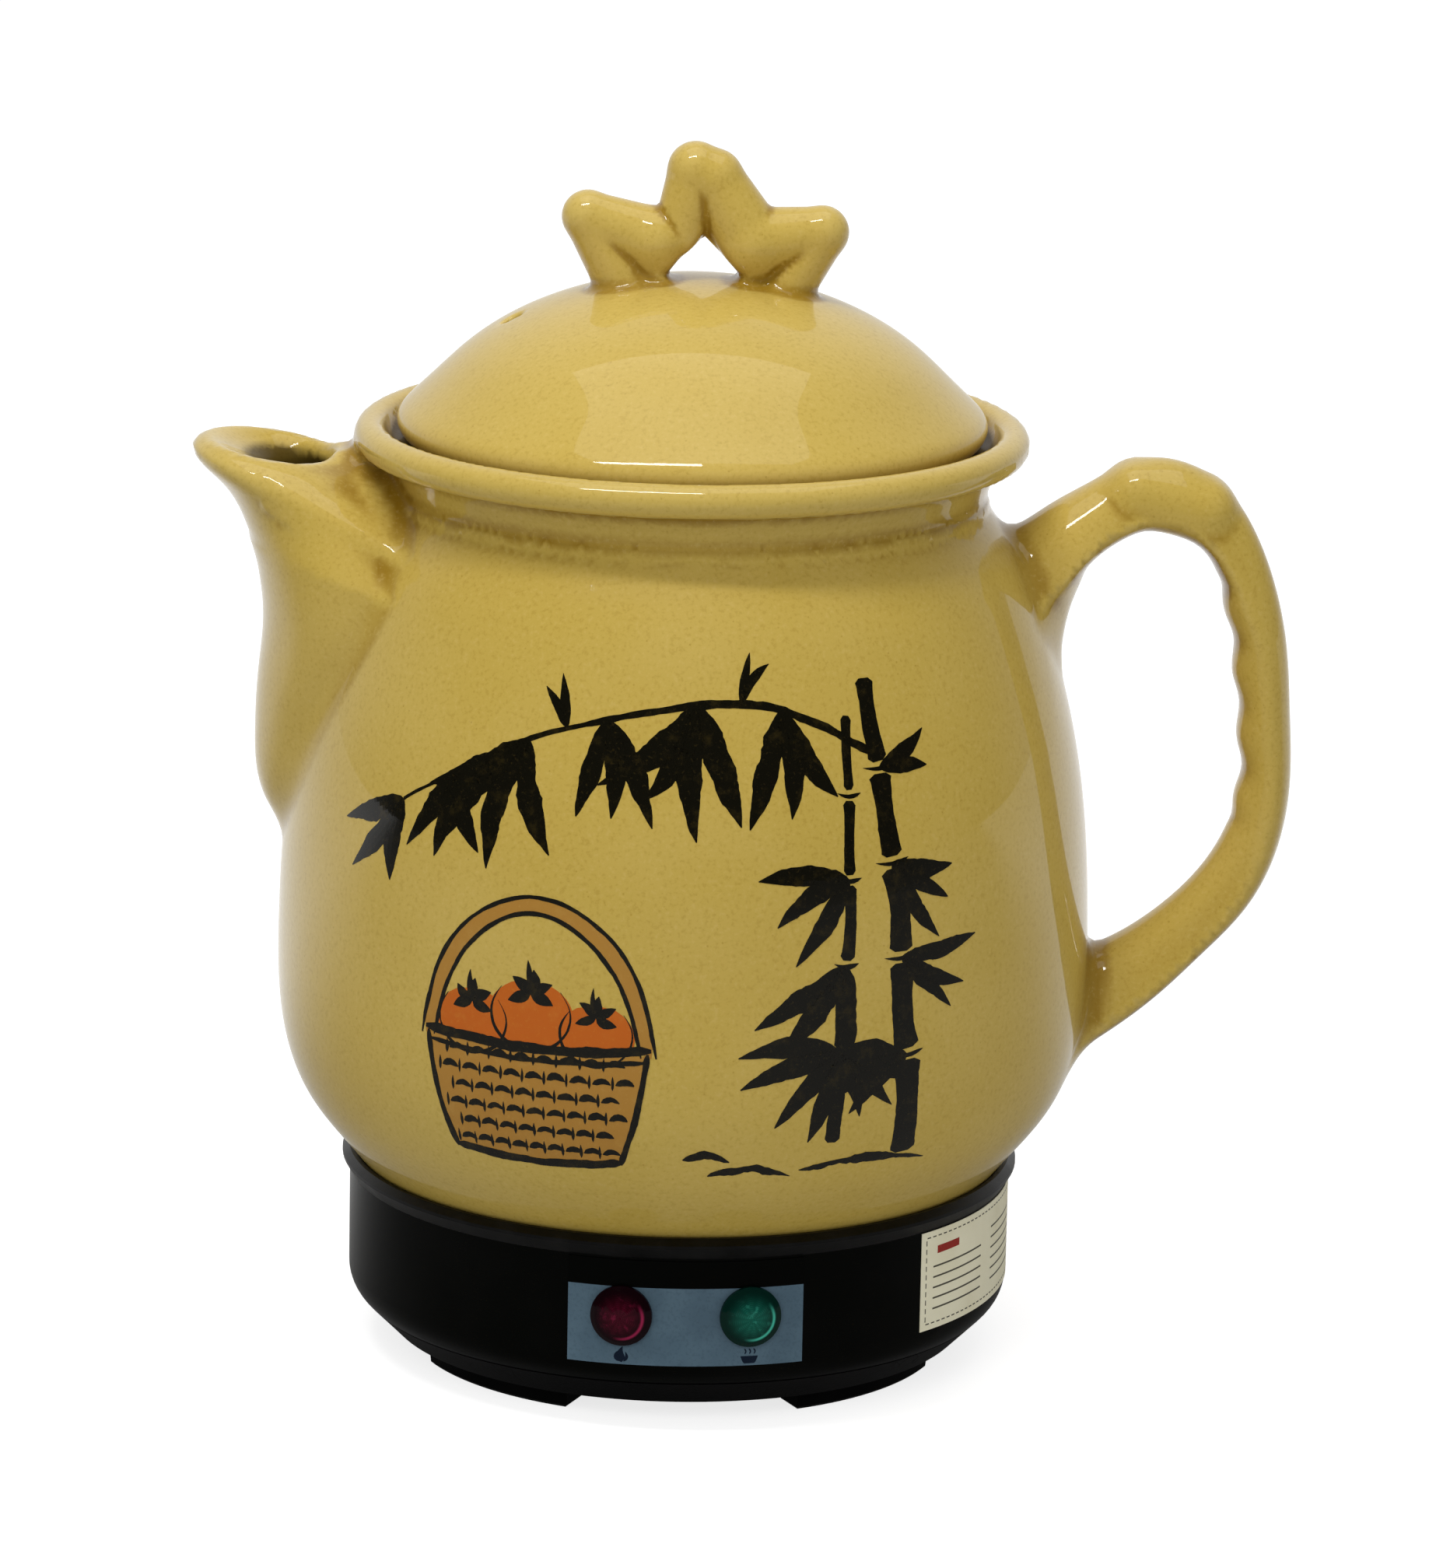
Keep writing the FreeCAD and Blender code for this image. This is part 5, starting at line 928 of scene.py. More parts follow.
class Skin:
    """The closed mesh over a form's surface."""

    # spacing of the readings for normals and bends, and the bends at which folds and edges start and end
    NORMAL_STEP = 0.45
    BEND_STEP = 2.2
    FOLD = (0.01, 0.22)
    EDGE = (0.10, 0.62)

    def __init__(self, form: Form, step: float) -> None:
        """Keep the form and the mesh size in millimetres."""
        self.form = form
        self.step = step

    def grid(self) -> tuple[Field, Field]:
        """Distances on a grid, and the grid's low corner.

        Returns:
            The distances and the corner.
        """
        low = np.array(self.form.low, float)
        axes = [np.arange(low[axis], self.form.high[axis] + self.step, self.step) for axis in range(3)]
        x, y, z = axes[0][:, None, None], axes[1][None, :, None], axes[2][None, None, :]
        return np.broadcast_to(self.form.distance(x, y, z), tuple(len(axis) for axis in axes)), low

    @staticmethod
    def corner_points(values: Field, cells: Field) -> Field:
        """The middle of the crossings on each cell's edges, in cells.

        Args:
            values: distances on the grid.
            cells: indices of the cells that the surface crosses.

        Returns:
            A point for each cell.
        """
        total = np.zeros((len(cells), 3))
        count = np.zeros(len(cells))
        for axis in range(3):
            side, rise = [other for other in range(3) if other != axis]
            for first, second in product((0, 1), repeat=2):
                offset = np.zeros(3, int)
                offset[side], offset[rise] = first, second
                near = cells + offset
                far = near.copy()
                far[:, axis] += 1
                start, end = values[tuple(near.T)], values[tuple(far.T)]
                crosses = (start < 0) != (end < 0)
                share = np.where(crosses, start / np.where(crosses, start - end, 1.0), 0.0)
                spot = near - cells + 0.0
                spot[:, axis] += share
                total += np.where(crosses[:, None], spot, 0.0)
                count += crosses
        return cells + total / count[:, None]

    @staticmethod
    def quads(inside: Field, number: Field) -> Field:
        """Faces round every grid edge that the surface crosses.

        Args:
            inside: true where the grid lies inside.
            number: each cell's point.

        Returns:
            The faces.
        """
        faces = []
        for axis in range(3):
            side, rise = (axis + 1) % 3, (axis + 2) % 3
            here = [slice(None)] * 3
            there = [slice(None)] * 3
            here[axis], there[axis] = slice(0, -1), slice(1, None)
            crosses = np.argwhere(inside[tuple(here)] != inside[tuple(there)])
            limit = np.array(number.shape)
            keep = (crosses[:, side] > 0) & (crosses[:, rise] > 0)
            keep &= (crosses[:, side] < limit[side]) & (crosses[:, rise] < limit[rise])
            crosses = crosses[keep]
            ring = []
            for first, second in ((0, 0), (1, 0), (1, 1), (0, 1)):
                spot = crosses.copy()
                spot[:, side] -= first
                spot[:, rise] -= second
                ring.append(number[tuple(spot.T)])
            ring = np.stack(ring, axis=1)
            outward = inside[tuple(crosses.T)]
            faces.append(np.where(outward[:, None], ring, ring[:, ::-1]))
        return np.concatenate(faces)

    def build(self, name: str) -> bpy.types.Object:
        """Make the mesh object, with its normals, the glaze's fold and edge values and its painted shade.

        Args:
            name: the object's name.

        Returns:
            The object.
        """
        values, low = self.grid()
        inside = values < 0
        count = np.zeros(tuple(size - 1 for size in values.shape), np.int8)
        for first, second, third in product((0, 1), repeat=3):
            part = inside[first:, second:, third:]
            count += part[: count.shape[0], : count.shape[1], : count.shape[2]]
        cells = np.argwhere((count > 0) & (count < 8))
        number = np.full(count.shape, -1)
        number[tuple(cells.T)] = np.arange(len(cells))
        points = low + self.corner_points(values, cells) * self.step
        for _ in range(3):
            distance, way, _ = self.form.slope(points, self.step * 0.3)
            move = distance / np.maximum((way**2).sum(axis=1), 0.2)
            points = points - np.clip(move, -self.step, self.step)[:, None] * way
        _, normals, _ = self.form.slope(points, self.NORMAL_STEP)
        normals /= np.linalg.norm(normals, axis=1)[:, None]
        _, _, bend = self.form.slope(points, self.BEND_STEP)
        mesh = bpy.data.meshes.new(name)
        mesh.from_pydata((points * MM).tolist(), [], self.quads(inside, number).tolist())
        mesh.polygons.foreach_set("use_smooth", np.ones(len(mesh.polygons), bool))
        # the third share is painted shade in deep recesses; fold and edge mark where the glaze pools and runs
        # thin
        shares = {
            "fold": eased(-bend, *self.FOLD), "edge": eased(bend, *self.EDGE),
            "hidden": self.form.hidden(points),
        }
        for label, part in shares.items():
            mesh.attributes.new(label, "FLOAT", "POINT").data.foreach_set("value", part.astype(np.float32))
        mesh.normals_split_custom_set_from_vertices(normals.tolist())
        made = bpy.data.objects.new(name, mesh)
        bpy.context.collection.objects.link(made)
        return made


# ---------------------------------------------------------------- the jug


@dataclass(frozen=True)
class Saddle:
    """Saddle between the spout's mouth and the rim, which slopes to a crisp ridge on each side."""

    start: float = -97.3
    length: float = 28.5
    ends: Pair = (-100.6, -66.0)
    flat: float = 5.0
    top: float = 220.2
    ridge_side: Spot = (25.9, 8.6, 12.0)
    ridge_height: Pair = (215.6, 15.2)
    fall: float = 1.15
    ridge_round: float = 2.6
    thickness: float = 7.0

    def distance(self, x: Field, y: Field, z: Field) -> Field:
        """Distance to the saddle.

        Args:
            x: places along X.
            y: places along Y.
            z: heights.

        Returns:
            The distances.
        """
        run = np.clip((x - self.start) / self.length, -0.12, 1.4)
        ridge_side = self.ridge_side[0] + self.ridge_side[1] * run + self.ridge_side[2] * np.minimum(run, 0.0)
        ridge_height = self.ridge_height[0] - self.ridge_height[1] * run
        share = np.clip((np.abs(y) - self.flat) / (ridge_side - self.flat), 0.0, 1.3)
        top = self.top - (self.top - ridge_height) * share**self.fall
        sides = cut_back((z - top) * 0.88, (ridge_side - np.abs(y)) * 0.96, self.ridge_round)
        ends = np.maximum(self.ends[0] - x, x - self.ends[1])
        return np.maximum(sides, np.maximum(ends, ridge_height - self.thickness - z))


@dataclass(frozen=True)
class ThumbPad:
    """Round pad that slopes down along the handle's top."""

    start: Pair = (106.5, 211.6)
    length: float = 16.0
    fall: float = 3.6
    half_width: float = 3.6
    radius: float = 7.3

    def distance(self, x: Field, y: Field, z: Field) -> Field:
        """Distance to the pad.

        Args:
            x: places along X.
            y: places along Y.
            z: heights.

        Returns:
            The distances.
        """
        run = np.clip((x - self.start[0]) / self.length, 0.0, 1.0)
        gap = (x - self.start[0] - self.length * run) ** 2 + (z - self.start[1] + self.fall * run) ** 2
        return np.sqrt(gap + np.maximum(np.abs(y) - self.half_width, 0.0) ** 2) - self.radius


@dataclass(frozen=True)
class Rod:
    """Tapered rod with round ends, in the plane that the handle and the knob lie in."""

    start: Pair
    end: Pair
    reach: Pair
    squash: float = 1.0

    def distance(self, x: Field, y: Field, z: Field) -> Field:
        """Distance to the rod.

        Args:
            x: places along X.
            y: places along Y.
            z: heights.

        Returns:
            The distances.
        """
        run, rise = self.end[0] - self.start[0], self.end[1] - self.start[1]
        ahead, above = x - self.start[0], z - self.start[1]
        share = np.clip((ahead * run + above * rise) / (run * run + rise * rise), 0.0, 1.0)
        gap = (ahead - share * run) ** 2 + (above - share * rise) ** 2
        reach = self.reach[0] + (self.reach[1] - self.reach[0]) * share
        return np.sqrt(gap + (y * self.squash) ** 2) - reach


@dataclass
class Jug(Form):
    """Turned jug with rolled rim, beak spout and loop handle, glazed as one."""

    stations: Rows = (
        (67.6, 34.0), (78.3, 48.0), (90.8, 64.0), (97.64, 106.0), (94.4, 146.0), (84.4, 184.0), (77.0, 199.6),
        (70.7, 209.5),
    )
    foot_way: Pair = (0.72, 0.70)
    neck_way: Pair = (-0.28, 0.96)
    rim: Pair = (76.4, 223.5)
    rim_roll: float = 4.0
    cove: float = 2.6
    seat: float = 222.9
    throat: float = 65.0
    wall: float = 6.0
    floor: float = 45.5
    recess: Pair = (58.0, 37.8)
    # an outline's corners inside the axis, and the tables' low and high ends and reach
    core: float = -40.0
    table: Spot = (28.0, 234.0, 152.0)
    # drop below the lip, distance inwards from the reach, half length, half width, slope towards the jug
    spout_shoulder: Rows = (
        (0.0, 18.9, 17.2, 20.4, 0.16), (1.6, 19.2, 19.0, 22.4, 0.16), (12.0, 31.5, 27.0, 29.2, 0.20),
        (29.0, 45.0, 32.4, 38.0, 0.29),
    )
    spout_side: Rows = (
        (29.0, 45.0, 32.4, 38.0, 0.29), (40.0, 41.0, 24.9, 36.8, 0.12), (53.0, 39.0, 23.6, 33.0, 0.0),
        (69.6, 39.5, 25.0, 27.5, 0.0), (83.6, 41.0, 25.0, 21.0, 0.0), (95.6, 42.0, 18.0, 9.0, 0.0),
        (104.0, 43.0, 8.0, 2.0, 0.0),
    )
    channel: Rows = (
        (-7.0, 14.5, 19.5, 22.5, 0.16), (0.0, 18.2, 14.8, 18.0, 0.16), (4.6, 22.8, 9.4, 13.8, 0.16),
        (12.0, 27.0, 11.0, 16.0, 0.15), (29.0, 36.0, 19.0, 24.0, 0.1), (40.0, 38.5, 18.0, 28.0, 0.05),
        (53.0, 39.0, 19.2, 28.6, 0.0), (69.6, 39.5, 20.6, 23.0, 0.0), (85.0, 41.0, 18.0, 14.0, 0.0),
    )
    spout_lip: float = 220.6
    spout_reach: float = 118.15
    spout_end: float = 101.0
    lip_round: float = 4.2
    loft_scale: float = 0.86
    # the mouth's middle and slope, the drops between which painted shade darkens the channel, and the heights
    # under the lid where painted shadow falls
    mouth: Pair = (-99.4, 0.16)
    channel_dark: Pair = (2.4, 3.8)
    under_lid_dark: Pair = (224.6, 223.2)
    channel_floor: float = 142.0
    section_step: float = 0.1
    section_blend: int = 26
    saddle: Saddle = Saddle()
    # strainer holes: lowest row's height, step between rows, radius, half depth; then places along Y by row
    holes: Rows = ((148.0, 8.0, 2.4, 6.0), (-8.0, 0.0, 8.0), (-4.0, 4.0))
    hole_rows: int = 5
    # distance inwards from the reach, height, half thickness, half width beyond the grip's own
    handle_path: Rows = (
        (68.0, 186.0, 11.0, 7.0), (56.0, 200.5, 8.2, 4.2), (46.0, 207.3, 7.5, 1.9), (35.5, 211.3, 8.3, 0.6),
        (24.5, 208.2, 7.8, 0.4), (16.2, 199.5, 6.4, 0.0), (11.6, 188.5, 6.3, 0.0), (8.6, 175.0, 6.5, 0.0),
        (6.9, 158.0, 6.3, 0.0), (6.2, 141.0, 6.2, 0.0), (8.6, 127.5, 6.6, 0.0), (15.0, 114.8, 7.2, 0.0),
        (25.0, 104.0, 7.4, 0.8), (37.5, 93.8, 8.6, 3.4), (57.0, 83.2, 11.2, 7.6),
    )
    handle_reach: float = 145.6
    grip: float = 10.5
    crown_power: float = 2.4
    ridge_power: float = 1.5
    # finger waves: depth, height of a crest, spacing; then the heights between which they fade out
    finger_wave: Spot = (0.6, 185.0, 16.2)
    wave_fades: Rows = ((126.0, 134.0), (196.0, 189.0))
    # heights between which the strap's ridge moves to its outer and to its inner side
    ridge_moves: Rows = ((165.0, 203.0), (160.0, 96.0))
    thumb_pad: ThumbPad = ThumbPad()
    web: Rod = Rod((82.5, 191.0), (80.3, 173.0), (9.6, 8.0), 0.9)
    handle_samples: int = 420
    saddle_fillet: float = 2.4
    spout_fillet: float = 4.0
    pad_fillet: float = 2.2
    web_fillet: float = 6.0
    handle_fillet: float = 5.0
    cut_round: float = 2.0
    low: Spot = (-121.0, -99.3, 31.4)
    high: Spot = (148.0, 99.0, 230.0)
    step: float = 2.0

    def __post_init__(self) -> None:
        """Work out the tables."""
        wall = Curve(self.stations, self.foot_way, self.neck_way).sampled(160)
        self.profile = wall
        neck = wall[-1]
        roll = arc(self.rim, self.rim_roll, -120, 155, 34)
        middle = (neck + roll[0]) / 2 + (-0.9, 0.6)
        flare = Curve([neck, middle, roll[0]], self.neck_way, (0.87, 0.5)).sampled(16)
        cove = self.rim[0] - self.rim_roll - self.cove
        rim_core = np.array([(cove, self.seat), (self.core, self.seat), (self.core, 200.0)])
        body = np.concatenate([wall, [(self.core, neck[1]), (self.core, self.stations[0][1])]])
        collar = np.concatenate([[(neck[0] - 4, 203.0)], [neck], flare, roll, rim_core])
        self.outside = TurnedField([body, collar], 1.6, *self.table)
        inner = Curve([(self.stations[0][0] - 12, self.floor), (72.3, 51.3)]
                      + [(radius - self.wall, height) for radius, height in self.stations[2:]]).sampled(120)
        throat = arc((self.throat + 2.2, self.seat - 2.2), 2.2, 180, 90, 6)
        ledge = arc((cove, self.seat + self.cove), self.cove, -90, 0, 8)
        top = np.array([(cove + self.cove, 250.0), (self.core, 250.0), (self.core, self.floor)])
        self.inside = TurnedField([np.concatenate([inner[:-1], throat, ledge, top])], 1.0, *self.table)
        self.set_spout()
        self.set_handle()

    def set_spout(self) -> None:
        """Tables of the spout's sections by drop below the lip."""
        shoulder, side = np.array(self.spout_shoulder), np.array(self.spout_side)
        drops = np.arange(0.0, side[-1, 0] + self.section_step / 10, self.section_step)
        upper = Curve(shoulder[:, 1:], knots=shoulder[:, 0]).at(drops)
        lower = Curve(side[:, 1:], knots=side[:, 0]).at(drops)
        rows = np.where((drops < side[0, 0])[:, None], upper, lower)
        width = self.section_blend
        kernel = np.hanning(width + 1) / np.hanning(width + 1).sum()
        padded = np.pad(rows, ((width // 2, width // 2), (0, 0)), mode="edge")
        self.drops = drops
        self.sections = [np.convolve(padded[:, column], kernel, mode="valid") for column in range(4)]
        inner = np.array(self.channel)
        self.channel_drops = np.arange(inner[0, 0], inner[-1, 0], 0.2)
        self.channel_sections = Curve(inner[:, 1:], knots=inner[:, 0]).at(self.channel_drops).T

    def set_handle(self) -> None:
        """Samples along the handle's middle line."""
        rows = np.array(self.handle_path)
        points = np.stack([self.handle_reach - rows[:, 0], rows[:, 1]], axis=1)
        line = Curve(points)
        places = np.linspace(line.knots[0], line.knots[-1], self.handle_samples)
        self.path = line.at(places)
        way = np.gradient(self.path, axis=0)
        self.path_way = way / np.linalg.norm(way, axis=1)[:, None]
        sizes = Curve(rows[:, 2:], knots=line.knots).at(places)
        self.path_half, self.path_wide = sizes[:, 0], sizes[:, 1] + self.grip
        self.path_run = places

    def loft_distance(
        self, drops: Field, sections: Sequence[Field], x: Field, y: Field, z: Field
    ) -> tuple[Field, Field]:
        """Distance to a loft of ovals hung below the lip.

        Args:
            drops: drops below the lip that the sections are listed at.
            sections: distance inwards, half length, half width and slope at those drops.
            x: places along X.
            y: places along Y.
            z: heights.

        Returns:
            The sideways distance, and each place's own drop.
        """
        drop = self.spout_lip - z + 0.0 * x
        for _ in range(3):
            inward = np.interp(drop, drops, sections[0])
            slope = np.interp(drop, drops, sections[3])
            drop = self.spout_lip - z - slope * (x - inward + self.spout_reach)
        inward, long, wide, slope = (np.interp(drop, drops, column) for column in sections)
        ahead = x - inward + self.spout_reach
        long, wide = np.maximum(long, 1.0), np.maximum(wide, 1.0)
        unit = np.sqrt((ahead / long) ** 2 + (y / wide) ** 2) + 1e-6
        steep = np.sqrt((ahead / long**2) ** 2 + (y / wide**2) ** 2) + 1e-6
        return unit * (unit - 1) / steep * self.loft_scale, drop

    def spout_distance(self, x: Field, y: Field, z: Field) -> Field:
        """Distance to the spout's outer form.

        Args:
            x: places along X.
            y: places along Y.
            z: heights.

        Returns:
            The distances.
        """
        side, drop = self.loft_distance(self.drops, self.sections, x, y, z)
        lip = (-drop - 0.2) * 0.985
        return np.maximum(cut_back(side, -lip, self.lip_round), drop - self.spout_end)

    def channel_distance(self, x: Field, y: Field, z: Field) -> Field:
        """Distance to the spout's channel, with its funnel at the mouth."""
        side, drop = self.loft_distance(self.channel_drops, self.channel_sections, x, y, z)
        return np.maximum(np.maximum(side, self.channel_floor - z), -drop - 6.5)

    def nearest_sample(self, x: Field, z: Field) -> Field:
        """The sample of the handle's middle line that lies nearest to each place.

        Args:
            x: places along X.
            z: heights.

        Returns:
            The samples' indices.
        """
        flat_x, flat_z = x.ravel(), z.ravel()
        index = np.empty(flat_x.size, int)
        batch = 20000
        for start in range(0, flat_x.size, batch):
            part = slice(start, start + batch)
            ahead = flat_x[part, None] - self.path[None, :, 0]
            above = flat_z[part, None] - self.path[None, :, 1]
            index[part] = (ahead**2 + above**2).argmin(axis=1)
        return index.reshape(x.shape)

    def handle_distance(self, x: Field, y: Field, z: Field) -> Field:
        """Distance to the handle, with finger waves inside and the thumb pad on top.

        Args:
            x: places along X.
            y: places along Y.
            z: heights.

        Returns:
            The distances.
        """
        x, z = np.broadcast_arrays(x, z)
        index = self.nearest_sample(x, z)
        ahead, above = x - self.path[index, 0], z - self.path[index, 1]
        way = self.path_way[index]
        along = ahead * way[..., 0] + above * way[..., 1]
        out = above * way[..., 0] - ahead * way[..., 1]
        run = self.path_run[index] + along
        half = np.interp(run, self.path_run, self.path_half)
        wide = np.interp(run, self.path_run, self.path_wide)
        height = self.path[index, 1] + along * way[..., 1]
        fade_low, fade_high = self.wave_fades
        grip = eased(height, *fade_low) * eased(height, *fade_high) * eased(-out / half, -0.3, 0.75)
        deep, crest, pitch = self.finger_wave
        half = half + deep * grip * np.cos(2 * np.pi * (height - crest) / pitch)
        lean = eased(height, *self.ridge_moves[0]) - eased(height, *self.ridge_moves[1])
        ridge = -0.6 * half * lean
        tall = np.where(out > ridge, half - ridge, half + ridge)
        flat, rise = np.abs(y) / (wide * 0.99), np.abs(out - ridge) / tall
        over = flat**self.crown_power + rise**self.ridge_power - 1
        steep_flat = self.crown_power * flat ** (self.crown_power - 1) / wide
        steep_rise = self.ridge_power * rise ** (self.ridge_power - 1) / tall
        strap = over / np.maximum(np.sqrt(steep_flat**2 + steep_rise**2), 0.8 / wide)
        return joined(strap, self.thumb_pad.distance(x, y, z), self.pad_fillet)

    def distance(self, x: Field, y: Field, z: Field) -> Field:
        """Distance to the whole jug.

        Args:
            x: places along X.
            y: places along Y.
            z: heights.

        Returns:
            The distances.
        """
        ring = np.sqrt(x * x + y * y)
        jug = self.outside.read(ring, z)
        spout = joined(self.spout_distance(x, y, z), self.saddle.distance(x, y, z), self.saddle_fillet)
        solid = joined(jug, spout, self.spout_fillet)
        handle = joined(self.handle_distance(x, y, z), self.web.distance(x, y, z), self.web_fillet)
        solid = joined(solid, handle, self.handle_fillet)
        hollow = self.inside.read(ring, z)
        channel = cut_back(self.channel_distance(x, y, z), jug, 1.0)
        tool = np.minimum(hollow, channel)
        tool = np.minimum(tool, self.holes_distance(x, y, z))
        tool = np.minimum(tool, np.maximum(ring - self.recess[0], z - self.recess[1]))
        return cut_back(solid, tool, self.cut_round)

    def holes_distance(self, x: Field, y: Field, z: Field) -> Field:
        """Distance to the strainer holes between jug and spout.

        Args:
            x: places along X.
            y: places along Y.
            z: heights.

        Returns:
            The distances.
        """
        (low, pitch, hole, deep), *offsets = self.holes
        nearest = np.full(np.broadcast(x, y, z).shape, 50.0)
        for row in range(self.hole_rows):
            height = low + pitch * row
            radius = self.radius_at(height)
            for offset in offsets[row % 2]:
                across = np.sqrt((y - offset) ** 2 + (z - height) ** 2) - hole
                nearest = np.minimum(nearest, np.maximum(across, np.abs(x + radius - self.wall / 2) - deep))
        return nearest

    def hidden(self, points: Field) -> Field:
        """Share of painted shade at points down the spout and under the lid's edge.

        Args:
            points: rows of X, Y and Z.

        Returns:
            The shares.
        """
        x, y, z = points.T
        ring = np.sqrt(x * x + y * y)
        drop = self.spout_lip - z - self.mouth[1] * (x - self.mouth[0])
        in_spout = (ring > 72) & (x < -72) & (z > 140)
        # painted shade down the spout's channel, deeper with the drop below the lip
        down = eased(drop, *self.channel_dark) * (self.channel_distance(x, y, z) < 0.8) * in_spout
        # painted shadow under the lid's edge, on the seat and inside the neck
        under = eased(z, *self.under_lid_dark) * ((ring < 66.5) | (z > 221.0)) * (ring < 74.5) * (z > 185.0)
        return np.maximum(down, under)

    def radius_at(self, height: Field) -> Field:
        """Radius of the outer wall at heights."""
        return np.interp(height, self.profile[:, 1], self.profile[:, 0])

    def make(self) -> bpy.types.Object:
        """Build and dress the jug.

        Returns:
            The jug.
        """
        piece = Skin(self, self.step).build("glazed_jug")
        piece.data.materials.append(GLAZE.make())
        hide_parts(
            *(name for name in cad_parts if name.startswith("ceramic") and name != "ceramic_lid"))
        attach(piece, POT_BODY)
        return piece


# ---------------------------------------------------------------- brushwork and printed marks


@dataclass(frozen=True)
class Swelling:
    """A width that swells from a point and runs out to a point again."""

    half: float
    power: float = 0.8

    def __call__(self, share: Field) -> Field:
        """Half width at shares of the path."""
        return self.half * np.clip(np.sin(np.pi * share**0.8), 0.02, 1.0) ** self.power


@dataclass(frozen=True)
class Steady:
    """An even width with blunt ends that may flare a little."""

    half: float
    flare: float = 0.0

    def __call__(self, share: Field) -> Field:
        """Half width at shares of the path."""
        blunt = np.minimum(1.0, 14 * np.minimum(share, 1 - share) + 0.35)
        return self.half * (blunt + self.flare * (2 * share - 1) ** 4)


@dataclass(frozen=True)
class Spreading:
    """A width that grows or shrinks all the way along."""

    start: float
    gain: float
    power: float = 1.0

    def __call__(self, share: Field) -> Field:
        """Half width at shares of the path."""
        return self.start + self.gain * share**self.power


@dataclass(frozen=True)
class Disc:
    """The width of a round fruit, a little wider than tall."""

    radius: float

    def __call__(self, share: Field) -> Field:
        """Half width at shares of the path."""
        return self.radius * 1.08 * np.sqrt(np.clip(1 - (2 * share - 1) ** 2, 0.0, 1.0))


@dataclass(frozen=True)
class Flame:
    """The width of a small flame, full below and pointed above."""

    half: float = 1.3
    tip: float = 0.05

    def __call__(self, share: Field) -> Field:
        """Half width at shares of the path."""
        return self.half * np.sin(np.pi * share**0.7) * (1 - 0.5 * share) + self.tip


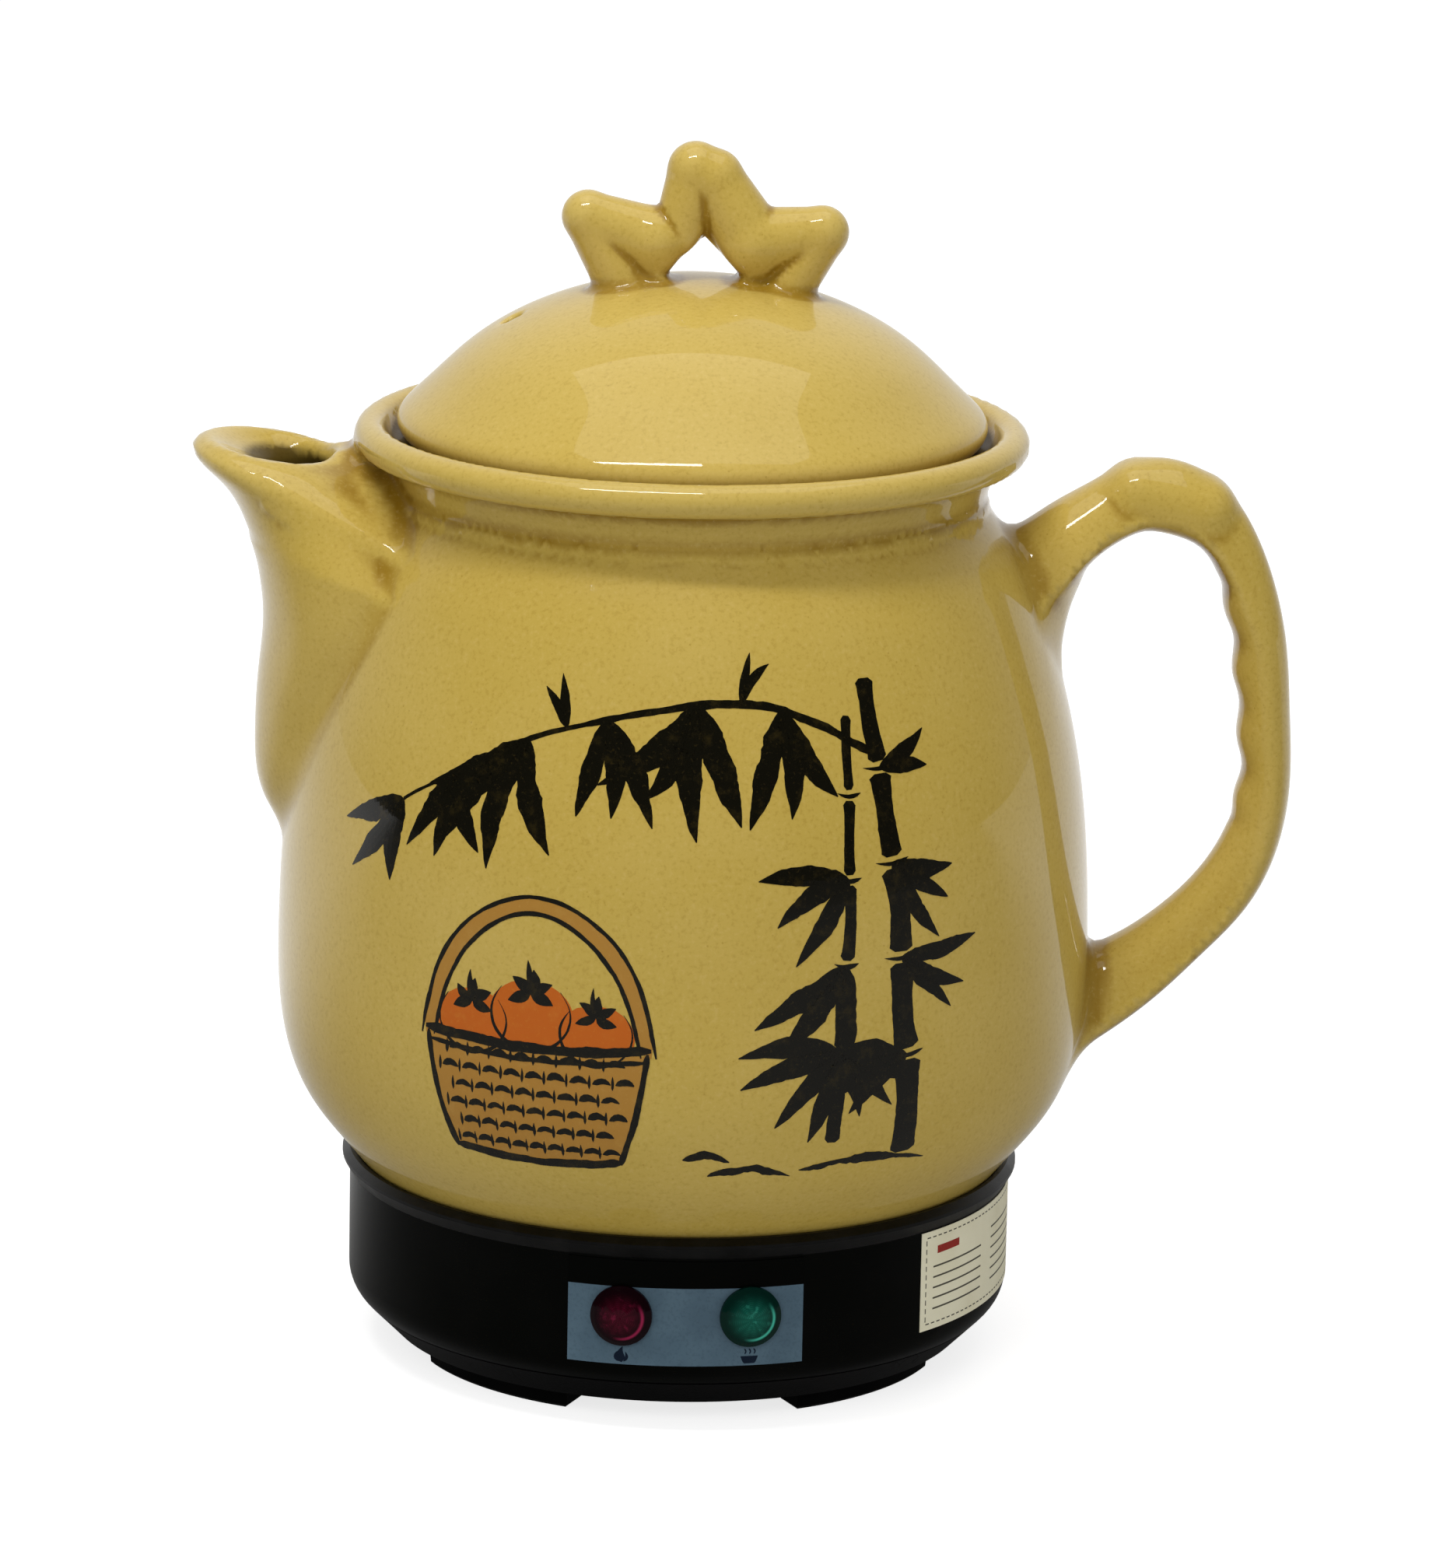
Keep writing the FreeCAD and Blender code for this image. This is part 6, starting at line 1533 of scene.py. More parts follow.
@dataclass
class Brushwork:
    """Ink laid on a round wall, touch by touch."""

    radius: Width
    seed: int = 5
    unroll: float = 95.0
    middle: float = -90.0
    sunk: float = -0.03

    def __post_init__(self) -> None:
        """Start with a clean wall."""
        self.random = np.random.default_rng(self.seed)
        self.laid: dict[Brush, list[tuple[Field, Field]]] = {}
        self.count = 0

    def on_wall(self, flat: Field, lift: float) -> Field:
        """Places on the wall for places on its unrolled face.

        Args:
            flat: places on the unrolled face.
            lift: height over the wall.

        Returns:
            The places.
        """
        turn = flat[..., 0] / self.unroll + math.radians(self.middle)
        radius = self.radius(flat[..., 1]) + lift
        return np.stack([radius * np.cos(turn), radius * np.sin(turn), flat[..., 1]], axis=-1)

    def touch(
        self, ink: Brush, path: Sequence, half: Width, lift: float, columns: int = 4, rough: float = 0.10
    ) -> None:
        """Lay one touch of the brush.

        Args:
            ink: the ink it is dipped in.
            path: points of its path on the unrolled wall, in millimetres.
            half: half width for shares of the path from 0 to 1.
            lift: height of the ink over the wall.
            columns: faces across the touch.
            rough: how ragged its edges are, as a share of its width.
        """
        line = Curve(path) if len(path) > 2 else Curve([path[0], np.mean(path, axis=0), path[1]])
        rows = int(np.clip(line.knots[-1] / 0.9, 7, 90))
        middle = line.sampled(rows)
        way = np.gradient(middle, axis=0)
        way /= np.linalg.norm(way, axis=1)[:, None]
        left = np.stack([-way[:, 1], way[:, 0]], axis=1)
        width = half(np.linspace(0.0, 1.0, rows))
        edges = []
        for _ in range(2):
            ragged = np.convolve(self.random.normal(0, 1, rows + 4), np.ones(5) / 5, mode="valid")
            edges.append(np.maximum(width * (1 + 2.2 * rough * ragged), 0.04))
        across = np.linspace(-1.0, 1.0, columns + 1)
        reach = np.where(across[None, :] > 0, edges[0][:, None], edges[1][:, None]) * across[None, :]
        flat = middle[:, None, :] + reach[..., None] * left[:, None, :]
        self.count += 1
        top = self.on_wall(flat, lift + 0.0004 * self.count)
        low = self.on_wall(flat, self.sunk)
        wide = columns + 1
        number = np.arange(rows * wide).reshape(rows, wide)
        corners = (number[:-1, :-1], number[1:, :-1], number[1:, 1:], number[:-1, 1:])
        sheet = np.stack(corners, axis=-1).reshape(-1, 4)
        ring = np.concatenate([number[:, 0], number[-1, 1:], number[-2::-1, -1], number[0, -2:0:-1]])
        after = np.roll(ring, -1)
        size = rows * wide
        walls = np.stack([ring, ring + size, after + size, after], axis=1)
        points = np.concatenate([top.reshape(-1, 3), low.reshape(-1, 3)])
        faces = np.concatenate([sheet, sheet[:, ::-1] + size, walls])
        self.laid.setdefault(ink, []).append((points, faces))

    def leaf(
        self, ink: Brush, root: Sequence[float], angle: float, length: float, half: float, lift: float
    ) -> None:
        """A pointed leaf, pressed on and drawn away.

        Args:
            ink: its ink.
            root: where it starts.
            angle: its direction in degrees.
            length: its length.
            half: its half width.
            lift: height of the ink.
        """
        turn = math.radians(angle)
        bend = self.random.uniform(-0.10, 0.10) * length
        way, side = np.array([math.cos(turn), math.sin(turn)]), np.array([-math.sin(turn), math.cos(turn)])
        start = np.array(root, float)
        path = [start, start + way * length * 0.5 + side * bend, start + way * length]
        self.touch(ink, path, Swelling(half), lift)

    def make(self, name: str, slots: dict[Brush, str], body: str) -> list[bpy.types.Object]:
        """Turn the touches into one mesh for each ink.

        Args:
            name: start of the objects' names.
            slots: not used.
            body: the body that carries them.

        Returns:
            The objects.
        """
        pieces = []
        for ink, touches in self.laid.items():
            starts = np.cumsum([0] + [len(points) for points, _ in touches])
            points = np.concatenate([part for part, _ in touches])
            faces = np.concatenate([part + start for (_, part), start in zip(touches, starts)])
            mesh = bpy.data.meshes.new(f"{name}_{ink.name.lower()}")
            mesh.from_pydata((points * MM).tolist(), [], faces.tolist())
            mesh.materials.append(ink_material(ink))
            piece = bpy.data.objects.new(mesh.name, mesh)
            bpy.context.collection.objects.link(piece)
            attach(piece, body)
            pieces.append(piece)
        return pieces


@cache
def ink_material(ink: Brush) -> bpy.types.Material:
    """The material of an ink, mixed once."""
    return ink.value.make()


@dataclass
class Decoration:
    """Bamboo over the jug's front, and persimmons in a basket at its foot."""

    jug: Jug
    fruit: Rows = ((-52.0, 102.5, 8.6), (-22.0, 102.0, 8.2), (-37.5, 105.5, 9.4))
    basket_middle: float = -37.0
    black: float = 0.06

    def stalk(self, brush: Brushwork, foot: Pair, tip: Pair, half: float, joints: int) -> list[Field]:
        """A bamboo stalk, one touch for each length between its joints.

        Args:
            brush: the brush.
            foot: its lower end.
            tip: its upper end.
            half: its half width at the foot.
            joints: number of lengths.

        Returns:
            The joints.
        """
        start, way = np.array(foot, float), np.array(tip, float) - np.array(foot, float)
        side = np.array([-way[1], way[0]]) / np.linalg.norm(way)
        knots = []
        for index in range(joints):
            low, high = (index / joints) ** 0.92, ((index + 1) / joints) ** 0.92
            gap = 0.012
            bow = side * 1.6 * math.sin(2.2 * index)
            width = half * (1 - 0.35 * low)
            middle = start + way * (low + high) / 2 + bow * 0.4
            ends = [start + way * (low + gap), middle, start + way * (high - gap)]
            brush.touch(Brush.BLACK, ends, Steady(width, 0.25), self.black, 5, 0.05)
            knots.append(start + way * high)
        for knot in knots[:-1]:
            reach = side * (half + 1.3)
            ends = [knot - reach + (0, 0.5), knot + (0, -0.3), knot + reach + (0, 0.5)]
            brush.touch(Brush.BLACK, ends, Swelling(0.55), self.black)
        return knots

    def spray(
        self, brush: Brushwork, root: Sequence[float], toward: float, count: int, length: float
    ) -> None:
        """A fan of leaves from one point.

        Args:
            brush: the brush.
            root: the point.
            toward: its middle direction in degrees.
            count: number of leaves.
            length: their length.
        """
        for index in range(count):
            spread = (index - (count - 1) / 2) * 27 + brush.random.uniform(-6, 6)
            size = length * brush.random.uniform(0.75, 1.1)
            brush.leaf(Brush.BLACK, tuple(root), toward + spread, size, 0.105 * length, self.black)

    def bamboo(self, brush: Brushwork) -> None:
        """The stalks, the twig along the top, and their leaves.

        Args:
            brush: the brush.
        """
        tall = self.stalk(brush, (53.0, 69.0), (44.0, 184.0), 3.1, 5)
        slim = self.stalk(brush, (33.0, 74.0), (38.0, 176.0), 1.7, 5)
        twig = Curve([(44.0, 166.0), (20.0, 177.0), (-14.0, 176.0), (-46.0, 167.0), (-76.0, 150.0)])
        brush.touch(Brush.BLACK, twig.sampled(14), Spreading(0.95, -0.5), self.black, 2, 0.2)
        for share, toward, count, length in (
            (0.20, -80, 3, 27), (0.36, -108, 4, 30), (0.54, -84, 3, 26), (0.70, -112, 4, 29),
            (0.86, -96, 3, 25), (1.0, -128, 3, 24), (0.28, 62, 2, 12), (0.62, 120, 2, 12),
        ):
            self.spray(brush, twig.at(np.array([share * twig.knots[-1]]))[0], toward, count, length)
        for knot, toward, count, length in (
            (tall[0], 200, 3, 22), (tall[1], -20, 3, 20), (tall[2], -35, 3, 21), (tall[3], 15, 2, 18),
            (slim[0], 215, 4, 23), (slim[1], 236, 3, 25), (slim[2], 205, 3, 22), (slim[0], -50, 3, 18),
        ):
            self.spray(brush, knot, toward, count, length)
        for place, length in (((26.0, 68.5), 34.0), ((4.0, 67.6), 20.0), ((-2.0, 72.0), 11.0)):
            ends = [place, (place[0] + length / 2, place[1] + 1.6), (place[0] + length, place[1] - 0.6)]
            brush.touch(Brush.BLACK, ends, Swelling(1.0, 0.6), self.black, 3, 0.3)

    def basket(self, brush: Brushwork) -> None:
        """The basket with its handle, weave and fruit.

        Args:
            brush: the brush.
        """
        middle = self.basket_middle
        handle = [(-64.0, 97.0), (-56.0, 120.0), (middle, 131.0), (-18.0, 120.0), (-10.0, 97.0)]
        brush.touch(Brush.TAN, handle, Steady(1.9), 0.012, 4, 0.04)
        for shift in (-1.9, 1.9):
            rim = [(middle + (u - middle) * (1 + shift / 30), v + shift * (v > 100)) for u, v in handle]
            brush.touch(Brush.BLACK, rim, Steady(0.5), self.black, 2, 0.15)
        for across, up, radius in self.fruit:
            ends = [(across, up - radius), (across, up + radius * 0.86)]
            brush.touch(Brush.ORANGE, ends, Disc(radius), 0.02, 14, 0.012)
            calyx = (across, up + radius * 0.50)
            for angle in (28, 84, 140, 200, 338):
                brush.leaf(Brush.BLACK, calyx, angle, radius * 0.62, radius * 0.15, self.black)
            brush.leaf(Brush.BLACK, calyx, 96, radius * 0.85, radius * 0.09, self.black)
            edge = [(across + 1.02 * radius * math.sin(turn), up - 0.93 * radius * math.cos(turn))
                    for turn in np.linspace(-2.3, 2.3, 9)]
            brush.touch(Brush.BLACK, edge, Swelling(0.42), self.black, 2, 0.2)
        belly = Spreading(20.5, 6.0, 0.8)
        brush.touch(Brush.TAN, [(middle, 70.0), (middle, 97.5)], belly, 0.034, 30, 0.004)
        for row in range(6):
            height = 73.0 + 4.4 * row
            half = belly((height - 70.0) / 27.5) - 2.4
            for index in range(9):
                across = middle - half + (index + (0.5 if row % 2 else 0.0)) * half * 2 / 8.6
                if across + 4.0 < middle + half + 2.0:
                    over = [(across, height - 0.4), (across + 2.1, height + 0.5),
                            (across + 4.2, height - 0.4)]
                    brush.touch(Brush.BLACK, over, Swelling(0.8, 0.5), self.black, 2, 0.15)
                    post = [(across - 0.7, height - 1.7), (across - 0.7, height + 1.7)]
                    brush.touch(Brush.BLACK, post, Swelling(0.36), self.black, 2, 0.15)
        for height, half, thick in ((98.2, 27.6, 1.15), (95.4, 26.6, 0.55), (70.0, 21.0, 1.0)):
            ends = [(middle - half, height + 0.6), (middle, height - 0.8), (middle + half, height + 0.6)]
            brush.touch(Brush.BLACK, ends, Steady(thick), self.black, 3, 0.12)
        for side in (-1, 1):
            ends = [(middle + side * 20.6, 70.0), (middle + side * 24.6, 84.0), (middle + side * 26.8, 98.0)]
            brush.touch(Brush.BLACK, ends, Steady(0.7), self.black, 3, 0.12)

    def build(self) -> list[bpy.types.Object]:
        """Paint it.

        Returns:
            The ink's pieces.
        """
        brush = Brushwork(self.jug.radius_at)
        self.bamboo(brush)
        self.basket(brush)
        slots = {Brush.BLACK: "glaze", Brush.ORANGE: "glaze", Brush.TAN: "glaze"}
        return brush.make("decoration", slots, POT_BODY)


@dataclass
class LampMarks:
    """Small signs under the lamps: a flame for the boil, a steaming cup for keeping warm."""

    radius: float = 80.3
    height: float = 19.4
    angle: float = 10.8

    lift: float = 0.012

    def label_radius(self, up: Field) -> Field:
        """Radius of the label at heights."""
        return self.radius + 0.0 * up

    def build(self) -> list[bpy.types.Object]:
        """Print the signs.

        Returns:
            The print's pieces.
        """
        brush = Brushwork(self.label_radius, 3, self.radius, -90.0, 0.0)
        reach = self.radius * math.radians(self.angle)
        ends = [(-reach + 0.2, self.height - 1.5), (-reach - 0.25, self.height + 0.4),
                (-reach + 0.35, self.height + 2.4)]
        brush.touch(Brush.NAVY, ends, Flame(), self.lift, 4, 0.0)
        for side in (-1, 1):
            ends = [(-reach + side * 0.6, self.height - 1.3), (-reach + side * 1.35, self.height - 0.2),
                    (-reach + side * 1.0, self.height + 1.1)]
            brush.touch(Brush.NAVY, ends, Swelling(0.4), self.lift, 3, 0.0)
        cup = [(reach, self.height - 1.5), (reach, self.height + 0.3)]
        brush.touch(Brush.NAVY, cup, Spreading(1.2, 0.9, 0.6), self.lift, 4, 0.0)
        for side in (-1, 0, 1):
            ends = [(reach + side * 1.1, self.height + 0.8), (reach + side * 1.1 + 0.3, self.height + 1.4),
                    (reach + side * 1.1 - 0.1, self.height + 2.1)]
            brush.touch(Brush.NAVY, ends, Steady(0.17), self.lift, 2, 0.0)
        return brush.make("lamp_marks", {Brush.NAVY: "label_print"}, POT_BODY)


@dataclass
class DashRows:
    """Rows of short printed dashes round the base, set out by geometry nodes."""

    name: str
    ink: Brush
    columns: int
    rows: int
    column_step: float
    row_step: float
    dash: tuple[float, float]
    middle: float
    height: float
    radius: float = 80.2
    deep: float = 0.02

    @staticmethod
    def tree() -> bpy.types.NodeTree:
        """The node group, built once.

        Returns:
            A group that sets dashes out on a grid, bends the grid round the base and prints them.
        """
        made = bpy.data.node_groups.get("dash_rows")
        if made:
            return made
        made = bpy.data.node_groups.new("dash_rows", "GeometryNodeTree")
        made.interface.new_socket("Geometry", in_out="OUTPUT", socket_type="NodeSocketGeometry")
        kinds = {"Columns": "Int", "Rows": "Int", "Ink": "Material"}
        names = ("Columns", "Rows", "Column Step", "Row Step", "Dash Length", "Dash Height", "Dash Depth",
                 "Radius", "Middle", "Height", "Ink")
        for name in names:
            kind = f"NodeSocket{kinds.get(name, 'Float')}"
            made.interface.new_socket(name, in_out="INPUT", socket_type=kind)
        graph = Graph(made, "GeometryNode")
        group = graph.node(":NodeGroupInput").outputs
        given = {name: Amount(graph, group[name]) for name in names}
        grid = graph.node("MeshGrid", values={
            "Size X": (given["Columns"] - 1.0) * given["Column Step"],
            "Size Y": (given["Rows"] - 1.0) * given["Row Step"],
            "Vertices X": given["Columns"], "Vertices Y": given["Rows"],
        })
        spot = graph.node("InputPosition").outputs[0]
        flat = graph.node(":ShaderNodeSeparateXYZ", values={0: spot}).outputs
        turn = Amount(graph, flat[0]) + given["Middle"]
        spot = graph.node(":ShaderNodeCombineXYZ", values={
            0: given["Radius"] * turn.cosine(), 1: given["Radius"] * turn.wave(),
            2: Amount(graph, flat[1]) + given["Height"],
        })
        bent = graph.node("SetPosition", values={
            "Geometry": grid.outputs["Mesh"], "Position": spot.outputs[0],
        })
        size = graph.node(":ShaderNodeCombineXYZ", values={
            0: given["Dash Depth"], 1: given["Dash Length"], 2: given["Dash Height"],
        })
        block = graph.node("MeshCube", values={"Size": size.outputs[0]})
        spot = graph.node("InputPosition").outputs[0]
        place = graph.node(":ShaderNodeSeparateXYZ", values={0: spot}).outputs
        facing = graph.math("ARCTAN2", Amount(graph, place[1]), Amount(graph, place[0]))
        lean = graph.node(":ShaderNodeCombineXYZ", values={2: facing})
        set_out = graph.node("InstanceOnPoints", values={
            "Points": bent.outputs[0], "Instance": block.outputs["Mesh"], "Rotation": lean.outputs[0],
        })
        whole = graph.node("RealizeInstances", values={0: set_out.outputs[0]})
        inked = graph.node("SetMaterial", values={"Geometry": whole.outputs[0], "Material": given["Ink"]})
        graph.node(":NodeGroupOutput", values={0: inked.outputs[0]})
        return made

    def build(self) -> bpy.types.Object:
        """Print the rows.

        Returns:
            The piece.
        """
        tree = self.tree()
        carrier = bpy.data.objects.new(f"{self.name}_rows", bpy.data.meshes.new(f"{self.name}_rows"))
        bpy.context.collection.objects.link(carrier)
        rows = carrier.modifiers.new("rows", "NODES")
        rows.node_group = tree
        values = {
            "Columns": self.columns, "Rows": self.rows, "Column Step": self.column_step / self.radius,
            "Row Step": self.row_step * MM, "Dash Length": self.dash[0] * MM,
            "Dash Height": self.dash[1] * MM, "Dash Depth": self.deep * MM,
            "Radius": (self.radius + self.deep / 2 - 0.002) * MM,
            "Middle": math.radians(self.middle), "Height": self.height * MM, "Ink": ink_material(self.ink),
        }
        for item in tree.interface.items_tree:
            if item.in_out == "INPUT":
                rows[item.identifier] = values[item.name]
        made = carrier.evaluated_get(bpy.context.evaluated_depsgraph_get())
        mesh = bpy.data.meshes.new_from_object(made)
        mesh.name = self.name
        bpy.data.objects.remove(carrier)
        piece = bpy.data.objects.new(self.name, mesh)
        bpy.context.collection.objects.link(piece)
        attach(piece, POT_BODY)
        return piece


STICKER_PRINT = (
    DashRows("sticker_long_border", Brush.GREY, 28, 2, 2.06, 21.4, (1.25, 0.30), -23.7, 31.0),
    DashRows("sticker_short_border", Brush.GREY, 2, 10, 57.2, 2.1, (0.30, 1.25), -23.7, 31.0),
    DashRows("sticker_heading", Brush.RED, 9, 1, 1.0, 1.0, (1.02, 1.9), -38.0, 38.2),
    DashRows("sticker_left_rules", Brush.GREY, 22, 5, 1.0, 2.6, (1.02, 0.42), -34.4, 29.0),
    DashRows("sticker_right_rules", Brush.GREY, 24, 6, 1.0, 2.6, (1.02, 0.42), -13.2, 30.4),
)


# ---------------------------------------------------------------- the lid


@dataclass
class Lid(Form):
    """Domed lid with rounded edge, locating skirt and zigzag knob."""

    stations: Rows = (
        (0.0, 261.8), (35.4, 255.4), (54.8, 244.0), (61.6, 237.6), (67.4, 232.0), (70.3, 227.4),
    )
    seat: float = 223.0
    edge_round: float = 3.4
    skirt: Pair = (63.8, 213.9)
    hollow: Spot = (59.0, 229.0, 256.6)
    steam_hole: Pair = (-43.0, 2.2)
    # an outline's corners inside the axis, and the tables' low and high ends and reach
    core: float = -40.0
    table: Spot = (206.0, 304.0, 80.0)
    # place along X, height, thickness of the knob's bar
    knob: dict[str, Spot] = field(default_factory=lambda: {
        "left_foot": (-13.0, 253.6, 7.3), "left_heel": (-8.6, 256.5, 4.2), "left_elbow": (-25.6, 276.3, 6.0),
        "left_dip": (-10.0, 270.6, 8.1), "crown_root": (-3.9, 272.4, 6.4), "crown_left": (-0.3, 287.75, 6.5),
        "crown_right": (4.0, 285.8, 6.8), "right_dip": (13.2, 270.4, 8.6), "right_elbow": (29.9, 273.2, 6.1),
        "right_foot": (17.6, 253.8, 7.0), "right_heel": (13.2, 256.5, 4.3),
    })
    bars: tuple[tuple[str, ...], ...] = (
        ("left_foot", "left_elbow"), ("left_elbow", "left_dip"), ("crown_root", "crown_left"),
        ("crown_left", "crown_right"), ("crown_right", "right_dip"), ("right_dip", "right_elbow"),
        ("right_elbow", "right_foot"), ("left_heel", "left_dip"), ("right_heel", "right_dip"),
    )
    webs: tuple[tuple[str, ...], ...] = (
        ("left_foot", "left_elbow", "left_dip", "left_heel"),
        ("right_foot", "right_elbow", "right_dip", "right_heel"),
        ("left_heel", "left_dip", "crown_root", "crown_left", "crown_right", "right_dip", "right_heel"),
    )
    gap: Rows = ((1.9, 272.0), (10.4, 263.4), (9.6, 256.0), (-5.6, 256.0), (-6.8, 263.4))
    depth: float = 0.95
    web_half: float = 2.6
    bar_fillet: float = 1.1
    web_fillet: float = 1.2
    gap_round: float = 2.6
    knob_fillet: float = 3.2
    cut_round: float = 1.4
    low: Spot = (-72.0, -72.0, 212.0)
    high: Spot = (72.0, 72.0, 297.0)
    step: float = 1.05

    def __post_init__(self) -> None:
        """Work out the tables."""
        dome = Curve(self.stations, (1.0, 0.0), (0.0, -1.0)).sampled(120)
        edge = dome[-1]
        under = Curve([edge, (edge[0] - self.edge_round, self.seat)], (0.0, -1.0), (-1.0, 0.0)).sampled(12)
        skirt = np.array([
            (self.skirt[0], self.seat), self.skirt, (self.core, self.skirt[1]),
            (self.core, self.stations[0][1]),
        ])
        self.outside = TurnedField([np.concatenate([dome, under, skirt])], 1.0, *self.table)
        inner, base, top = self.hollow
        turns = np.radians(np.linspace(0, 90, 40))
        room = np.stack([inner * np.cos(turns), base + (top - base) * np.sin(turns)], axis=1)
        floor = np.array([(self.core, top), (self.core, 200.0), (inner, 200.0)])
        self.inside = TurnedField([np.concatenate([room, floor])], 1.0, *self.table)

    def bar_distance(self, start: str, end: str, x: Field, y: Field, z: Field) -> Field:
        """Distance to one tapered bar of the knob.

        Args:
            start: name of its first end.
            end: name of its second end.
            x: places along X.
            y: places along Y.
            z: heights.

        Returns:
            The distances.
        """
        first, last = self.knob[start], self.knob[end]
        return Rod(first[:2], last[:2], (first[2], last[2]), self.depth).distance(x, y, z)

    def web_distance(self, names: Sequence[str], x: Field, y: Field, z: Field) -> Field:
        """Distance to the web between some bars."""
        sheet = outline_distance(np.array([self.knob[name][:2] for name in names]), x, z)
        return np.maximum(sheet, np.abs(y) - self.web_half)

    def distance(self, x: Field, y: Field, z: Field) -> Field:
        """Distance to the whole lid.

        Args:
            x: places along X.
            y: places along Y.
            z: heights.

        Returns:
            The distances.
        """
        ring = np.sqrt(x * x + y * y)
        knob = None
        for start, end in self.bars:
            part = self.bar_distance(start, end, x, y, z)
            knob = part if knob is None else joined(knob, part, self.bar_fillet)
        for names in self.webs:
            knob = joined(knob, self.web_distance(names, x, y, z), self.web_fillet)
        opening = np.maximum(outline_distance(np.array(self.gap), x, z), np.abs(y) - 30.0)
        knob = cut_back(knob, opening, self.gap_round)
        solid = joined(self.outside.read(ring, z), knob, self.knob_fillet)
        steam = np.sqrt((x - self.steam_hole[0]) ** 2 + y * y) - self.steam_hole[1]
        tool = np.minimum(self.inside.read(ring, z), steam)
        return cut_back(solid, tool, self.cut_round)

    def make(self) -> bpy.types.Object:
        """Build and dress the lid.

        Returns:
            The lid.
        """
        piece = Skin(self, self.step).build("glazed_lid")
        piece.data.materials.append(LID_GLAZE.make())
        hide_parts("ceramic_lid")
        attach(piece, LID_BODY)
        return piece


# ---------------------------------------------------------------- camera, floor and light


@dataclass(frozen=True)
class SoftBox:
    """A rectangular lamp with its place, what it points at, its width, height and power."""

    name: str
    place: Spot
    target: Spot
    wide: float
    tall: float
    watts: float
    mirrored: bool = True

    def hang(self) -> bpy.types.Object:
        """Hang the lamp.

        Returns:
            The lamp.
        """
        data = bpy.data.lights.new(self.name, "AREA")
        data.shape = "RECTANGLE"
        data.size, data.size_y = self.wide, self.tall
        data.energy = self.watts
        lamp = bpy.data.objects.new(self.name, data)
        bpy.context.collection.objects.link(lamp)
        lamp.location = self.place
        lamp.visible_camera = False
        lamp.visible_glossy = self.mirrored
        way = Vector(self.target) - Vector(self.place)
        lamp.rotation_euler = way.to_track_quat("-Z", "Y").to_euler()
        return lamp


SOFT_BOXES = (
    SoftBox("ceiling_strip", (-0.27, -0.42, 1.28), (-0.27, -0.42, 0.0), 0.62, 0.11, 6.0),
    SoftBox("overhead", (0.0, 0.05, 1.50), (0.0, 0.05, 0.0), 1.3, 0.9, 4.6),
    SoftBox("front_fill", (-0.30, -1.60, 1.20), (0.0, 0.0, 0.12), 1.2, 1.0, 8.0, False),
    SoftBox("side_fill", (1.40, -1.10, 0.30), (0.0, 0.0, 0.02), 0.9, 0.8, 1.0, False),
    SoftBox("back_fill", (0.50, 1.60, 0.90), (0.0, 0.0, 0.12), 1.0, 1.0, 4.0, False),
)


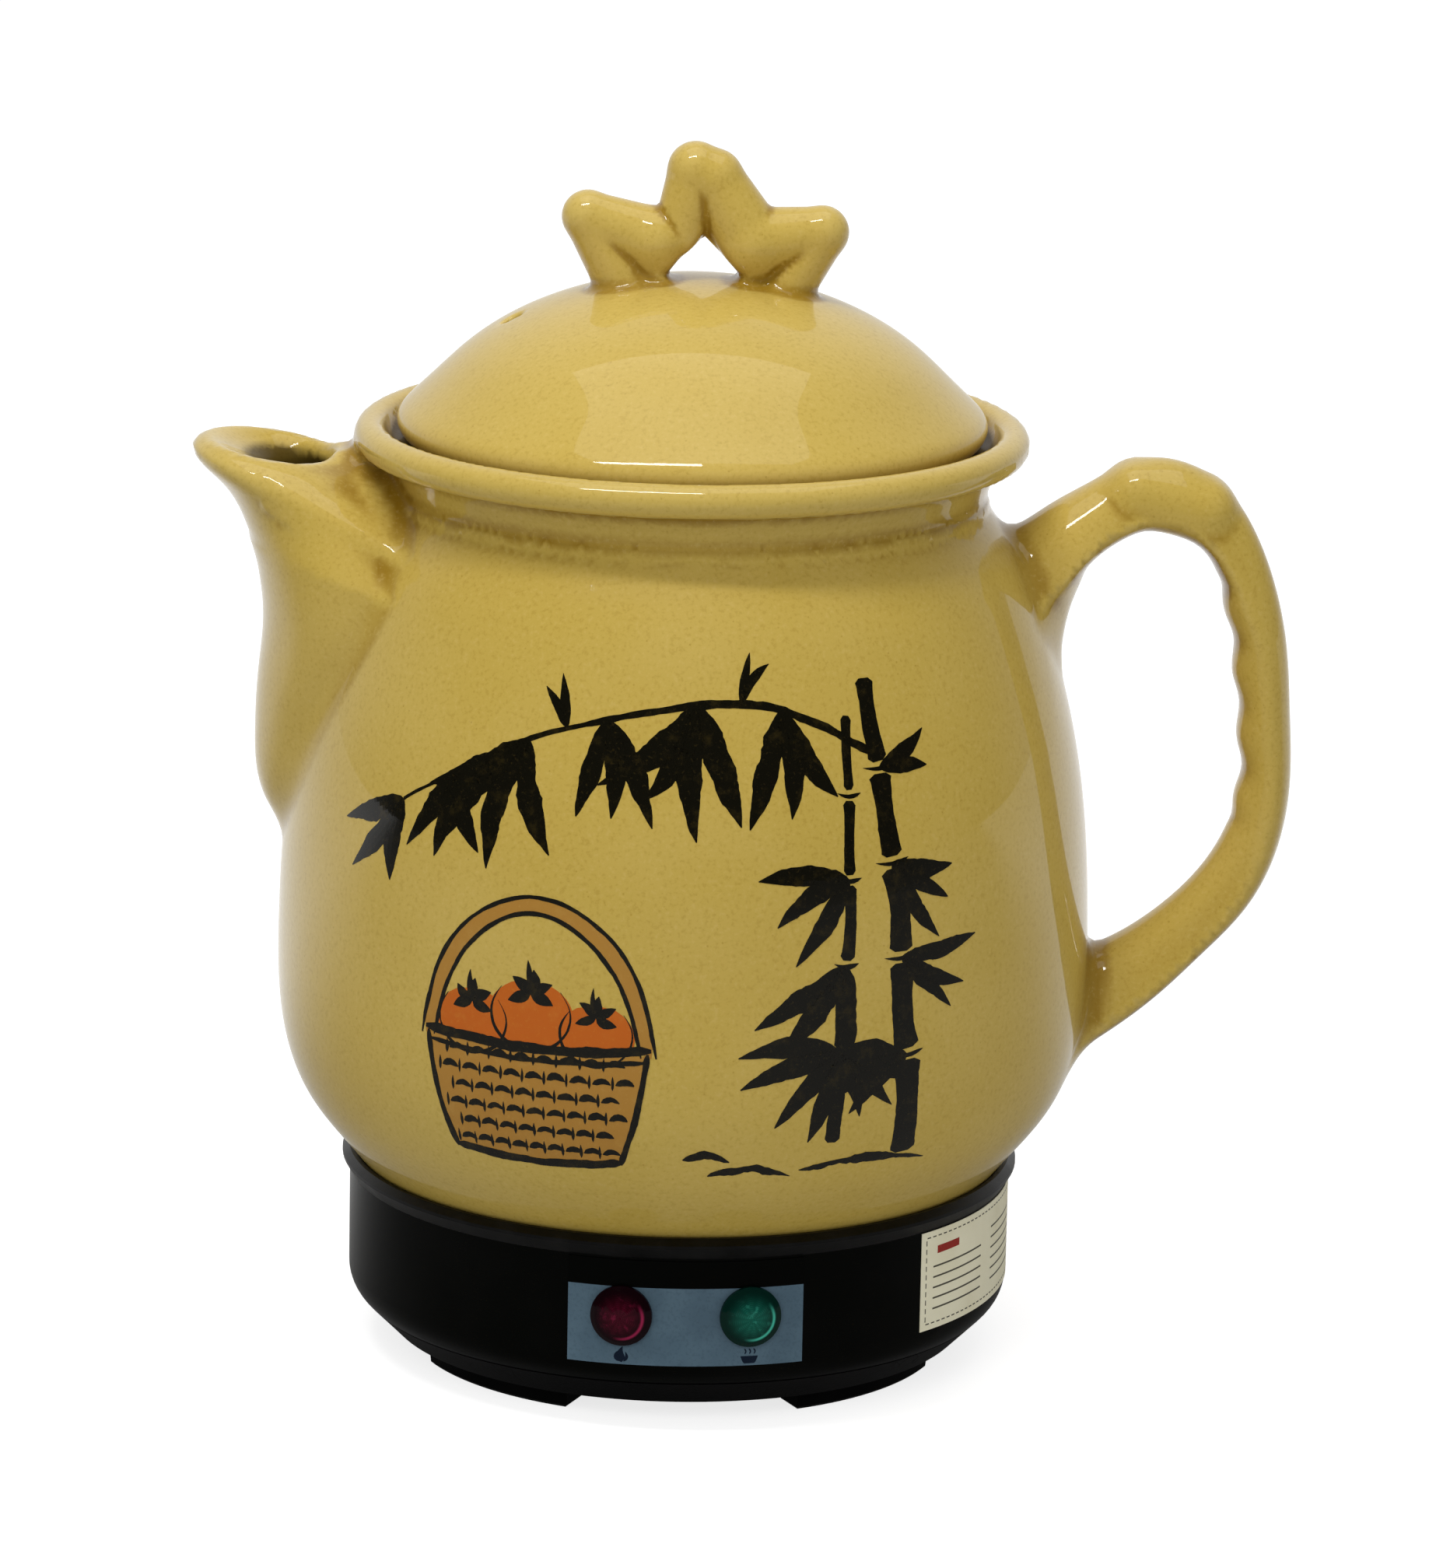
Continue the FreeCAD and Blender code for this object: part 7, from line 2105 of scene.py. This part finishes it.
@dataclass
class Studio:
    """Pale floor, white surroundings and the camera."""

    focus: float = 181.25
    distance: float = 1.9
    down: float = 13.85
    turn: float = -1.9
    roll: float = 1.12
    aim: Spot = (0.0069, 0.0, 0.1384)
    floor_reach: float = 6.0
    floor_tones: tuple[Colour, Colour] = ((0.62, 0.62, 0.62, 1.0), (0.63, 0.63, 0.625, 1.0))
    floor_mirrored: Colour = (0.12, 0.12, 0.12, 1.0)
    white: Colour = (1.0, 1.0, 1.0, 1.0)
    floor_light: float = 0.78
    soft_light: float = 0.34

    def place_camera(self) -> bpy.types.Object:
        """Put up the camera.

        Returns:
            The camera.
        """
        turned = Matrix.Rotation(math.radians(self.turn), 3, "Z")
        down = math.radians(self.down)
        back = turned @ Vector((0.0, -math.cos(down), math.sin(down)))
        lens = bpy.data.cameras.new("camera")
        lens.lens = self.focus
        lens.sensor_width = 36.0
        lens.clip_start, lens.clip_end = 0.1, 20.0
        camera = bpy.data.objects.new("camera", lens)
        bpy.context.collection.objects.link(camera)
        right = (-back).cross(Vector((0, 0, 1))).normalized()
        up = right.cross(-back)
        lean = math.radians(self.roll)
        side = right * math.cos(lean) + up * math.sin(lean)
        rise = up * math.cos(lean) - right * math.sin(lean)
        facing = Matrix((side, rise, back)).transposed()
        place = turned @ Vector(self.aim) + back * self.distance
        camera.matrix_world = Matrix.Translation(place) @ facing.to_4x4()
        bpy.context.scene.camera = camera
        return camera

    @staticmethod
    def seen_in_room(graph: Graph, bright: Amount) -> Amount:
        """How white the surroundings look.

        Args:
            graph: the tree to add to.
            bright: one at the white end of the room, zero at its dim front end.

        Returns:
            One for the camera and through clear materials, the room's own share in a reflection, else zero.
        """
        path = graph.node(":ShaderNodeLightPath").outputs
        camera, glossy, clear = (
            Amount(graph, path[name]) for name in ("Is Camera Ray", "Is Glossy Ray", "Is Transmission Ray")
        )
        return camera.most(clear).most(glossy * (0.05 + 0.75 * bright))

    def lay_floor(self) -> bpy.types.Object:
        """Lay the floor, white but for the object's shadow.

        Returns:
            The floor.
        """
        mesh = bpy.data.meshes.new("floor")
        reach = self.floor_reach
        corners = [(-reach, -reach, 0), (reach, -reach, 0), (reach, reach, 0), (-reach, reach, 0)]
        mesh.from_pydata(corners, [], [(0, 1, 2, 3)])
        floor = bpy.data.objects.new("floor", mesh)
        bpy.context.collection.objects.link(floor)
        mix = Recipe("floor_white")
        grain = mix.noise(0.02, 2.0)
        bright = mix.axes()[1].eased(-0.02, 0.35)
        glossy = Amount(mix, mix.node(":ShaderNodeLightPath").outputs["Is Glossy Ray"])
        paint = mix.mixed(grain, *self.floor_tones)
        paint = mix.mixed(glossy * (1 - bright) * 0.7, paint, self.floor_mirrored)
        matt = mix.node("BsdfDiffuse", values={"Color": paint})
        lit = mix.node("Emission", values={"Color": self.white, "Strength": self.floor_light})
        both = mix.node("AddShader", values={0: matt.outputs[0], 1: lit.outputs[0]})
        share = self.seen_in_room(mix, bright)
        shader = mix.node("MixShader", values={0: share, 1: matt.outputs[0], 2: both.outputs[0]})
        mix.node("OutputMaterial", values={"Surface": shader.outputs[0]})
        mesh.materials.append(mix.material)
        return floor

    def fill_world(self) -> None:
        """White surroundings, which light the object at a plain level."""
        world = bpy.data.worlds.new("surroundings")
        world.use_nodes = True
        world.node_tree.nodes.clear()
        mix = Graph(world.node_tree, "ShaderNode")
        way = mix.node("SeparateXYZ", values={0: mix.node("TexCoord").outputs["Generated"]}).outputs[1]
        seen = self.seen_in_room(mix, Amount(mix, way).eased(0.0, 0.9))
        path = mix.node(":ShaderNodeLightPath").outputs
        soft = Amount(mix, path["Is Diffuse Ray"]) * self.soft_light
        light = mix.node("Background", values={"Color": self.white, "Strength": seen.most(soft)})
        mix.node("OutputWorld", values={"Surface": light.outputs[0]})
        bpy.context.scene.world = world


def main() -> None:
    """Build the scene in order."""
    logging.basicConfig(level=logging.INFO, format="%(message)s")
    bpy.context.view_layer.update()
    bpy.context.scene.view_settings.view_transform = "Standard"
    studio = Studio()
    studio.place_camera()
    studio.lay_floor()
    studio.fill_world()
    for box in SOFT_BOXES:
        box.hang()
    Base().dress()
    jug = Jug()
    pieces = [jug.make(), Lid().make(), *Decoration(jug).build(), *LampMarks().build()]
    pieces += [rows.build() for rows in STICKER_PRINT]
    for piece in pieces:
        log.info("piece %s: %d faces", piece.name, len(piece.data.polygons))


if __name__ == "__main__":
    main()
